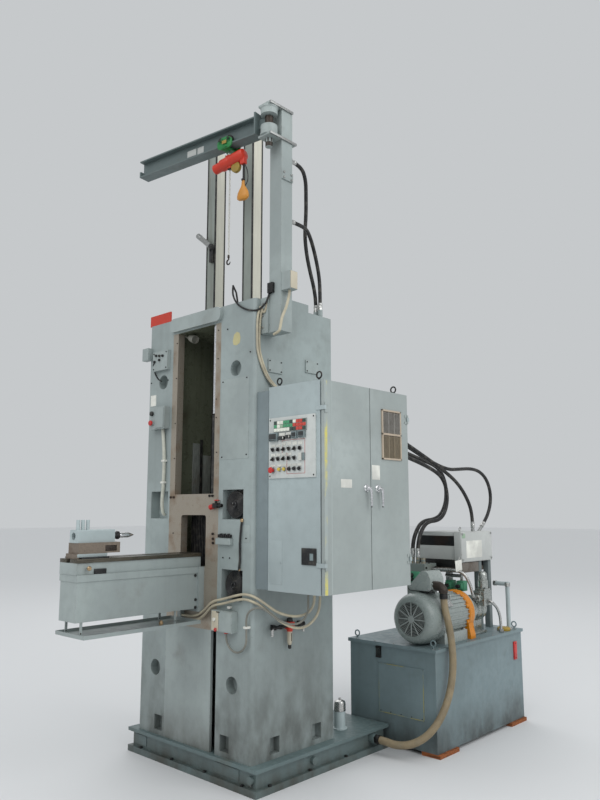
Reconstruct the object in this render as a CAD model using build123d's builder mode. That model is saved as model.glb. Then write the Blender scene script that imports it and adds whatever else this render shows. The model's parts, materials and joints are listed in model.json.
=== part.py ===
from build123d import *
import os
from math import cos, radians, sin, tan

os.makedirs("parts", exist_ok=True)

# Vertical roll forming machine with its work bed, electrical cabinet, jib crane and
# hydraulic power unit. Millimetres. The origin is on the floor, on the column's
# centreline and in the plane of its front face: +X towards the cabinet, +Y towards
# the back, +Z up.

# pedestal
PED_HALF = 655.0          # half width
PED_FRONT = -30.0         # front edge
PED_BACK = 1285.0         # back edge
PED_TOP = 158.0           # height
PED_FOOT_T = 40.0         # lower flange
PED_TOP_T = 22.0          # upper flange
PED_INSET = 28.0          # how far the web stands back from the flanges
PED_PLATE_T = 4.0         # bolted cover plates on the web

# column body
COL_HALF = 580.0
COL_DEPTH = 760.0
COL_TOP = 3060.0
COL_EDGE_R = 24.0         # rounded front corners
GAP_LEFT = -287.0         # the opening between the two uprights
GAP_RIGHT = 245.0
GAP_DEPTH = 430.0
GAP_LINTEL = 110.0        # solid part above the opening
GAP_TOP = COL_TOP - GAP_LINTEL
PORT_R = 53.0             # round lifting holes in the uprights
PORT_DEPTH = 60.0
PORT_X = COL_HALF - 182.0
PORT_LOW_Z = 595.0
PORT_HIGH_Z = 2610.0
NICHE_W = 200.0           # square niches in the front of the uprights
NICHE_H = 192.0
NICHE_DEPTH = 75.0
NICHE_X = COL_HALF - 193.0
NICHE_HIGH_Z = 1713.0
NICHE_LOW_Z = 1203.0
NICHE_LEFT_X = -COL_HALF + 175.0
DISC_R = 90.0             # black discs in the niches
DISC_T = 46.0
DISC_HUB_R = 34.0
SLOT_W = 86.0             # pockets at the foot of the column
SLOT_H = 98.0
SLOT_DEPTH = 50.0
SLOT_Z = 238.0
SLOT_FRONT_X = (-COL_HALF + 230.0, COL_HALF - 245.0)
SLOT_SIDE_Y = (200.0, 592.0)
TOP_BLOCK_H = 55.0        # raised block on the right of the column's top
TOP_BLOCK_Y = (344.0, 518.0)
TOP_BLOCK_W = 150.0
HOSE_X = (COL_HALF - 80.0, COL_HALF - 32.0, COL_HALF - 180.0, COL_HALF - 130.0)
BACK_PORTS = tuple(zip(HOSE_X, (2330.0, 2240.0, 2420.0, 2420.0)))  # hose ports on the back
BOSS_PORT_R = 22.0
BOSS_PORT_H = 46.0
TOP_PORTS = ((COL_HALF - 102.0, COL_DEPTH - 48.0, 60.0), (COL_HALF - 60.0, COL_DEPTH - 48.0, 70.0))  # hose ports on top
TOP_PORT_R = 18.0

# machined front frame between the uprights
FACE_T = 55.0
FACE_LOW = 905.0
FACE_BRIDGE = 1785.0      # top of its full-width part
FACE_LINTEL = 142.0       # from there down to the window
WAY_LEFT_W = 58.0         # widths of the strips above the bridge
WAY_RIGHT_W = 53.0
WINDOW_LEFT = -148.0
WINDOW_RIGHT = 119.0
WINDOW_TOP = FACE_BRIDGE - FACE_LINTEL
WINDOW_LOW = 1300.0
WINDOW_R = 18.0
FRONT_PANEL_RIGHT = 192.0
FRONT_PANEL_T = 20.0

# tie plate and name board at the top
TIE_LEFT = -300.0
TIE_RIGHT = 262.0
TIE_T = 28.0
TIE_H = 100.0
TIE_R = 40.0
BOARD_OVER = 10.0         # how far it stands out past the column's side
BOARD_LEFT = -COL_HALF - BOARD_OVER
BOARD_W = 250.0
BOARD_H = 80.0
BOARD_T = 10.0
BOARD_Y = 6.0
SIDE_PLATES = ((118.0, 2579.0), (482.0, 2625.0))  # near lower corners on the right-hand side
SIDE_PLATE_W = 131.0
SIDE_PLATE_H = 88.0
SIDE_PLATE_T = 8.0

# guide posts on top of the column
POST_W = 95.0
POST_X = 207.5            # distance of each post's middle from the centreline
POST_Y = 317.5
POST_H = 1390.0
POST_TOP = COL_TOP + POST_H
POST_BASE_W = 128.0
POST_BASE_T = 40.0
POST_REBATE = 7.0
LAMP_LOW = 3545.0         # work lamp on the left-hand post
LAMP_HOLDER_W = 28.0
LAMP_HOLDER_T = 30.0
LAMP_HOLDER_H = 118.0
LAMP_R = 22.0

# work bed
BED_HALF = 92.0
BED_LOW = 1038.0
BED_SHELF = 1265.0
BED_FRONT = -924.0
LEDGE_HALF = 98.0
LEDGE_T = 40.0
FLANGE_HALF = 112.0
FLANGE_T = 42.0
FLANGE_DROP = 20.0
ENTRY_W = 32.0            # cable entry under the flange
ENTRY_H = 76.0
ENTRY_BACK = 8.0
WAY_HALF = 88.0
WAY_H = 67.0
RAIL_HALF = 95.0
RAIL_T = 23.0
RAIL_SLOT_HALF = 20.0
RAIL_SLOT_D = 30.0
WAY_FRONT = -932.0
WAY_BACK = -12.0

# tailstock
TAIL_BACK = -935.0        # its outer end
TAIL_SEAT = 0.3           # running gap over the rails
SLED_HALF = 64.0
SLED_T = 28.0
SLED_Y = (-913.0, -713.0)
SADDLE_HALF = 59.0
SADDLE_T = 62.0
SADDLE_Y = (-900.0, -622.0)
SADDLE_SLOT_Y = (-724.0, -645.0)  # clamp slot in its side
HEAD_HALF = 42.0
HEAD_H = 76.0
HEAD_Y = (-905.0, -650.0)
QUILL_R = 22.0
QUILL_FIT = 0.1
QUILL_BACK = -860.0
QUILL_NOSE = -613.0
COLLAR_R = 25.0
COLLAR_END = -586.0
CENTRE_R = 12.5
CENTRE_END = -520.0
CENTRE_TIP = -487.0
STUD_R = 11.0
STUD_H = 58.0
STUD_Y = (-890.0, -859.0, -826.0)

# drip tray
TRAY_HALF = 158.0
TRAY_Y = (-905.0, -60.0)
TRAY_LOW = 950.0
TRAY_H = 22.0
TRAY_WALL = 3.0
HANGER_W = 14.0
HANGER_T = 8.0
HANGER_X = 82.0
HANGER_Y = (-880.0, -210.0)

# electrical cabinet
SPACER_W = 103.0          # spacer between column and cabinet
SPACER_X = COL_HALF + SPACER_W
SPACER_Y = (26.0, 700.0)
SPACER_UP = 4.0           # how far its ends stand inside the cabinet's
SPACER_DOWN = 20.0
CAB_FRONT = 30.0
CAB_BACK = 890.0
CAB_LOW = 1190.0
CAB_H = 1260.0
CAB_TOP = CAB_LOW + CAB_H
CAB_W = 463.0             # spacer to the doors' outer face
CAB_RIGHT = SPACER_X + CAB_W
CAB_WALL = 15.0
CABLE_GLANDS = ((880.0, 240.0), (889.0, 282.0), (868.0, 196.0))
CABLE_GLAND_R = 13.0
CABLE_GLAND_H = 24.0
DOOR_T = 22.0
DOOR_GAP = 8.0            # between the doors and the body
DOOR_EDGE = 2.0           # doors stand back from the cabinet's edges
DOOR_SPLIT = 475.0
DOOR_SPLIT_GAP = 6.0
HINGE_R = 6.0
HINGE_IN = 6.0            # pin centre from the door's edge
HINGE_BODY_H = 26.0
HINGE_DOOR_H = 16.0
HINGE_SLIT = 0.3
HINGE_INSET = 170.0
HINGE_Z = (CAB_LOW + HINGE_INSET, CAB_TOP - HINGE_INSET)
LEAF_T = 5.0
LEAF_CLEAR = 3.0
LEAF_LEN = 28.0
PLATE_T = 6.0
PLATE_INSET = 60.0
RELAY_ROWS = ((1040.0, 90.0), (770.0, 120.0), (470.0, 100.0), (210.0, 60.0))  # height, depth
RELAY_COUNT = 6
RELAY_START = 130.0
RELAY_PITCH = 110.0
RELAY_W = 96.0
RELAY_H = 120.0
PANEL_INSET = 11.0
PANEL_W = 392.0
PANEL_UP = 662.0
PANEL_H = 446.0
PANEL_X = (SPACER_X + PANEL_INSET, SPACER_X + PANEL_INSET + PANEL_W)
PANEL_Z = (CAB_LOW + PANEL_UP, CAB_LOW + PANEL_UP + PANEL_H)
PANEL_T = 9.0
LAMP_SPANS = ((36.0, 190.0), (196.0, 284.0))  # signal lamps, from the panel's left edge
LAMP_UP = 314.0
LAMP_H = 90.0
LAMP_T = 14.0
DISPLAYS = ((12.0, 86.0, 248.0, 300.0), (98.0, 144.0, 254.0, 292.0), (156.0, 196.0, 258.0, 294.0),
            (208.0, 252.0, 256.0, 298.0), (264.0, 316.0, 258.0, 300.0))
DISPLAY_T = 8.0
KNOB_ROWS = ((41.0, 196.0, 46.0), (41.0, 138.0, 46.0), (98.0, 73.0, 42.0))
KNOB_COUNTS = (6, 5, 5)
KNOB_R = 12.0
KNOB_T = 24.0
STOP_IN = 41.0            # emergency stop
STOP_UP = 69.0
STOP_STEM_R = 11.0
STOP_STEM = 18.0
STOP_R = 19.0
STOP_HEAD = 14.0
SOCKET_INSET = 287.0
SOCKET_W = 116.0
SOCKET_UP = 168.0
SOCKET_H = 98.0
SOCKET_X = (SPACER_X + SOCKET_INSET, SPACER_X + SOCKET_INSET + SOCKET_W)
SOCKET_Z = (CAB_LOW + SOCKET_UP, CAB_LOW + SOCKET_UP + SOCKET_H)
SOCKET_T = 9.0
GRILLE_Y = (594.0, 805.0)
GRILLE_UP = 809.0
GRILLE_H = 326.0
GRILLE_Z = (CAB_LOW + GRILLE_UP, CAB_LOW + GRILLE_UP + GRILLE_H)
GRILLE_T = 10.0
GRILLE_FRAME = 20.0
HANDLE_Y = (430.0, 546.0) # middle of each door's handle
HANDLE_UP = 622.0
HANDLE_R = 24.0           # round rose
HANDLE_T = 12.0
LEVER_W = 18.0
LEVER_T = 10.0
LEVER_LEN = 118.0
LEVER_SHIFT = 18.0
LEVER_STEM = 16.0
EYE_R = 20.0
EYE_WIRE = 5.0
EYE_STEM = 22.0
EYE_INSET = 48.0

# boxes and fittings on the column
SWITCH_D = 46.0
BUTTON_R = 13.0
BUTTON_T = 14.0
UPPER_BOX_X = (-497.0, -319.0)
UPPER_BOX_Z = (2697.0, 2842.0)
UPPER_BOX_D = 30.0
LEFT_BOX_X = (-487.0, -312.0)
LEFT_BOX_Z = (2259.0, 2420.0)
RIGHT_BOX_X = (252.0, 448.0)
RIGHT_BOX_Z = (918.0, 1044.0)
STRIP_BOX_X = (250.0, 394.0)
STRIP_BOX_Z = (1456.0, 1496.0)
STRIP_BOX_D = 26.0
REG_PIPE_Y = (134.0, 436.0)
REG_PIPE_Z = 945.0
REG_PIPE_R = 12.0
REG_OUT = 32.0            # pipe from the column's side
REG_BODY_Y = 300.0
REG_BODY = 50.0
BOWL_R = 17.0
BOWL_H = 92.0
DRAIN_R = 11.0
DRAIN_H = 26.0
ELBOW_DROP = 54.0

# jib crane
JIB_POST_GAP = 71.0       # between the column's side and the post
JIB_POST_W = 107.0
JIB_POST_X = (COL_HALF + JIB_POST_GAP, COL_HALF + JIB_POST_GAP + JIB_POST_W)
JIB_POST_Y = (59.0, 162.0)
PIVOT_X = (JIB_POST_X[0] + JIB_POST_X[1]) / 2
PIVOT_Y = -6.0            # the arm turns in front of the post
BRACKET_H = 240.0
JIB_LOW = COL_TOP - BRACKET_H
JIB_TOP = 4348.0
BRACKET_Y = (46.0, 156.0)
POST_BOX_D = 80.0         # cable box on the post
POST_BOX_Y = (62.0, 128.0)
POST_BOX_Z = (COL_TOP + 25.0, COL_TOP + 145.0)
SPLICE_T = 9.0
SPLICE_Z = (JIB_TOP - 496.0, JIB_TOP - 434.0)
POST_GLANDS = ((JIB_POST_X[0] + 49.0, JIB_TOP - 298.0), (JIB_POST_X[0] + 39.0, COL_TOP + 560.0))
POST_GLAND_R = 20.0
POST_GLAND_H = 40.0
BEARING_T = 14.0
BEARING_FRONT = -55.0     # front edge of both bearing plates
BEARING_LIP = 34.0        # the lower plate behind the post
BEARING_R = 57.0
BEARING_SPAN = 218.0      # between the two bearing plates
LOWER_BEARING = JIB_TOP - BEARING_SPAN
LOWER_HOUSING_H = 70.0
UPPER_HOUSING_H = 56.0
BOSS_R = 24.0             # nuts above and below the plates
BOSS_H = 24.0
LOWER_NUT_H = 62.0
PIN_R = 20.0
PIN_FIT = 0.1
HUB_R = 27.0
HUB_SEAT = 0.3
HUB_CLEAR = 6.0
ARM_ANGLE = 7.5           # rest position, turned from -X towards the front
ARM_DROP = 178.0          # from the upper bearing plate to the arm's underside
ARM_LOW = JIB_TOP - ARM_DROP
ARM_H = 130.0
ARM_FLANGE_W = 88.0
ARM_FLANGE_T = 10.0
ARM_WEB_T = 8.0
HUB_WEB_T = 14.0
ARM_ROOT = 80.0           # inner face of the plate at the arm's root
ARM_START = 92.0
ARM_ROOT_HALF = 50.0
ARM_ROOT_UP = 26.0        # above the arm
ARM_END = 1210.0
STOP_T = 14.0
STOP_H = 34.0

# trolley and chain hoist
TROLLEY_AT = 352.0        # distance of its middle from the pivot
TROLLEY_LEN = 132.0
CHEEK_T = 8.0
CHEEK_CLEAR = 6.0
CHEEK_UP = 60.0           # above and below the arm's underside
CHEEK_DOWN = 27.0
CHEEK_TOP = ARM_LOW + CHEEK_UP
CHEEK_LOW = ARM_LOW - CHEEK_DOWN
WHEEL_R = 28.0
WHEEL_T = 26.0
WHEEL_PITCH = 74.0
WHEEL_SEAT = 0.3
YOKE_T = 16.0
YOKE_LEN = 60.0
HOIST_DROP = 40.0
HOIST_R = 42.0
HOIST_NECK_R = 34.0
HOIST_ENDS = (-133.0, -62.0, 147.0)  # thin end, step and thick end, measured towards the post
HOIST_TILT = 9.0          # the thick end hangs higher
GUIDE_BOSS = 8.0          # flat boss under the hoist body where chain and block hang
CHAIN_W = 16.0
CHAIN_OVER = 318.0        # hook above the column's top
CHAIN_AT = -10.0
HOOK_W = 46.0
BLOCK_AT = -131.0
BLOCK_W = 100.0
BLOCK_T = 44.0
BLOCK_H = 145.0
BLOCK_DROP = 113.0

# hydraulic power unit
TANK_X = (300.0, 1054.0)
TANK_Y = (1297.0, 2583.0)
TANK_LOW = 26.0
TANK_TOP = 690.0
LID_T = 24.0
LID_OVER = 13.0
BEARER_LEN = 250.0
BEARER_OVER = 20.0
BEARER_W = 130.0
TANK_EYE_INSET = 38.0
TANK_EYE_STEM = 16.0
HATCH_X = (566.0, 957.0)
HATCH_Z = (226.0, 570.0)
HATCH_T = 6.0
GAUGE_X = (548.0, 592.0)
GAUGE_Z = (604.0, 684.0)
GAUGE_T = 16.0
LEVEL_Y = (2440.0, 2485.0)
LEVEL_Z = (488.0, 626.0)
LEVEL_T = 14.0
MOTOR_X = 856.0
MOTOR_Z = 900.0
MOTOR_R = 158.0
FIN_H = 10.0
FIN_T = 6.0
FIN_COUNT = 30
COWL_R = 184.0
COWL_Y = (1300.0, 1512.0)
COWL_PROFILE = ((0.0, 0.0), (0.0, 0.7), (9.0, 0.815), (34.0, 0.924), (72.0, 0.984), (105.0, 1.0))
GRILLE_R = 118.0
GRILLE_D = 14.0
SPOKE_COUNT = 12
SPOKE_T = 7.0
MOTOR_BACK = 1850.0
FOOT_HALF = 138.0
FOOT_H = 46.0
BELL_R = 165.0
BELL_NECK_R = 118.0
BELL_BACK = 1975.0
BELL_RING = 70.0
BELL_FOOT_X = (700.0, 1020.0)
BELL_FOOT_TOP = 840.0
PUMP_R = 104.0
PUMP_BACK = 2240.0
PUMP_NOSE_R = 62.0
PUMP_NOSE = 50.0
PUMP_VALVE_X = (900.0, 996.0)
PUMP_VALVE_Y = (2110.0, 2230.0)
PUMP_VALVE_UP = 160.0
PUMP_CAP_R = 40.0
PUMP_CAP_H = 130.0
TBOX_X = (772.0, 964.0)
TBOX_Y = (1400.0, 1580.0)
TBOX_TOP = 1236.0
TBOX_LOW = 1090.0
TBOX_CHAMFER = 40.0
TBOX_NECK = 60.0
GLAND_R = 34.0
GLAND_LEN = 46.0
ELBOW_REACH = 82.0
ELBOW_Y = 1440.0
ELBOW_Z = 1132.0
JBOX_X = (800.0, 862.0)
JBOX_Y = (2010.0, 2510.0)
JBOX_Z = (1262.0, 1503.0)
JBOX_GLAND_R = 15.0
COOLER_X = (444.0, 800.0)
COOLER_Y = (2030.0, 2490.0)
COOLER_Z = (1180.0, 1500.0)
COOLER_RAIL_X = 856.0      # rail along its foot, under the junction box
COOLER_RAIL_Y = (2040.0, 2290.0)
COOLER_RAIL_TOP = 1258.0
LEG_W = 46.0
JBOX_LEG_CLEAR = 20.0
MANIFOLD_X = (470.0, 640.0)
MANIFOLD_Y = (1820.0, 1990.0)
MANIFOLD_TOP = 1250.0
FITTING_COUNT = 3
FITTING_IN = 28.0
FITTING_PITCH = 50.0
FITTING_BACK = 46.0
FITTING_R = 17.0
FITTING_H = 48.0
PIPE_R = 17.0
PIPE_X = 1000.0
PIPE_Y = 2490.0
PIPE_TOP = 1090.0
FILTER_R = 62.0
FILTER_H = 210.0
FILTER_X = PED_HALF - 185.0
FILTER_Y = 960.0

# flexible conduit from the motor to the pedestal
CONDUIT_D = 50.0


def block(x, y, z, mode=Mode.ADD):
    """A block between two faces on each axis, each given as a (low, high) pair."""
    with Locations(((x[0] + x[1]) / 2, (y[0] + y[1]) / 2, (z[0] + z[1]) / 2)):
        Box(x[1] - x[0], y[1] - y[0], z[1] - z[0], mode=mode)


def rod(radius, start, end, mode=Mode.ADD):
    """A round bar along one axis, from one end's centre to the other's."""
    start, end = Vector(*start), Vector(*end)
    along = end - start
    with Locations(Plane(origin=start, z_dir=along.normalized()).location):
        Cylinder(radius, along.length, align=(Align.CENTER, Align.CENTER, Align.MIN), mode=mode)


def save(part, name):
    """Labels a finished piece and writes it to its own file."""
    part.label = name
    export_step(part, f"parts/{name}.step")


def tube(name, points, diameter):
    """A hose or cable: straight runs joined by the largest tangent arcs they allow."""
    stations = [Vector(*p) for p in points]
    radii = []
    for a, b, c in zip(stations, stations[1:], stations[2:]):
        turn = (b - a).get_angle(c - b)
        shorter = min((b - a).length, (c - b).length)
        radii.append(0.45 * shorter / tan(radians(turn) / 2))
    with BuildPart() as hose:
        with BuildLine() as route:
            FilletPolyline(*stations, radius=radii)
        line = route.wires()[0]
        with BuildSketch(Plane(origin=line @ 0, z_dir=line % 0)):
            Circle(diameter / 2)
        sweep(path=line)
    section = 3.141592653589793 * (diameter / 2) ** 2
    print(f"{name}: length {line.length:.0f}, least radius {min(radii):.0f}, "
          f"volume ratio {hose.part.volume / (section * line.length):.4f}")
    save(hose.part, name)


# ---- pedestal: lower flange, web, upper flange, cover plates and glands
GLAND_Y = 1110.0
GLAND_Z = 96.0
with BuildPart() as pedestal:
    ped_x = (-PED_HALF, PED_HALF)
    ped_y = (PED_FRONT, PED_BACK)
    web_x = (-PED_HALF + PED_INSET, PED_HALF - PED_INSET)
    web_y = (PED_FRONT + PED_INSET, PED_BACK - PED_INSET)
    block(ped_x, ped_y, (0, PED_FOOT_T))
    block(web_x, web_y, (PED_FOOT_T, PED_TOP - PED_TOP_T))
    block(ped_x, ped_y, (PED_TOP - PED_TOP_T, PED_TOP))
    for left, right in ((-PED_HALF + 65, -PED_HALF + 185), (PED_HALF - 405, PED_HALF - 175)):
        block((left, right), (web_y[0] - PED_PLATE_T, web_y[0]), (PED_FOOT_T + 16, PED_TOP - PED_TOP_T - 16))
    rod(24, (web_x[1], 500, 90), (web_x[1] + 22, 500, 90))
    rod(24, (PED_HALF - 65, web_y[0], 88), (PED_HALF - 65, web_y[0] - 22, 88))
    rod(GLAND_R, (web_x[1], GLAND_Y, GLAND_Z), (web_x[1] + GLAND_LEN, GLAND_Y, GLAND_Z))
save(pedestal.part, "pedestal")

# ---- column body: one casting with the opening for the forming slides cut in its front
with BuildPart() as column_body:
    block((-COL_HALF, COL_HALF), (0, COL_DEPTH), (PED_TOP, COL_TOP))
    uprights = column_body.edges().filter_by(Axis.Z).group_by(Axis.Y)[0]
    fillet(uprights, COL_EDGE_R)
    block((GAP_LEFT, GAP_RIGHT), (0, GAP_DEPTH), (PED_TOP, GAP_TOP), Mode.SUBTRACT)
    for x in (-PORT_X, PORT_X):
        for z in (PORT_LOW_Z, PORT_HIGH_Z):
            rod(PORT_R, (x, 0, z), (x, PORT_DEPTH, z), Mode.SUBTRACT)
    for x, z in ((NICHE_X, NICHE_HIGH_Z), (NICHE_X, NICHE_LOW_Z), (NICHE_LEFT_X, NICHE_HIGH_Z)):
        block((x - NICHE_W / 2, x + NICHE_W / 2), (0, NICHE_DEPTH), (z - NICHE_H / 2, z + NICHE_H / 2),
              Mode.SUBTRACT)
    for x in SLOT_FRONT_X:
        block((x - SLOT_W / 2, x + SLOT_W / 2), (0, SLOT_DEPTH), (SLOT_Z - SLOT_H / 2, SLOT_Z + SLOT_H / 2),
              Mode.SUBTRACT)
    for y in SLOT_SIDE_Y:
        for x in ((COL_HALF - SLOT_DEPTH, COL_HALF), (-COL_HALF, -COL_HALF + SLOT_DEPTH)):
            block(x, (y - SLOT_W / 2, y + SLOT_W / 2), (SLOT_Z - SLOT_H / 2, SLOT_Z + SLOT_H / 2),
                  Mode.SUBTRACT)
    block((COL_HALF - TOP_BLOCK_W, COL_HALF), TOP_BLOCK_Y, (COL_TOP, COL_TOP + TOP_BLOCK_H))
    for x, z in BACK_PORTS:
        rod(BOSS_PORT_R, (x, COL_DEPTH, z), (x, COL_DEPTH + BOSS_PORT_H, z))
    for x, y, high in TOP_PORTS:
        rod(TOP_PORT_R, (x, y, COL_TOP), (x, y, COL_TOP + high))
save(column_body.part, "column_body")

# ---- machined frame between the uprights: full width at the bed, two strips above it
with BuildPart() as machined_face:
    block((GAP_LEFT, GAP_RIGHT), (0, FACE_T), (FACE_LOW, FACE_BRIDGE))
    block((GAP_LEFT, GAP_LEFT + WAY_LEFT_W), (0, FACE_T), (FACE_BRIDGE, GAP_TOP))
    block((GAP_RIGHT - WAY_RIGHT_W, GAP_RIGHT), (0, FACE_T), (FACE_BRIDGE, GAP_TOP))
    with BuildSketch(Plane.XZ):
        with Locations(((WINDOW_LEFT + WINDOW_RIGHT) / 2, (WINDOW_LOW + WINDOW_TOP) / 2)):
            RectangleRounded(WINDOW_RIGHT - WINDOW_LEFT, WINDOW_TOP - WINDOW_LOW, WINDOW_R)
    extrude(amount=-FACE_T, mode=Mode.SUBTRACT)
save(machined_face.part, "machined_face")

# ---- bolted cover plates: below the bed, across the column's top and on its side
with BuildPart() as cover_plates:
    block((GAP_LEFT, FRONT_PANEL_RIGHT), (0, FRONT_PANEL_T), (PED_TOP, FACE_LOW))
    with BuildSketch(Plane.XZ):
        with Locations(((TIE_LEFT + TIE_RIGHT) / 2, COL_TOP - TIE_H / 2)):
            RectangleRounded(TIE_RIGHT - TIE_LEFT, TIE_H, TIE_R)
    extrude(amount=TIE_T)
    for y, z in SIDE_PLATES:
        block((COL_HALF, COL_HALF + SIDE_PLATE_T), (y, y + SIDE_PLATE_W), (z, z + SIDE_PLATE_H))
save(cover_plates.part, "cover_plates")

with BuildPart() as name_board:
    block((BOARD_LEFT, BOARD_LEFT + BOARD_W), (BOARD_Y, BOARD_Y + BOARD_T), (COL_TOP, COL_TOP + BOARD_H))
save(name_board.part, "name_board")

# ---- guide posts: square posts with rebated corners on base plates
with BuildPart() as guide_posts:
    for x in (-POST_X, POST_X):
        block((x - POST_BASE_W / 2, x + POST_BASE_W / 2), (POST_Y - POST_BASE_W / 2, POST_Y + POST_BASE_W / 2),
              (COL_TOP, COL_TOP + POST_BASE_T))
        block((x - POST_W / 2, x + POST_W / 2), (POST_Y - POST_W / 2, POST_Y + POST_W / 2),
              (COL_TOP + POST_BASE_T, POST_TOP))
        for sx in (-1, 1):
            for sy in (-1, 1):
                cx, cy = x + sx * POST_W / 2, POST_Y + sy * POST_W / 2
                block((cx - POST_REBATE, cx + POST_REBATE), (cy - POST_REBATE, cy + POST_REBATE),
                      (COL_TOP + POST_BASE_T, POST_TOP), Mode.SUBTRACT)
save(guide_posts.part, "guide_posts")

# ---- work lamp on the left-hand post: holder and slanting tube
with BuildPart() as work_lamp:
    post_front = POST_Y - POST_W / 2
    holder_x = -POST_X + POST_W / 2 - POST_REBATE - LAMP_HOLDER_W / 2
    block((holder_x - LAMP_HOLDER_W / 2, holder_x + LAMP_HOLDER_W / 2), (post_front - LAMP_HOLDER_T, post_front),
          (LAMP_LOW, LAMP_LOW + LAMP_HOLDER_H))
    lamp_y = post_front - LAMP_HOLDER_T
    rod(LAMP_R, (holder_x + 14, lamp_y, LAMP_LOW + LAMP_HOLDER_H), (holder_x - 150, lamp_y, LAMP_LOW + LAMP_HOLDER_H + 132))
save(work_lamp.part, "work_lamp")

# ---- discs in the right-hand niches
with BuildPart() as niche_discs:
    for z in (NICHE_HIGH_Z, NICHE_LOW_Z):
        rod(DISC_R, (NICHE_X, NICHE_DEPTH, z), (NICHE_X, NICHE_DEPTH - DISC_T, z))
        chamfer(niche_discs.faces(Select.LAST).sort_by(Axis.Y)[0].edges(), 12)
        rod(DISC_HUB_R, (NICHE_X, NICHE_DEPTH - DISC_T, z), (NICHE_X, NICHE_DEPTH - DISC_T - 16, z))
save(niche_discs.part, "niche_discs")

# ---- work bed: boxed arm with a bolting flange, machined ways on top
with BuildPart() as work_bed:
    block((-BED_HALF, BED_HALF), (BED_FRONT, 0), (BED_LOW, BED_SHELF))
    block((-LEDGE_HALF, LEDGE_HALF), (BED_FRONT - 4, 0), (BED_SHELF, BED_SHELF + LEDGE_T))
    block((-FLANGE_HALF, FLANGE_HALF), (-FLANGE_T, 0), (BED_LOW - FLANGE_DROP, BED_SHELF + LEDGE_T))
    block((-FLANGE_HALF, -FLANGE_HALF + ENTRY_W), (-FLANGE_T, -ENTRY_BACK),
          (BED_LOW - FLANGE_DROP - ENTRY_H, BED_LOW - FLANGE_DROP))
save(work_bed.part, "work_bed")

BED_LEDGE_TOP = BED_SHELF + LEDGE_T
RAIL_LOW = BED_LEDGE_TOP + WAY_H
RAIL_TOP = RAIL_LOW + RAIL_T
with BuildPart() as bed_ways:
    block((-WAY_HALF, WAY_HALF), (WAY_FRONT, WAY_BACK), (BED_LEDGE_TOP, RAIL_LOW))
    block((-RAIL_HALF, RAIL_HALF), (WAY_FRONT, WAY_BACK), (RAIL_LOW, RAIL_TOP))
    block((-RAIL_SLOT_HALF, RAIL_SLOT_HALF), (WAY_FRONT, WAY_BACK), (RAIL_TOP - RAIL_SLOT_D, RAIL_TOP),
          Mode.SUBTRACT)
save(bed_ways.part, "bed_ways")

# ---- drip tray on four hangers
with BuildPart() as drip_tray:
    block((-TRAY_HALF, TRAY_HALF), TRAY_Y, (TRAY_LOW, TRAY_LOW + TRAY_H))
    block((-TRAY_HALF + TRAY_WALL, TRAY_HALF - TRAY_WALL), (TRAY_Y[0] + TRAY_WALL, TRAY_Y[1] - TRAY_WALL),
          (TRAY_LOW + TRAY_WALL, TRAY_LOW + TRAY_H), Mode.SUBTRACT)
    for x in (-HANGER_X, HANGER_X):
        for y in HANGER_Y:
            block((x - HANGER_T / 2, x + HANGER_T / 2), (y - HANGER_W / 2, y + HANGER_W / 2),
                  (TRAY_LOW + TRAY_WALL, BED_LOW))
save(drip_tray.part, "drip_tray")

# ---- tailstock: sled and saddle, head with bore and clamp studs, quill with its centre
SLED_LOW = RAIL_TOP + TAIL_SEAT
SADDLE_LOW = SLED_LOW + SLED_T
HEAD_LOW = SADDLE_LOW + SADDLE_T
QUILL_Z = HEAD_LOW + HEAD_H / 2
with BuildPart() as tailstock_saddle:
    block((-SLED_HALF, SLED_HALF), SLED_Y, (SLED_LOW, SADDLE_LOW))
    block((-SADDLE_HALF, SADDLE_HALF), SADDLE_Y, (SADDLE_LOW, HEAD_LOW))
    block((SADDLE_HALF - 22, SADDLE_HALF), SADDLE_SLOT_Y, (SADDLE_LOW + 10, HEAD_LOW - 18),
          Mode.SUBTRACT)
save(tailstock_saddle.part, "tailstock_saddle")

with BuildPart() as tailstock_head:
    block((-HEAD_HALF, HEAD_HALF), HEAD_Y, (HEAD_LOW, HEAD_LOW + HEAD_H))
    fillet(tailstock_head.edges().filter_by(Axis.Y).group_by(Axis.Z)[-1], 8)
    rod(QUILL_R + QUILL_FIT, (0, HEAD_Y[0], QUILL_Z), (0, HEAD_Y[1], QUILL_Z), Mode.SUBTRACT)
    for y in STUD_Y:
        rod(STUD_R, (HEAD_HALF - 22, y, HEAD_LOW + HEAD_H), (HEAD_HALF - 22, y, HEAD_LOW + HEAD_H + STUD_H))
save(tailstock_head.part, "tailstock_head")

with BuildPart() as tailstock_quill:
    with BuildSketch(Plane.YZ):
        with BuildLine():
            Polyline((QUILL_BACK, QUILL_Z), (QUILL_BACK, QUILL_Z + QUILL_R), (QUILL_NOSE, QUILL_Z + QUILL_R),
                     (QUILL_NOSE, QUILL_Z + COLLAR_R), (COLLAR_END, QUILL_Z + COLLAR_R),
                     (COLLAR_END, QUILL_Z + CENTRE_R), (CENTRE_END, QUILL_Z + CENTRE_R),
                     (CENTRE_TIP, QUILL_Z + 1.5), (CENTRE_TIP, QUILL_Z), close=True)
        make_face()
    revolve(axis=Axis((0, 0, QUILL_Z), (0, 1, 0)))
save(tailstock_quill.part, "tailstock_quill")

# ---- electrical cabinet: spacer, shell open to the doors, mounting plate, two doors
with BuildPart() as cabinet_spacer:
    block((COL_HALF, SPACER_X), SPACER_Y, (CAB_LOW + SPACER_UP, CAB_TOP - SPACER_DOWN))
save(cabinet_spacer.part, "cabinet_spacer")

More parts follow.
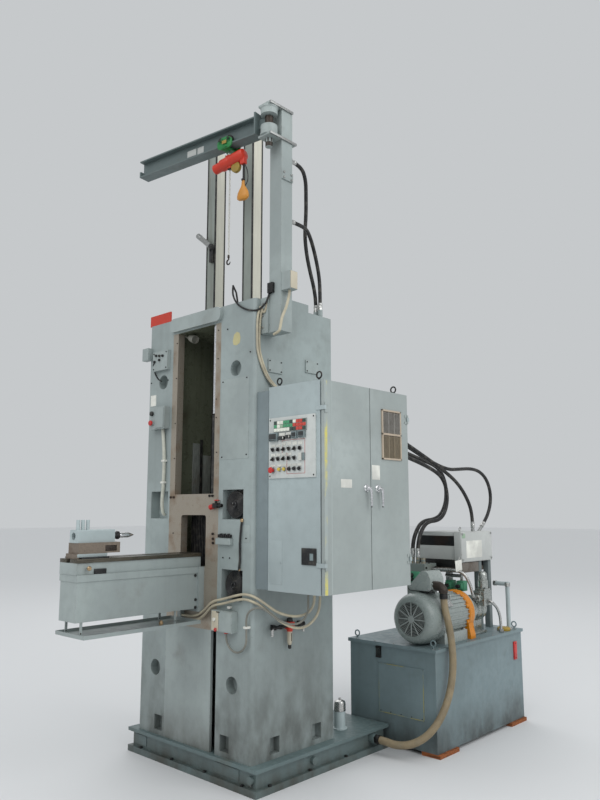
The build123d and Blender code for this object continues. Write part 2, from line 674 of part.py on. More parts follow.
BODY_RIGHT = CAB_RIGHT - DOOR_T - DOOR_GAP
PIN_X = CAB_RIGHT + HINGE_R
DOOR_FRONT = CAB_FRONT + DOOR_EDGE
DOOR_BACK = CAB_BACK - DOOR_EDGE
with BuildPart() as cabinet_body:
    block((SPACER_X, BODY_RIGHT), (CAB_FRONT, CAB_BACK), (CAB_LOW, CAB_TOP))
    block((SPACER_X + CAB_WALL, BODY_RIGHT), (CAB_FRONT + CAB_WALL, CAB_BACK - CAB_WALL),
          (CAB_LOW + CAB_WALL, CAB_TOP - CAB_WALL), Mode.SUBTRACT)
    for z in HINGE_Z:
        for edge, side in ((DOOR_FRONT, -1), (DOOR_BACK, 1)):
            leaf = sorted((edge + side * LEAF_CLEAR, edge + side * (LEAF_CLEAR + LEAF_T)))
            block((BODY_RIGHT - LEAF_LEN, PIN_X + 4), leaf, (z - HINGE_BODY_H / 2, z + HINGE_BODY_H / 2))
            inner = CAB_FRONT if side < 0 else CAB_BACK
            seat = sorted((inner, edge + side * (LEAF_CLEAR + LEAF_T)))
            if seat[1] - seat[0] > LEAF_T:
                block((BODY_RIGHT - LEAF_LEN, BODY_RIGHT), seat, (z - HINGE_BODY_H / 2, z + HINGE_BODY_H / 2))
            pin_y = edge - side * HINGE_IN
            bridge = sorted((edge + side * (LEAF_CLEAR + LEAF_T), pin_y))
            block((PIN_X - 4, PIN_X + 4), bridge, (z - HINGE_BODY_H / 2, z + HINGE_BODY_H / 2))
            rod(HINGE_R, (PIN_X, pin_y, z - HINGE_BODY_H / 2), (PIN_X, pin_y, z + HINGE_BODY_H / 2))
    for x, y in CABLE_GLANDS:
        rod(CABLE_GLAND_R, (x, y, CAB_LOW), (x, y, CAB_LOW - CABLE_GLAND_H))
save(cabinet_body.part, "cabinet_body")

with BuildPart() as cabinet_switchgear:
    plate_face = SPACER_X + CAB_WALL + PLATE_T
    block((SPACER_X + CAB_WALL, plate_face), (CAB_FRONT + PLATE_INSET, CAB_BACK - PLATE_INSET),
          (CAB_LOW + PLATE_INSET, CAB_TOP - PLATE_INSET))
    for up, depth in RELAY_ROWS:
        z = CAB_LOW + up
        for k in range(RELAY_COUNT):
            y = CAB_FRONT + RELAY_START + k * RELAY_PITCH
            block((plate_face, plate_face + depth), (y - RELAY_W / 2, y + RELAY_W / 2),
                  (z - RELAY_H / 2, z + RELAY_H / 2))
save(cabinet_switchgear.part, "cabinet_switchgear")

DOOR_Z = (CAB_LOW + DOOR_EDGE, CAB_TOP - DOOR_EDGE)
DOOR_SPANS = {"cabinet_door_front": (DOOR_FRONT, DOOR_SPLIT - DOOR_SPLIT_GAP / 2, DOOR_FRONT + HINGE_IN),
              "cabinet_door_rear": (DOOR_SPLIT + DOOR_SPLIT_GAP / 2, DOOR_BACK, DOOR_BACK - HINGE_IN)}
for name, (low, high, pin_y) in DOOR_SPANS.items():
    with BuildPart() as door:
        block((CAB_RIGHT - DOOR_T, CAB_RIGHT), (low, high), DOOR_Z)
        for z in HINGE_Z:
            for side in (-1, 1):
                near = z + side * (HINGE_BODY_H / 2 + HINGE_SLIT)
                far = near + side * HINGE_DOOR_H
                rod(HINGE_R, (PIN_X, pin_y, min(near, far)), (PIN_X, pin_y, max(near, far)))
                inward = (pin_y, pin_y + 26) if pin_y < DOOR_SPLIT else (pin_y - 26, pin_y)
                block((CAB_RIGHT, CAB_RIGHT + 4), inward, (min(near, far), max(near, far)))
    save(door.part, name)

with BuildPart() as vent_grille:
    block((CAB_RIGHT, CAB_RIGHT + GRILLE_T), GRILLE_Y, GRILLE_Z)
    pane_h = (GRILLE_Z[1] - GRILLE_Z[0] - 3 * GRILLE_FRAME) / 2
    for k in range(2):
        low = GRILLE_Z[0] + GRILLE_FRAME + k * (pane_h + GRILLE_FRAME)
        block((CAB_RIGHT + 3, CAB_RIGHT + GRILLE_T), (GRILLE_Y[0] + GRILLE_FRAME, GRILLE_Y[1] - GRILLE_FRAME),
              (low, low + pane_h), Mode.SUBTRACT)
save(vent_grille.part, "vent_grille")

# ---- a round rose and a hanging lever on each door
for name, y in zip(("door_handle_front", "door_handle_rear"), HANDLE_Y):
    with BuildPart() as door_handle:
        z = CAB_LOW + HANDLE_UP
        rod(HANDLE_R, (CAB_RIGHT, y, z), (CAB_RIGHT + HANDLE_T, y, z))
        rod(LEVER_W / 2, (CAB_RIGHT + HANDLE_T, y, z), (CAB_RIGHT + HANDLE_T + LEVER_STEM + LEVER_T, y, z))
        lever_x = (CAB_RIGHT + HANDLE_T + LEVER_STEM, CAB_RIGHT + HANDLE_T + LEVER_STEM + LEVER_T)
        block(lever_x, (y - LEVER_W / 2, y + LEVER_SHIFT + LEVER_W / 2), (z - LEVER_W / 2, z + LEVER_W / 2))
        block(lever_x, (y + LEVER_SHIFT - LEVER_W / 2, y + LEVER_SHIFT + LEVER_W / 2), (z - LEVER_LEN, z))
    save(door_handle.part, name)

with BuildPart() as control_panel:
    block(PANEL_X, (CAB_FRONT - PANEL_T, CAB_FRONT), PANEL_Z)
save(control_panel.part, "control_panel")

PANEL_FACE = CAB_FRONT - PANEL_T
with BuildPart() as panel_lamps:
    for left, right in LAMP_SPANS:
        block((PANEL_X[0] + left, PANEL_X[0] + right), (PANEL_FACE - LAMP_T, PANEL_FACE),
              (PANEL_Z[0] + LAMP_UP, PANEL_Z[0] + LAMP_UP + LAMP_H))
save(panel_lamps.part, "panel_lamps")

with BuildPart() as panel_controls:
    for left, right, low, high in DISPLAYS:
        block((PANEL_X[0] + left, PANEL_X[0] + right), (PANEL_FACE - DISPLAY_T, PANEL_FACE),
              (PANEL_Z[0] + low, PANEL_Z[0] + high))
    for (left, up, pitch), count in zip(KNOB_ROWS, KNOB_COUNTS):
        for k in range(count):
            x, z = PANEL_X[0] + left + pitch * k, PANEL_Z[0] + up
            rod(KNOB_R, (x, PANEL_FACE, z), (x, PANEL_FACE - KNOB_T, z))
save(panel_controls.part, "panel_controls")

with BuildPart() as emergency_stop:
    x, z = PANEL_X[0] + STOP_IN, PANEL_Z[0] + STOP_UP
    rod(STOP_STEM_R, (x, PANEL_FACE, z), (x, PANEL_FACE - STOP_STEM, z))
    rod(STOP_R, (x, PANEL_FACE - STOP_STEM, z), (x, PANEL_FACE - STOP_STEM - STOP_HEAD, z))
save(emergency_stop.part, "emergency_stop")

with BuildPart() as cable_socket:
    with BuildSketch(Plane.XZ.offset(-CAB_FRONT)):
        with Locations((sum(SOCKET_X) / 2, sum(SOCKET_Z) / 2)):
            RectangleRounded(SOCKET_X[1] - SOCKET_X[0], SOCKET_Z[1] - SOCKET_Z[0], 20)
    extrude(amount=SOCKET_T)
save(cable_socket.part, "cable_socket")

with BuildPart() as lifting_eyes:
    for x in (SPACER_X + EYE_INSET, BODY_RIGHT - EYE_INSET):
        for y in (CAB_FRONT + EYE_INSET, CAB_BACK - EYE_INSET):
            rod(8, (x, y, CAB_TOP), (x, y, CAB_TOP + EYE_STEM))
            with Locations(Plane((x, y, CAB_TOP + EYE_STEM + EYE_R - 2), z_dir=(0, 1, 0)).location):
                Torus(EYE_R, EYE_WIRE)
save(lifting_eyes.part, "lifting_eyes")

# ---- boxes on the column
with BuildPart() as switch_boxes:
    block(LEFT_BOX_X, (-SWITCH_D, 0), LEFT_BOX_Z)
    rod(BUTTON_R, (LEFT_BOX_X[0] + 30, -SWITCH_D, LEFT_BOX_Z[1] - 48), (LEFT_BOX_X[0] + 30, -SWITCH_D - BUTTON_T, LEFT_BOX_Z[1] - 48))
    rod(BUTTON_R, (LEFT_BOX_X[0] + 45, -SWITCH_D, LEFT_BOX_Z[0] + 41), (LEFT_BOX_X[0] + 45, -SWITCH_D - BUTTON_T, LEFT_BOX_Z[0] + 41))
    block(UPPER_BOX_X, (-UPPER_BOX_D, 0), UPPER_BOX_Z)
    block(RIGHT_BOX_X, (-SWITCH_D, 0), RIGHT_BOX_Z)
    block(STRIP_BOX_X, (-STRIP_BOX_D, 0), STRIP_BOX_Z)
save(switch_boxes.part, "switch_boxes")

with BuildPart() as air_regulator:
    reg_x = COL_HALF + REG_OUT
    rod(REG_PIPE_R, (reg_x, REG_PIPE_Y[0], REG_PIPE_Z), (reg_x, REG_PIPE_Y[1], REG_PIPE_Z))
    block((COL_HALF, reg_x + REG_BODY / 2), (REG_BODY_Y - REG_BODY / 2, REG_BODY_Y + REG_BODY / 2),
          (REG_PIPE_Z - REG_BODY / 2, REG_PIPE_Z + REG_BODY / 2))
    bowl_low = REG_PIPE_Z - REG_BODY / 2 - BOWL_H
    rod(BOWL_R, (reg_x, REG_BODY_Y, REG_PIPE_Z), (reg_x, REG_BODY_Y, bowl_low))
    rod(DRAIN_R, (reg_x, REG_BODY_Y, bowl_low), (reg_x, REG_BODY_Y, bowl_low - DRAIN_H))
    for y in (REG_PIPE_Y[0] + REG_PIPE_R, REG_PIPE_Y[1] - REG_PIPE_R):
        rod(REG_PIPE_R, (reg_x, y, REG_PIPE_Z), (reg_x, y, REG_PIPE_Z - ELBOW_DROP))
save(air_regulator.part, "air_regulator")

# ---- jib post with its bracket, bearing plates, housings and pin
HOUSING_TOP = LOWER_BEARING + BEARING_T + LOWER_HOUSING_H
HOUSING_LOW = JIB_TOP - UPPER_HOUSING_H
with BuildPart() as jib_post:
    block(JIB_POST_X, JIB_POST_Y, (JIB_LOW, JIB_TOP))
    block((COL_HALF, JIB_POST_X[0]), BRACKET_Y, (JIB_LOW, COL_TOP))
    block(JIB_POST_X, (BEARING_FRONT, JIB_POST_Y[1]), (JIB_TOP, JIB_TOP + BEARING_T))
    block(JIB_POST_X, (BEARING_FRONT, JIB_POST_Y[1] + BEARING_LIP), (LOWER_BEARING, LOWER_BEARING + BEARING_T))
    rod(BEARING_R, (PIVOT_X, PIVOT_Y, LOWER_BEARING + BEARING_T), (PIVOT_X, PIVOT_Y, HOUSING_TOP))
    rod(BEARING_R, (PIVOT_X, PIVOT_Y, HOUSING_LOW), (PIVOT_X, PIVOT_Y, JIB_TOP))
    rod(BOSS_R, (PIVOT_X, PIVOT_Y, JIB_TOP + BEARING_T), (PIVOT_X, PIVOT_Y, JIB_TOP + BEARING_T + BOSS_H))
    rod(BOSS_R, (PIVOT_X, PIVOT_Y, LOWER_BEARING - LOWER_NUT_H), (PIVOT_X, PIVOT_Y, LOWER_BEARING))
    rod(PIN_R, (PIVOT_X, PIVOT_Y, HOUSING_TOP), (PIVOT_X, PIVOT_Y, HOUSING_LOW))
    block((JIB_POST_X[1], JIB_POST_X[1] + POST_BOX_D), POST_BOX_Y, POST_BOX_Z)
    block((JIB_POST_X[1], JIB_POST_X[1] + SPLICE_T), JIB_POST_Y, SPLICE_Z)
    for x, z in POST_GLANDS:
        rod(POST_GLAND_R, (x, JIB_POST_Y[1], z), (x, JIB_POST_Y[1] + POST_GLAND_H, z))
save(jib_post.part, "jib_post")

# ---- jib arm, drawn along its own X from the pivot
arm_dir = (-cos(radians(ARM_ANGLE)), -sin(radians(ARM_ANGLE)), 0)
arm_frame = Plane(origin=(PIVOT_X, PIVOT_Y, 0), x_dir=arm_dir, z_dir=(0, 0, 1))
HUB_LOW = HOUSING_TOP + HUB_SEAT
HUB_HIGH = HOUSING_LOW - HUB_CLEAR
with BuildPart(arm_frame) as jib_arm:
    block((ARM_START, ARM_END), (-ARM_FLANGE_W / 2, ARM_FLANGE_W / 2), (ARM_LOW, ARM_LOW + ARM_FLANGE_T))
    block((ARM_START, ARM_END), (-ARM_WEB_T / 2, ARM_WEB_T / 2), (ARM_LOW, ARM_LOW + ARM_H))
    block((ARM_START, ARM_END), (-ARM_FLANGE_W / 2, ARM_FLANGE_W / 2),
          (ARM_LOW + ARM_H - ARM_FLANGE_T, ARM_LOW + ARM_H))
    block((ARM_ROOT, ARM_START), (-ARM_ROOT_HALF, ARM_ROOT_HALF), (ARM_LOW, ARM_LOW + ARM_H + ARM_ROOT_UP))
    block((PIN_R + HUB_SEAT + 2, ARM_ROOT), (-HUB_WEB_T / 2, HUB_WEB_T / 2), (HUB_LOW + 2, HUB_HIGH - 2))
    with Locations((0, 0, HUB_LOW)):
        Cylinder(HUB_R, HUB_HIGH - HUB_LOW, align=(Align.CENTER, Align.CENTER, Align.MIN))
    for side in (-1, 1):
        middle = side * (ARM_FLANGE_W / 2 - 15)
        block((ARM_END - STOP_T, ARM_END), (middle - 15, middle + 15),
              (ARM_LOW + ARM_FLANGE_T, ARM_LOW + ARM_FLANGE_T + STOP_H))
    with Locations((0, 0, HUB_LOW)):
        Cylinder(PIN_R + PIN_FIT, HUB_HIGH - HUB_LOW, align=(Align.CENTER, Align.CENTER, Align.MIN),
                 mode=Mode.SUBTRACT)
save(jib_arm.part, "jib_arm")

# ---- trolley: two cheeks beside the lower flange, wheels on it and a yoke beneath
CHEEK_IN = ARM_FLANGE_W / 2 + CHEEK_CLEAR
CHEEK_OUT = CHEEK_IN + CHEEK_T
WHEEL_Z = ARM_LOW + ARM_FLANGE_T + WHEEL_SEAT + WHEEL_R
YOKE_TOP = CHEEK_LOW + YOKE_T
with BuildPart(arm_frame) as trolley:
    span = (TROLLEY_AT - TROLLEY_LEN / 2, TROLLEY_AT + TROLLEY_LEN / 2)
    block(span, (-CHEEK_OUT, -CHEEK_IN), (CHEEK_LOW, CHEEK_TOP))
    block(span, (CHEEK_IN, CHEEK_OUT), (CHEEK_LOW, CHEEK_TOP))
    block((TROLLEY_AT - YOKE_LEN / 2, TROLLEY_AT + YOKE_LEN / 2), (-CHEEK_IN, CHEEK_IN), (CHEEK_LOW, YOKE_TOP))
    for k in (-0.5, 0.5):
        for side in (-1, 1):
            with Locations(Location((TROLLEY_AT + k * WHEEL_PITCH, side * (CHEEK_IN - WHEEL_T / 2), WHEEL_Z),
                                    (90, 0, 0))):
                Cylinder(WHEEL_R, WHEEL_T)
save(trolley.part, "trolley")

# ---- chain hoist under the trolley: round body, load chain and hook block
HOIST_Z = CHEEK_LOW - HOIST_DROP - HOIST_R
HOIST_BOTTOM = HOIST_Z - HOIST_R - GUIDE_BOSS
CHAIN_LOW = COL_TOP + CHAIN_OVER
with BuildPart(arm_frame) as hoist_body:
    lean = radians(HOIST_TILT)
    for radius, first, last in ((HOIST_NECK_R, HOIST_ENDS[0], HOIST_ENDS[2] / 2), (HOIST_R, *HOIST_ENDS[1:])):
        mid = (first + last) / 2
        with Locations(Location((TROLLEY_AT - mid * cos(lean), 0, HOIST_Z + mid * sin(lean)),
                                (0, HOIST_TILT - 90, 0))):
            Cylinder(radius, last - first)
    block((TROLLEY_AT - 20, TROLLEY_AT + 20), (-14, 14), (HOIST_Z + HOIST_R - 20, CHEEK_LOW))
    for shift in (CHAIN_AT, BLOCK_AT):
        block((TROLLEY_AT + shift - 20, TROLLEY_AT + shift + 20), (-16, 16), (HOIST_BOTTOM, HOIST_Z))
save(hoist_body.part, "hoist_body")

with BuildPart(arm_frame) as load_chain:
    at = TROLLEY_AT + CHAIN_AT
    block((at - CHAIN_W / 2, at + CHAIN_W / 2), (-CHAIN_W / 2, CHAIN_W / 2), (CHAIN_LOW, HOIST_BOTTOM))
    block((at - HOOK_W / 2, at + HOOK_W / 2), (-CHAIN_W / 2, CHAIN_W / 2), (CHAIN_LOW - 60, CHAIN_LOW))
save(load_chain.part, "load_chain")

with BuildPart(arm_frame) as hook_block:
    at = TROLLEY_AT + BLOCK_AT
    block((at - 6, at + 6), (-6, 6), (HOIST_BOTTOM - BLOCK_DROP, HOIST_BOTTOM))
    block((at - BLOCK_W / 2, at + BLOCK_W / 2), (-BLOCK_T / 2, BLOCK_T / 2),
          (HOIST_BOTTOM - BLOCK_DROP - BLOCK_H, HOIST_BOTTOM - BLOCK_DROP))
save(hook_block.part, "hook_block")

# ---- hydraulic power unit: tank on bearers, lid, hatch and gauges
with BuildPart() as tank_bearers:
    for x in ((TANK_X[0] - BEARER_OVER, TANK_X[0] + BEARER_W), (TANK_X[1] - BEARER_W, TANK_X[1] + BEARER_OVER)):
        for y in ((TANK_Y[0], TANK_Y[0] + BEARER_LEN), (TANK_Y[1] - BEARER_LEN, TANK_Y[1])):
            block(x, y, (0, TANK_LOW))
save(tank_bearers.part, "tank_bearers")

with BuildPart() as oil_tank:
    block(TANK_X, TANK_Y, (TANK_LOW, TANK_TOP))
save(oil_tank.part, "oil_tank")

LID_TOP = TANK_TOP + LID_T
with BuildPart() as tank_covers:
    block((TANK_X[0] - LID_OVER, TANK_X[1] + LID_OVER), (TANK_Y[0] - LID_OVER, TANK_Y[1] + LID_OVER),
          (TANK_TOP, LID_TOP))
    for x in (TANK_X[0] + TANK_EYE_INSET, TANK_X[1] - TANK_EYE_INSET):
        for y in (TANK_Y[0] + TANK_EYE_INSET, TANK_Y[1] - TANK_EYE_INSET):
            rod(8, (x, y, LID_TOP), (x, y, LID_TOP + TANK_EYE_STEM))
            with Locations(Plane((x, y, LID_TOP + TANK_EYE_STEM + EYE_R - 2), z_dir=(0, 1, 0)).location):
                Torus(EYE_R, EYE_WIRE)
    block(HATCH_X, (TANK_Y[0] - HATCH_T, TANK_Y[0]), HATCH_Z)
save(tank_covers.part, "tank_covers")

with BuildPart() as oil_gauges:
    block(GAUGE_X, (TANK_Y[0] - GAUGE_T, TANK_Y[0]), GAUGE_Z)
    block((TANK_X[1], TANK_X[1] + LEVEL_T), LEVEL_Y, LEVEL_Z)
save(oil_gauges.part, "oil_gauges")

# ---- motor: finned body on a foot, fan cowl with a radial grille, bell housing, pump
with BuildPart() as motor_body:
    rod(MOTOR_R - FIN_H, (MOTOR_X, COWL_Y[1], MOTOR_Z), (MOTOR_X, MOTOR_BACK, MOTOR_Z))
    fin_frame = Plane(origin=(MOTOR_X, COWL_Y[1], MOTOR_Z), x_dir=(1, 0, 0), z_dir=(0, 1, 0))
    with BuildSketch(fin_frame):
        with PolarLocations(MOTOR_R - FIN_H, FIN_COUNT):
            Rectangle(2 * FIN_H, FIN_T)
    extrude(amount=MOTOR_BACK - COWL_Y[1])
    block((MOTOR_X - FOOT_HALF, MOTOR_X + FOOT_HALF), (COWL_Y[1] + 10, MOTOR_BACK - 10),
          (LID_TOP, MOTOR_Z - MOTOR_R + FOOT_H))
    block((MOTOR_X - TBOX_NECK, MOTOR_X + TBOX_NECK), (COWL_Y[1] + 20, TBOX_Y[1] - 20),
          (MOTOR_Z + MOTOR_R - 30, TBOX_LOW))
save(motor_body.part, "motor_body")

with BuildPart() as fan_cowl:
    with BuildSketch(Plane.YZ.offset(MOTOR_X)):
        with BuildLine():
            Polyline(*[(COWL_Y[0] + back, MOTOR_Z + share * COWL_R) for back, share in COWL_PROFILE],
                     (COWL_Y[1], MOTOR_Z + COWL_R), (COWL_Y[1], MOTOR_Z), close=True)
        make_face()
    revolve(axis=Axis((MOTOR_X, 0, MOTOR_Z), (0, 1, 0)))
    rod(GRILLE_R, (MOTOR_X, COWL_Y[0], MOTOR_Z), (MOTOR_X, COWL_Y[0] + GRILLE_D, MOTOR_Z), Mode.SUBTRACT)
    spoke_frame = Plane(origin=(MOTOR_X, COWL_Y[0] + GRILLE_D, MOTOR_Z), x_dir=(1, 0, 0), z_dir=(0, -1, 0))
    with BuildSketch(spoke_frame):
        with PolarLocations(GRILLE_R / 2, SPOKE_COUNT):
            Rectangle(GRILLE_R, SPOKE_T)
        Circle(26)
    extrude(amount=GRILLE_D - 3)
save(fan_cowl.part, "fan_cowl")

with BuildPart() as bell_housing:
    rod(BELL_R, (MOTOR_X, MOTOR_BACK, MOTOR_Z), (MOTOR_X, MOTOR_BACK + BELL_RING, MOTOR_Z))
    rod(BELL_NECK_R, (MOTOR_X, MOTOR_BACK + BELL_RING, MOTOR_Z), (MOTOR_X, BELL_BACK, MOTOR_Z))
    block(BELL_FOOT_X, (MOTOR_BACK, MOTOR_BACK + BELL_RING), (LID_TOP, BELL_FOOT_TOP))
save(bell_housing.part, "bell_housing")

with BuildPart() as oil_pump:
    rod(PUMP_R, (MOTOR_X, BELL_BACK, MOTOR_Z), (MOTOR_X, PUMP_BACK, MOTOR_Z))
    rod(PUMP_NOSE_R, (MOTOR_X, PUMP_BACK, MOTOR_Z), (MOTOR_X, PUMP_BACK + PUMP_NOSE, MOTOR_Z))
    block((MOTOR_X - 60, MOTOR_X + 60), (BELL_BACK + 40, PUMP_BACK - 40), (LID_TOP, MOTOR_Z - PUMP_R + 20))
    block(PUMP_VALVE_X, PUMP_VALVE_Y, (MOTOR_Z, MOTOR_Z + PUMP_VALVE_UP))
    valve_mid = (sum(PUMP_VALVE_X) / 2 + 8, sum(PUMP_VALVE_Y) / 2)
    rod(PUMP_CAP_R, (*valve_mid, MOTOR_Z + PUMP_VALVE_UP), (*valve_mid, MOTOR_Z + PUMP_VALVE_UP + PUMP_CAP_H))
save(oil_pump.part, "oil_pump")

with BuildPart() as terminal_box:
    block(TBOX_X, TBOX_Y, (TBOX_LOW, TBOX_TOP))
    chamfer(terminal_box.edges().filter_by(Axis.Y).group_by(Axis.Z)[-1], TBOX_CHAMFER)
    elbow_x = TBOX_X[1] + ELBOW_REACH
    rod(GLAND_R, (TBOX_X[1], ELBOW_Y, ELBOW_Z), (elbow_x, ELBOW_Y, ELBOW_Z))
    rod(GLAND_R, (elbow_x, ELBOW_Y, ELBOW_Z + GLAND_R), (elbow_x, ELBOW_Y, ELBOW_Z - GLAND_LEN))
save(terminal_box.part, "terminal_box")

with BuildPart() as junction_box:
    block(JBOX_X, JBOX_Y, JBOX_Z)
    for y in (PUMP_BACK + PUMP_NOSE + JBOX_LEG_CLEAR, JBOX_Y[1] - LEG_W):
        block((JBOX_X[0], JBOX_X[0] + LEG_W), (y, y + LEG_W), (LID_TOP, JBOX_Z[0]))
    rod(JBOX_GLAND_R, (846, 2232, JBOX_Z[1]), (846, 2232, JBOX_Z[1] + 27))
    rod(JBOX_GLAND_R, (817, 2364, JBOX_Z[1] - 12), (817, 2428, JBOX_Z[1] + 36))
save(junction_box.part, "junction_box")

with BuildPart() as oil_cooler:
    block(COOLER_X, COOLER_Y, COOLER_Z)
    block((COOLER_X[1], COOLER_RAIL_X), COOLER_RAIL_Y, (COOLER_Z[0], COOLER_RAIL_TOP))
    for y in (COOLER_Y[0], COOLER_Y[1] - LEG_W):
        block((COOLER_X[0], COOLER_X[0] + LEG_W), (y, y + LEG_W), (LID_TOP, COOLER_Z[0]))
save(oil_cooler.part, "oil_cooler")

with BuildPart() as valve_manifold:
    block(MANIFOLD_X, MANIFOLD_Y, (LID_TOP, MANIFOLD_TOP))
    for k in range(FITTING_COUNT):
        x, y = MANIFOLD_X[0] + FITTING_IN + FITTING_PITCH * k, MANIFOLD_Y[0] + FITTING_BACK
        rod(FITTING_R, (x, y, MANIFOLD_TOP), (x, y, MANIFOLD_TOP + FITTING_H))
save(valve_manifold.part, "valve_manifold")

with BuildPart() as suction_pipe:
    rod(PIPE_R, (PIPE_X, PIPE_Y, LID_TOP), (PIPE_X, PIPE_Y, PIPE_TOP))
    rod(PIPE_R, (PIPE_X + PIPE_R, PIPE_Y, PIPE_TOP - PIPE_R), (PIPE_X - 120, PIPE_Y, PIPE_TOP - PIPE_R))
save(suction_pipe.part, "suction_pipe")

with BuildPart() as air_filter:
    rod(FILTER_R, (FILTER_X, FILTER_Y, PED_TOP), (FILTER_X, FILTER_Y, PED_TOP + FILTER_H))
    fillet(air_filter.faces().sort_by(Axis.Z)[-1].edges(), 40)
save(air_filter.part, "air_filter")

# ---- flexible conduit from the motor's terminal box to the pedestal
tube("motor_conduit", ((1046, 1440, 1086), (1046, 1440, 1000), (1082, 1440, 880), (1098, 1450, 740),
                       (1106, 1445, 600), (1108, 1410, 470), (1106, 1345, 355), (1090, 1262, 250),
                       (1035, 1195, 160), (940, 1150, 100), (838, 1118, 84), (PED_HALF + 95, GLAND_Y, GLAND_Z),
                       (PED_HALF - PED_INSET + GLAND_LEN, GLAND_Y, GLAND_Z)), CONDUIT_D)

# ---- hoses to the column and the cables on the post, the cabinet and the bed
PORT_BACK = COL_DEPTH + BOSS_PORT_H
GLAND_BACK = JIB_POST_Y[1] + POST_GLAND_H
TOWER_LOW = COL_TOP + TOP_PORTS[0][2]
TOWER_RISE = POST_GLANDS[0][1] - TOWER_LOW
tube("manifold_hose_upper", ((HOSE_X[0], PORT_BACK, 2330), (HOSE_X[0], PORT_BACK + 144, 2330), (500, 1200, 2295),
      (500, 1490, 2225), (500, 1760, 2150),
      (500, 2000, 2102), (500, 2232, 2060), (500, 2338, 1998), (500, 2400, 1892), (500, 2400, 1768),
      (500, 2338, 1662), (500, 2232, 1600), (500, 2010, 1585), (500, 1915, 1500), (498, 1866, 1395),
      (498, 1866, 1298)), 33.0)
tube("manifold_hose_lower", ((HOSE_X[1], PORT_BACK, 2240), (HOSE_X[1], PORT_BACK + 144, 2240), (548, 1200, 2212),
      (548, 1470, 2160), (548, 1730, 2105),
      (548, 1985, 2053), (548, 2185, 1995), (548, 2280, 1940), (548, 2335, 1845), (548, 2335, 1735),
      (548, 2280, 1640), (548, 2185, 1588), (548, 2010, 1580), (548, 1915, 1500), (548, 1866, 1395),
      (548, 1866, 1298)), 32.0)
tube("junction_hose_outer", ((HOSE_X[2], PORT_BACK, 2420), (HOSE_X[2], PORT_BACK + 144, 2420), (500, 1180, 2390),
      (640, 1430, 2240), (750, 1680, 2085),
      (800, 1930, 1998), (806, 2120, 2010), (811, 2290, 2022), (815, 2430, 2005), (817, 2540, 1945),
      (817, 2600, 1850), (817, 2605, 1755), (817, 2565, 1665), (817, 2500, 1593), (817, 2428, 1539)), 28.0)
tube("junction_hose_inner", ((HOSE_X[3], PORT_BACK, 2420), (HOSE_X[3], PORT_BACK + 144, 2420), (560, 1180, 2375),
      (700, 1420, 2220), (800, 1640, 2080),
      (846, 1850, 1972), (846, 2030, 1885), (846, 2160, 1770), (846, 2232, 1650), (846, 2232, 1530)), 28.0)
tube("tower_hose_left", ((POST_GLANDS[0][0], GLAND_BACK, POST_GLANDS[0][1]),
      (POST_GLANDS[0][0], GLAND_BACK + 110, POST_GLANDS[0][1]), (664, 400, TOWER_LOW + 0.94086 * TOWER_RISE),
      (630, 440, TOWER_LOW + 0.82151 * TOWER_RISE), (600, 472, TOWER_LOW + 0.68817 * TOWER_RISE),
      (574, 486, TOWER_LOW + 0.54301 * TOWER_RISE), (548, 535, TOWER_LOW + 0.40860 * TOWER_RISE),
      (518, 605, TOWER_LOW + 0.29570 * TOWER_RISE), (492, 675, TOWER_LOW + 0.19355 * TOWER_RISE),
      (TOP_PORTS[0][0], TOP_PORTS[0][1], TOWER_LOW + 0.09140 * TOWER_RISE),
      (TOP_PORTS[0][0], TOP_PORTS[0][1], TOWER_LOW)), 27.0)
tube("tower_hose_right", ((POST_GLANDS[1][0], GLAND_BACK, POST_GLANDS[1][1]),
      (POST_GLANDS[1][0], GLAND_BACK + 96, POST_GLANDS[1][1]), (668, 394, POST_GLANDS[1][1] + 6),
      (625, 475, POST_GLANDS[1][1]), (580, 562, POST_GLANDS[1][1] - 40),
      (542, 646, POST_GLANDS[1][1] - 130), (524, 700, POST_GLANDS[1][1] - 245),
      (TOP_PORTS[1][0], TOP_PORTS[1][1], COL_TOP + 190), (TOP_PORTS[1][0], TOP_PORTS[1][1], COL_TOP + 70)), 27.0)
tube("bed_cable_upper", ((880, 240, 1166), (880, 240, 1112), (859, 222, 1062), (822, 191, 1036), (771, 146, 1032),
      (706, 91, 1055), (646, 39, 1110), (600, -2, 1150), (530, -26, 1163), (430, -26, 1140),
      (330, -26, 1114), (229, -26, 1094), (158, -26, 1036), (90, -26, 994), (5, -26, 980),
      (-80, -26, 980)), 16.0)
tube("bed_cable_lower", ((889, 282, 1166), (889, 282, 1096), (872, 268, 1026), (830, 231, 970), (777, 186, 955),
      (716, 134, 985), (655, 82, 1045), (622, 36, 1092), (588, -8, 1120), (528, -26, 1133),
      (430, -26, 1112), (330, -26, 1085), (226, -26, 1066), (155, -26, 1000), (85, -26, 962),
      (2, -26, 955), (-80, -26, 955)), 16.0)
tube("switch_cable", ((365, -23, 918), (365, -23, 874), (390, -23, 830), (434, -23, 804), (486, -23, 804),
      (530, -23, 830), (556, -24, 874), (554, -25, 950), (552, -26, 1015), (574, -26, 1060),
      (616, -10, 1085), (655, 22, 1082), (693, 45, 1048), (742, 88, 1005), (799, 136, 985),
      (841, 172, 1005), (866, 194, 1055), (868, 196, 1112), (868, 196, 1166)), 13.0)
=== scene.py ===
"""Looks of a vertical roll forming machine: column, cabinet, work bed, jib crane and power unit.

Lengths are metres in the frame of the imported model: the origin is on the floor under the
column's front face, +X towards the cabinet, +Y towards the back and +Z up.
"""

import json
import logging
import math
from dataclasses import dataclass
from enum import Enum
from typing import Iterable, Sequence

import bmesh
import bpy
from mathutils import Matrix, Vector

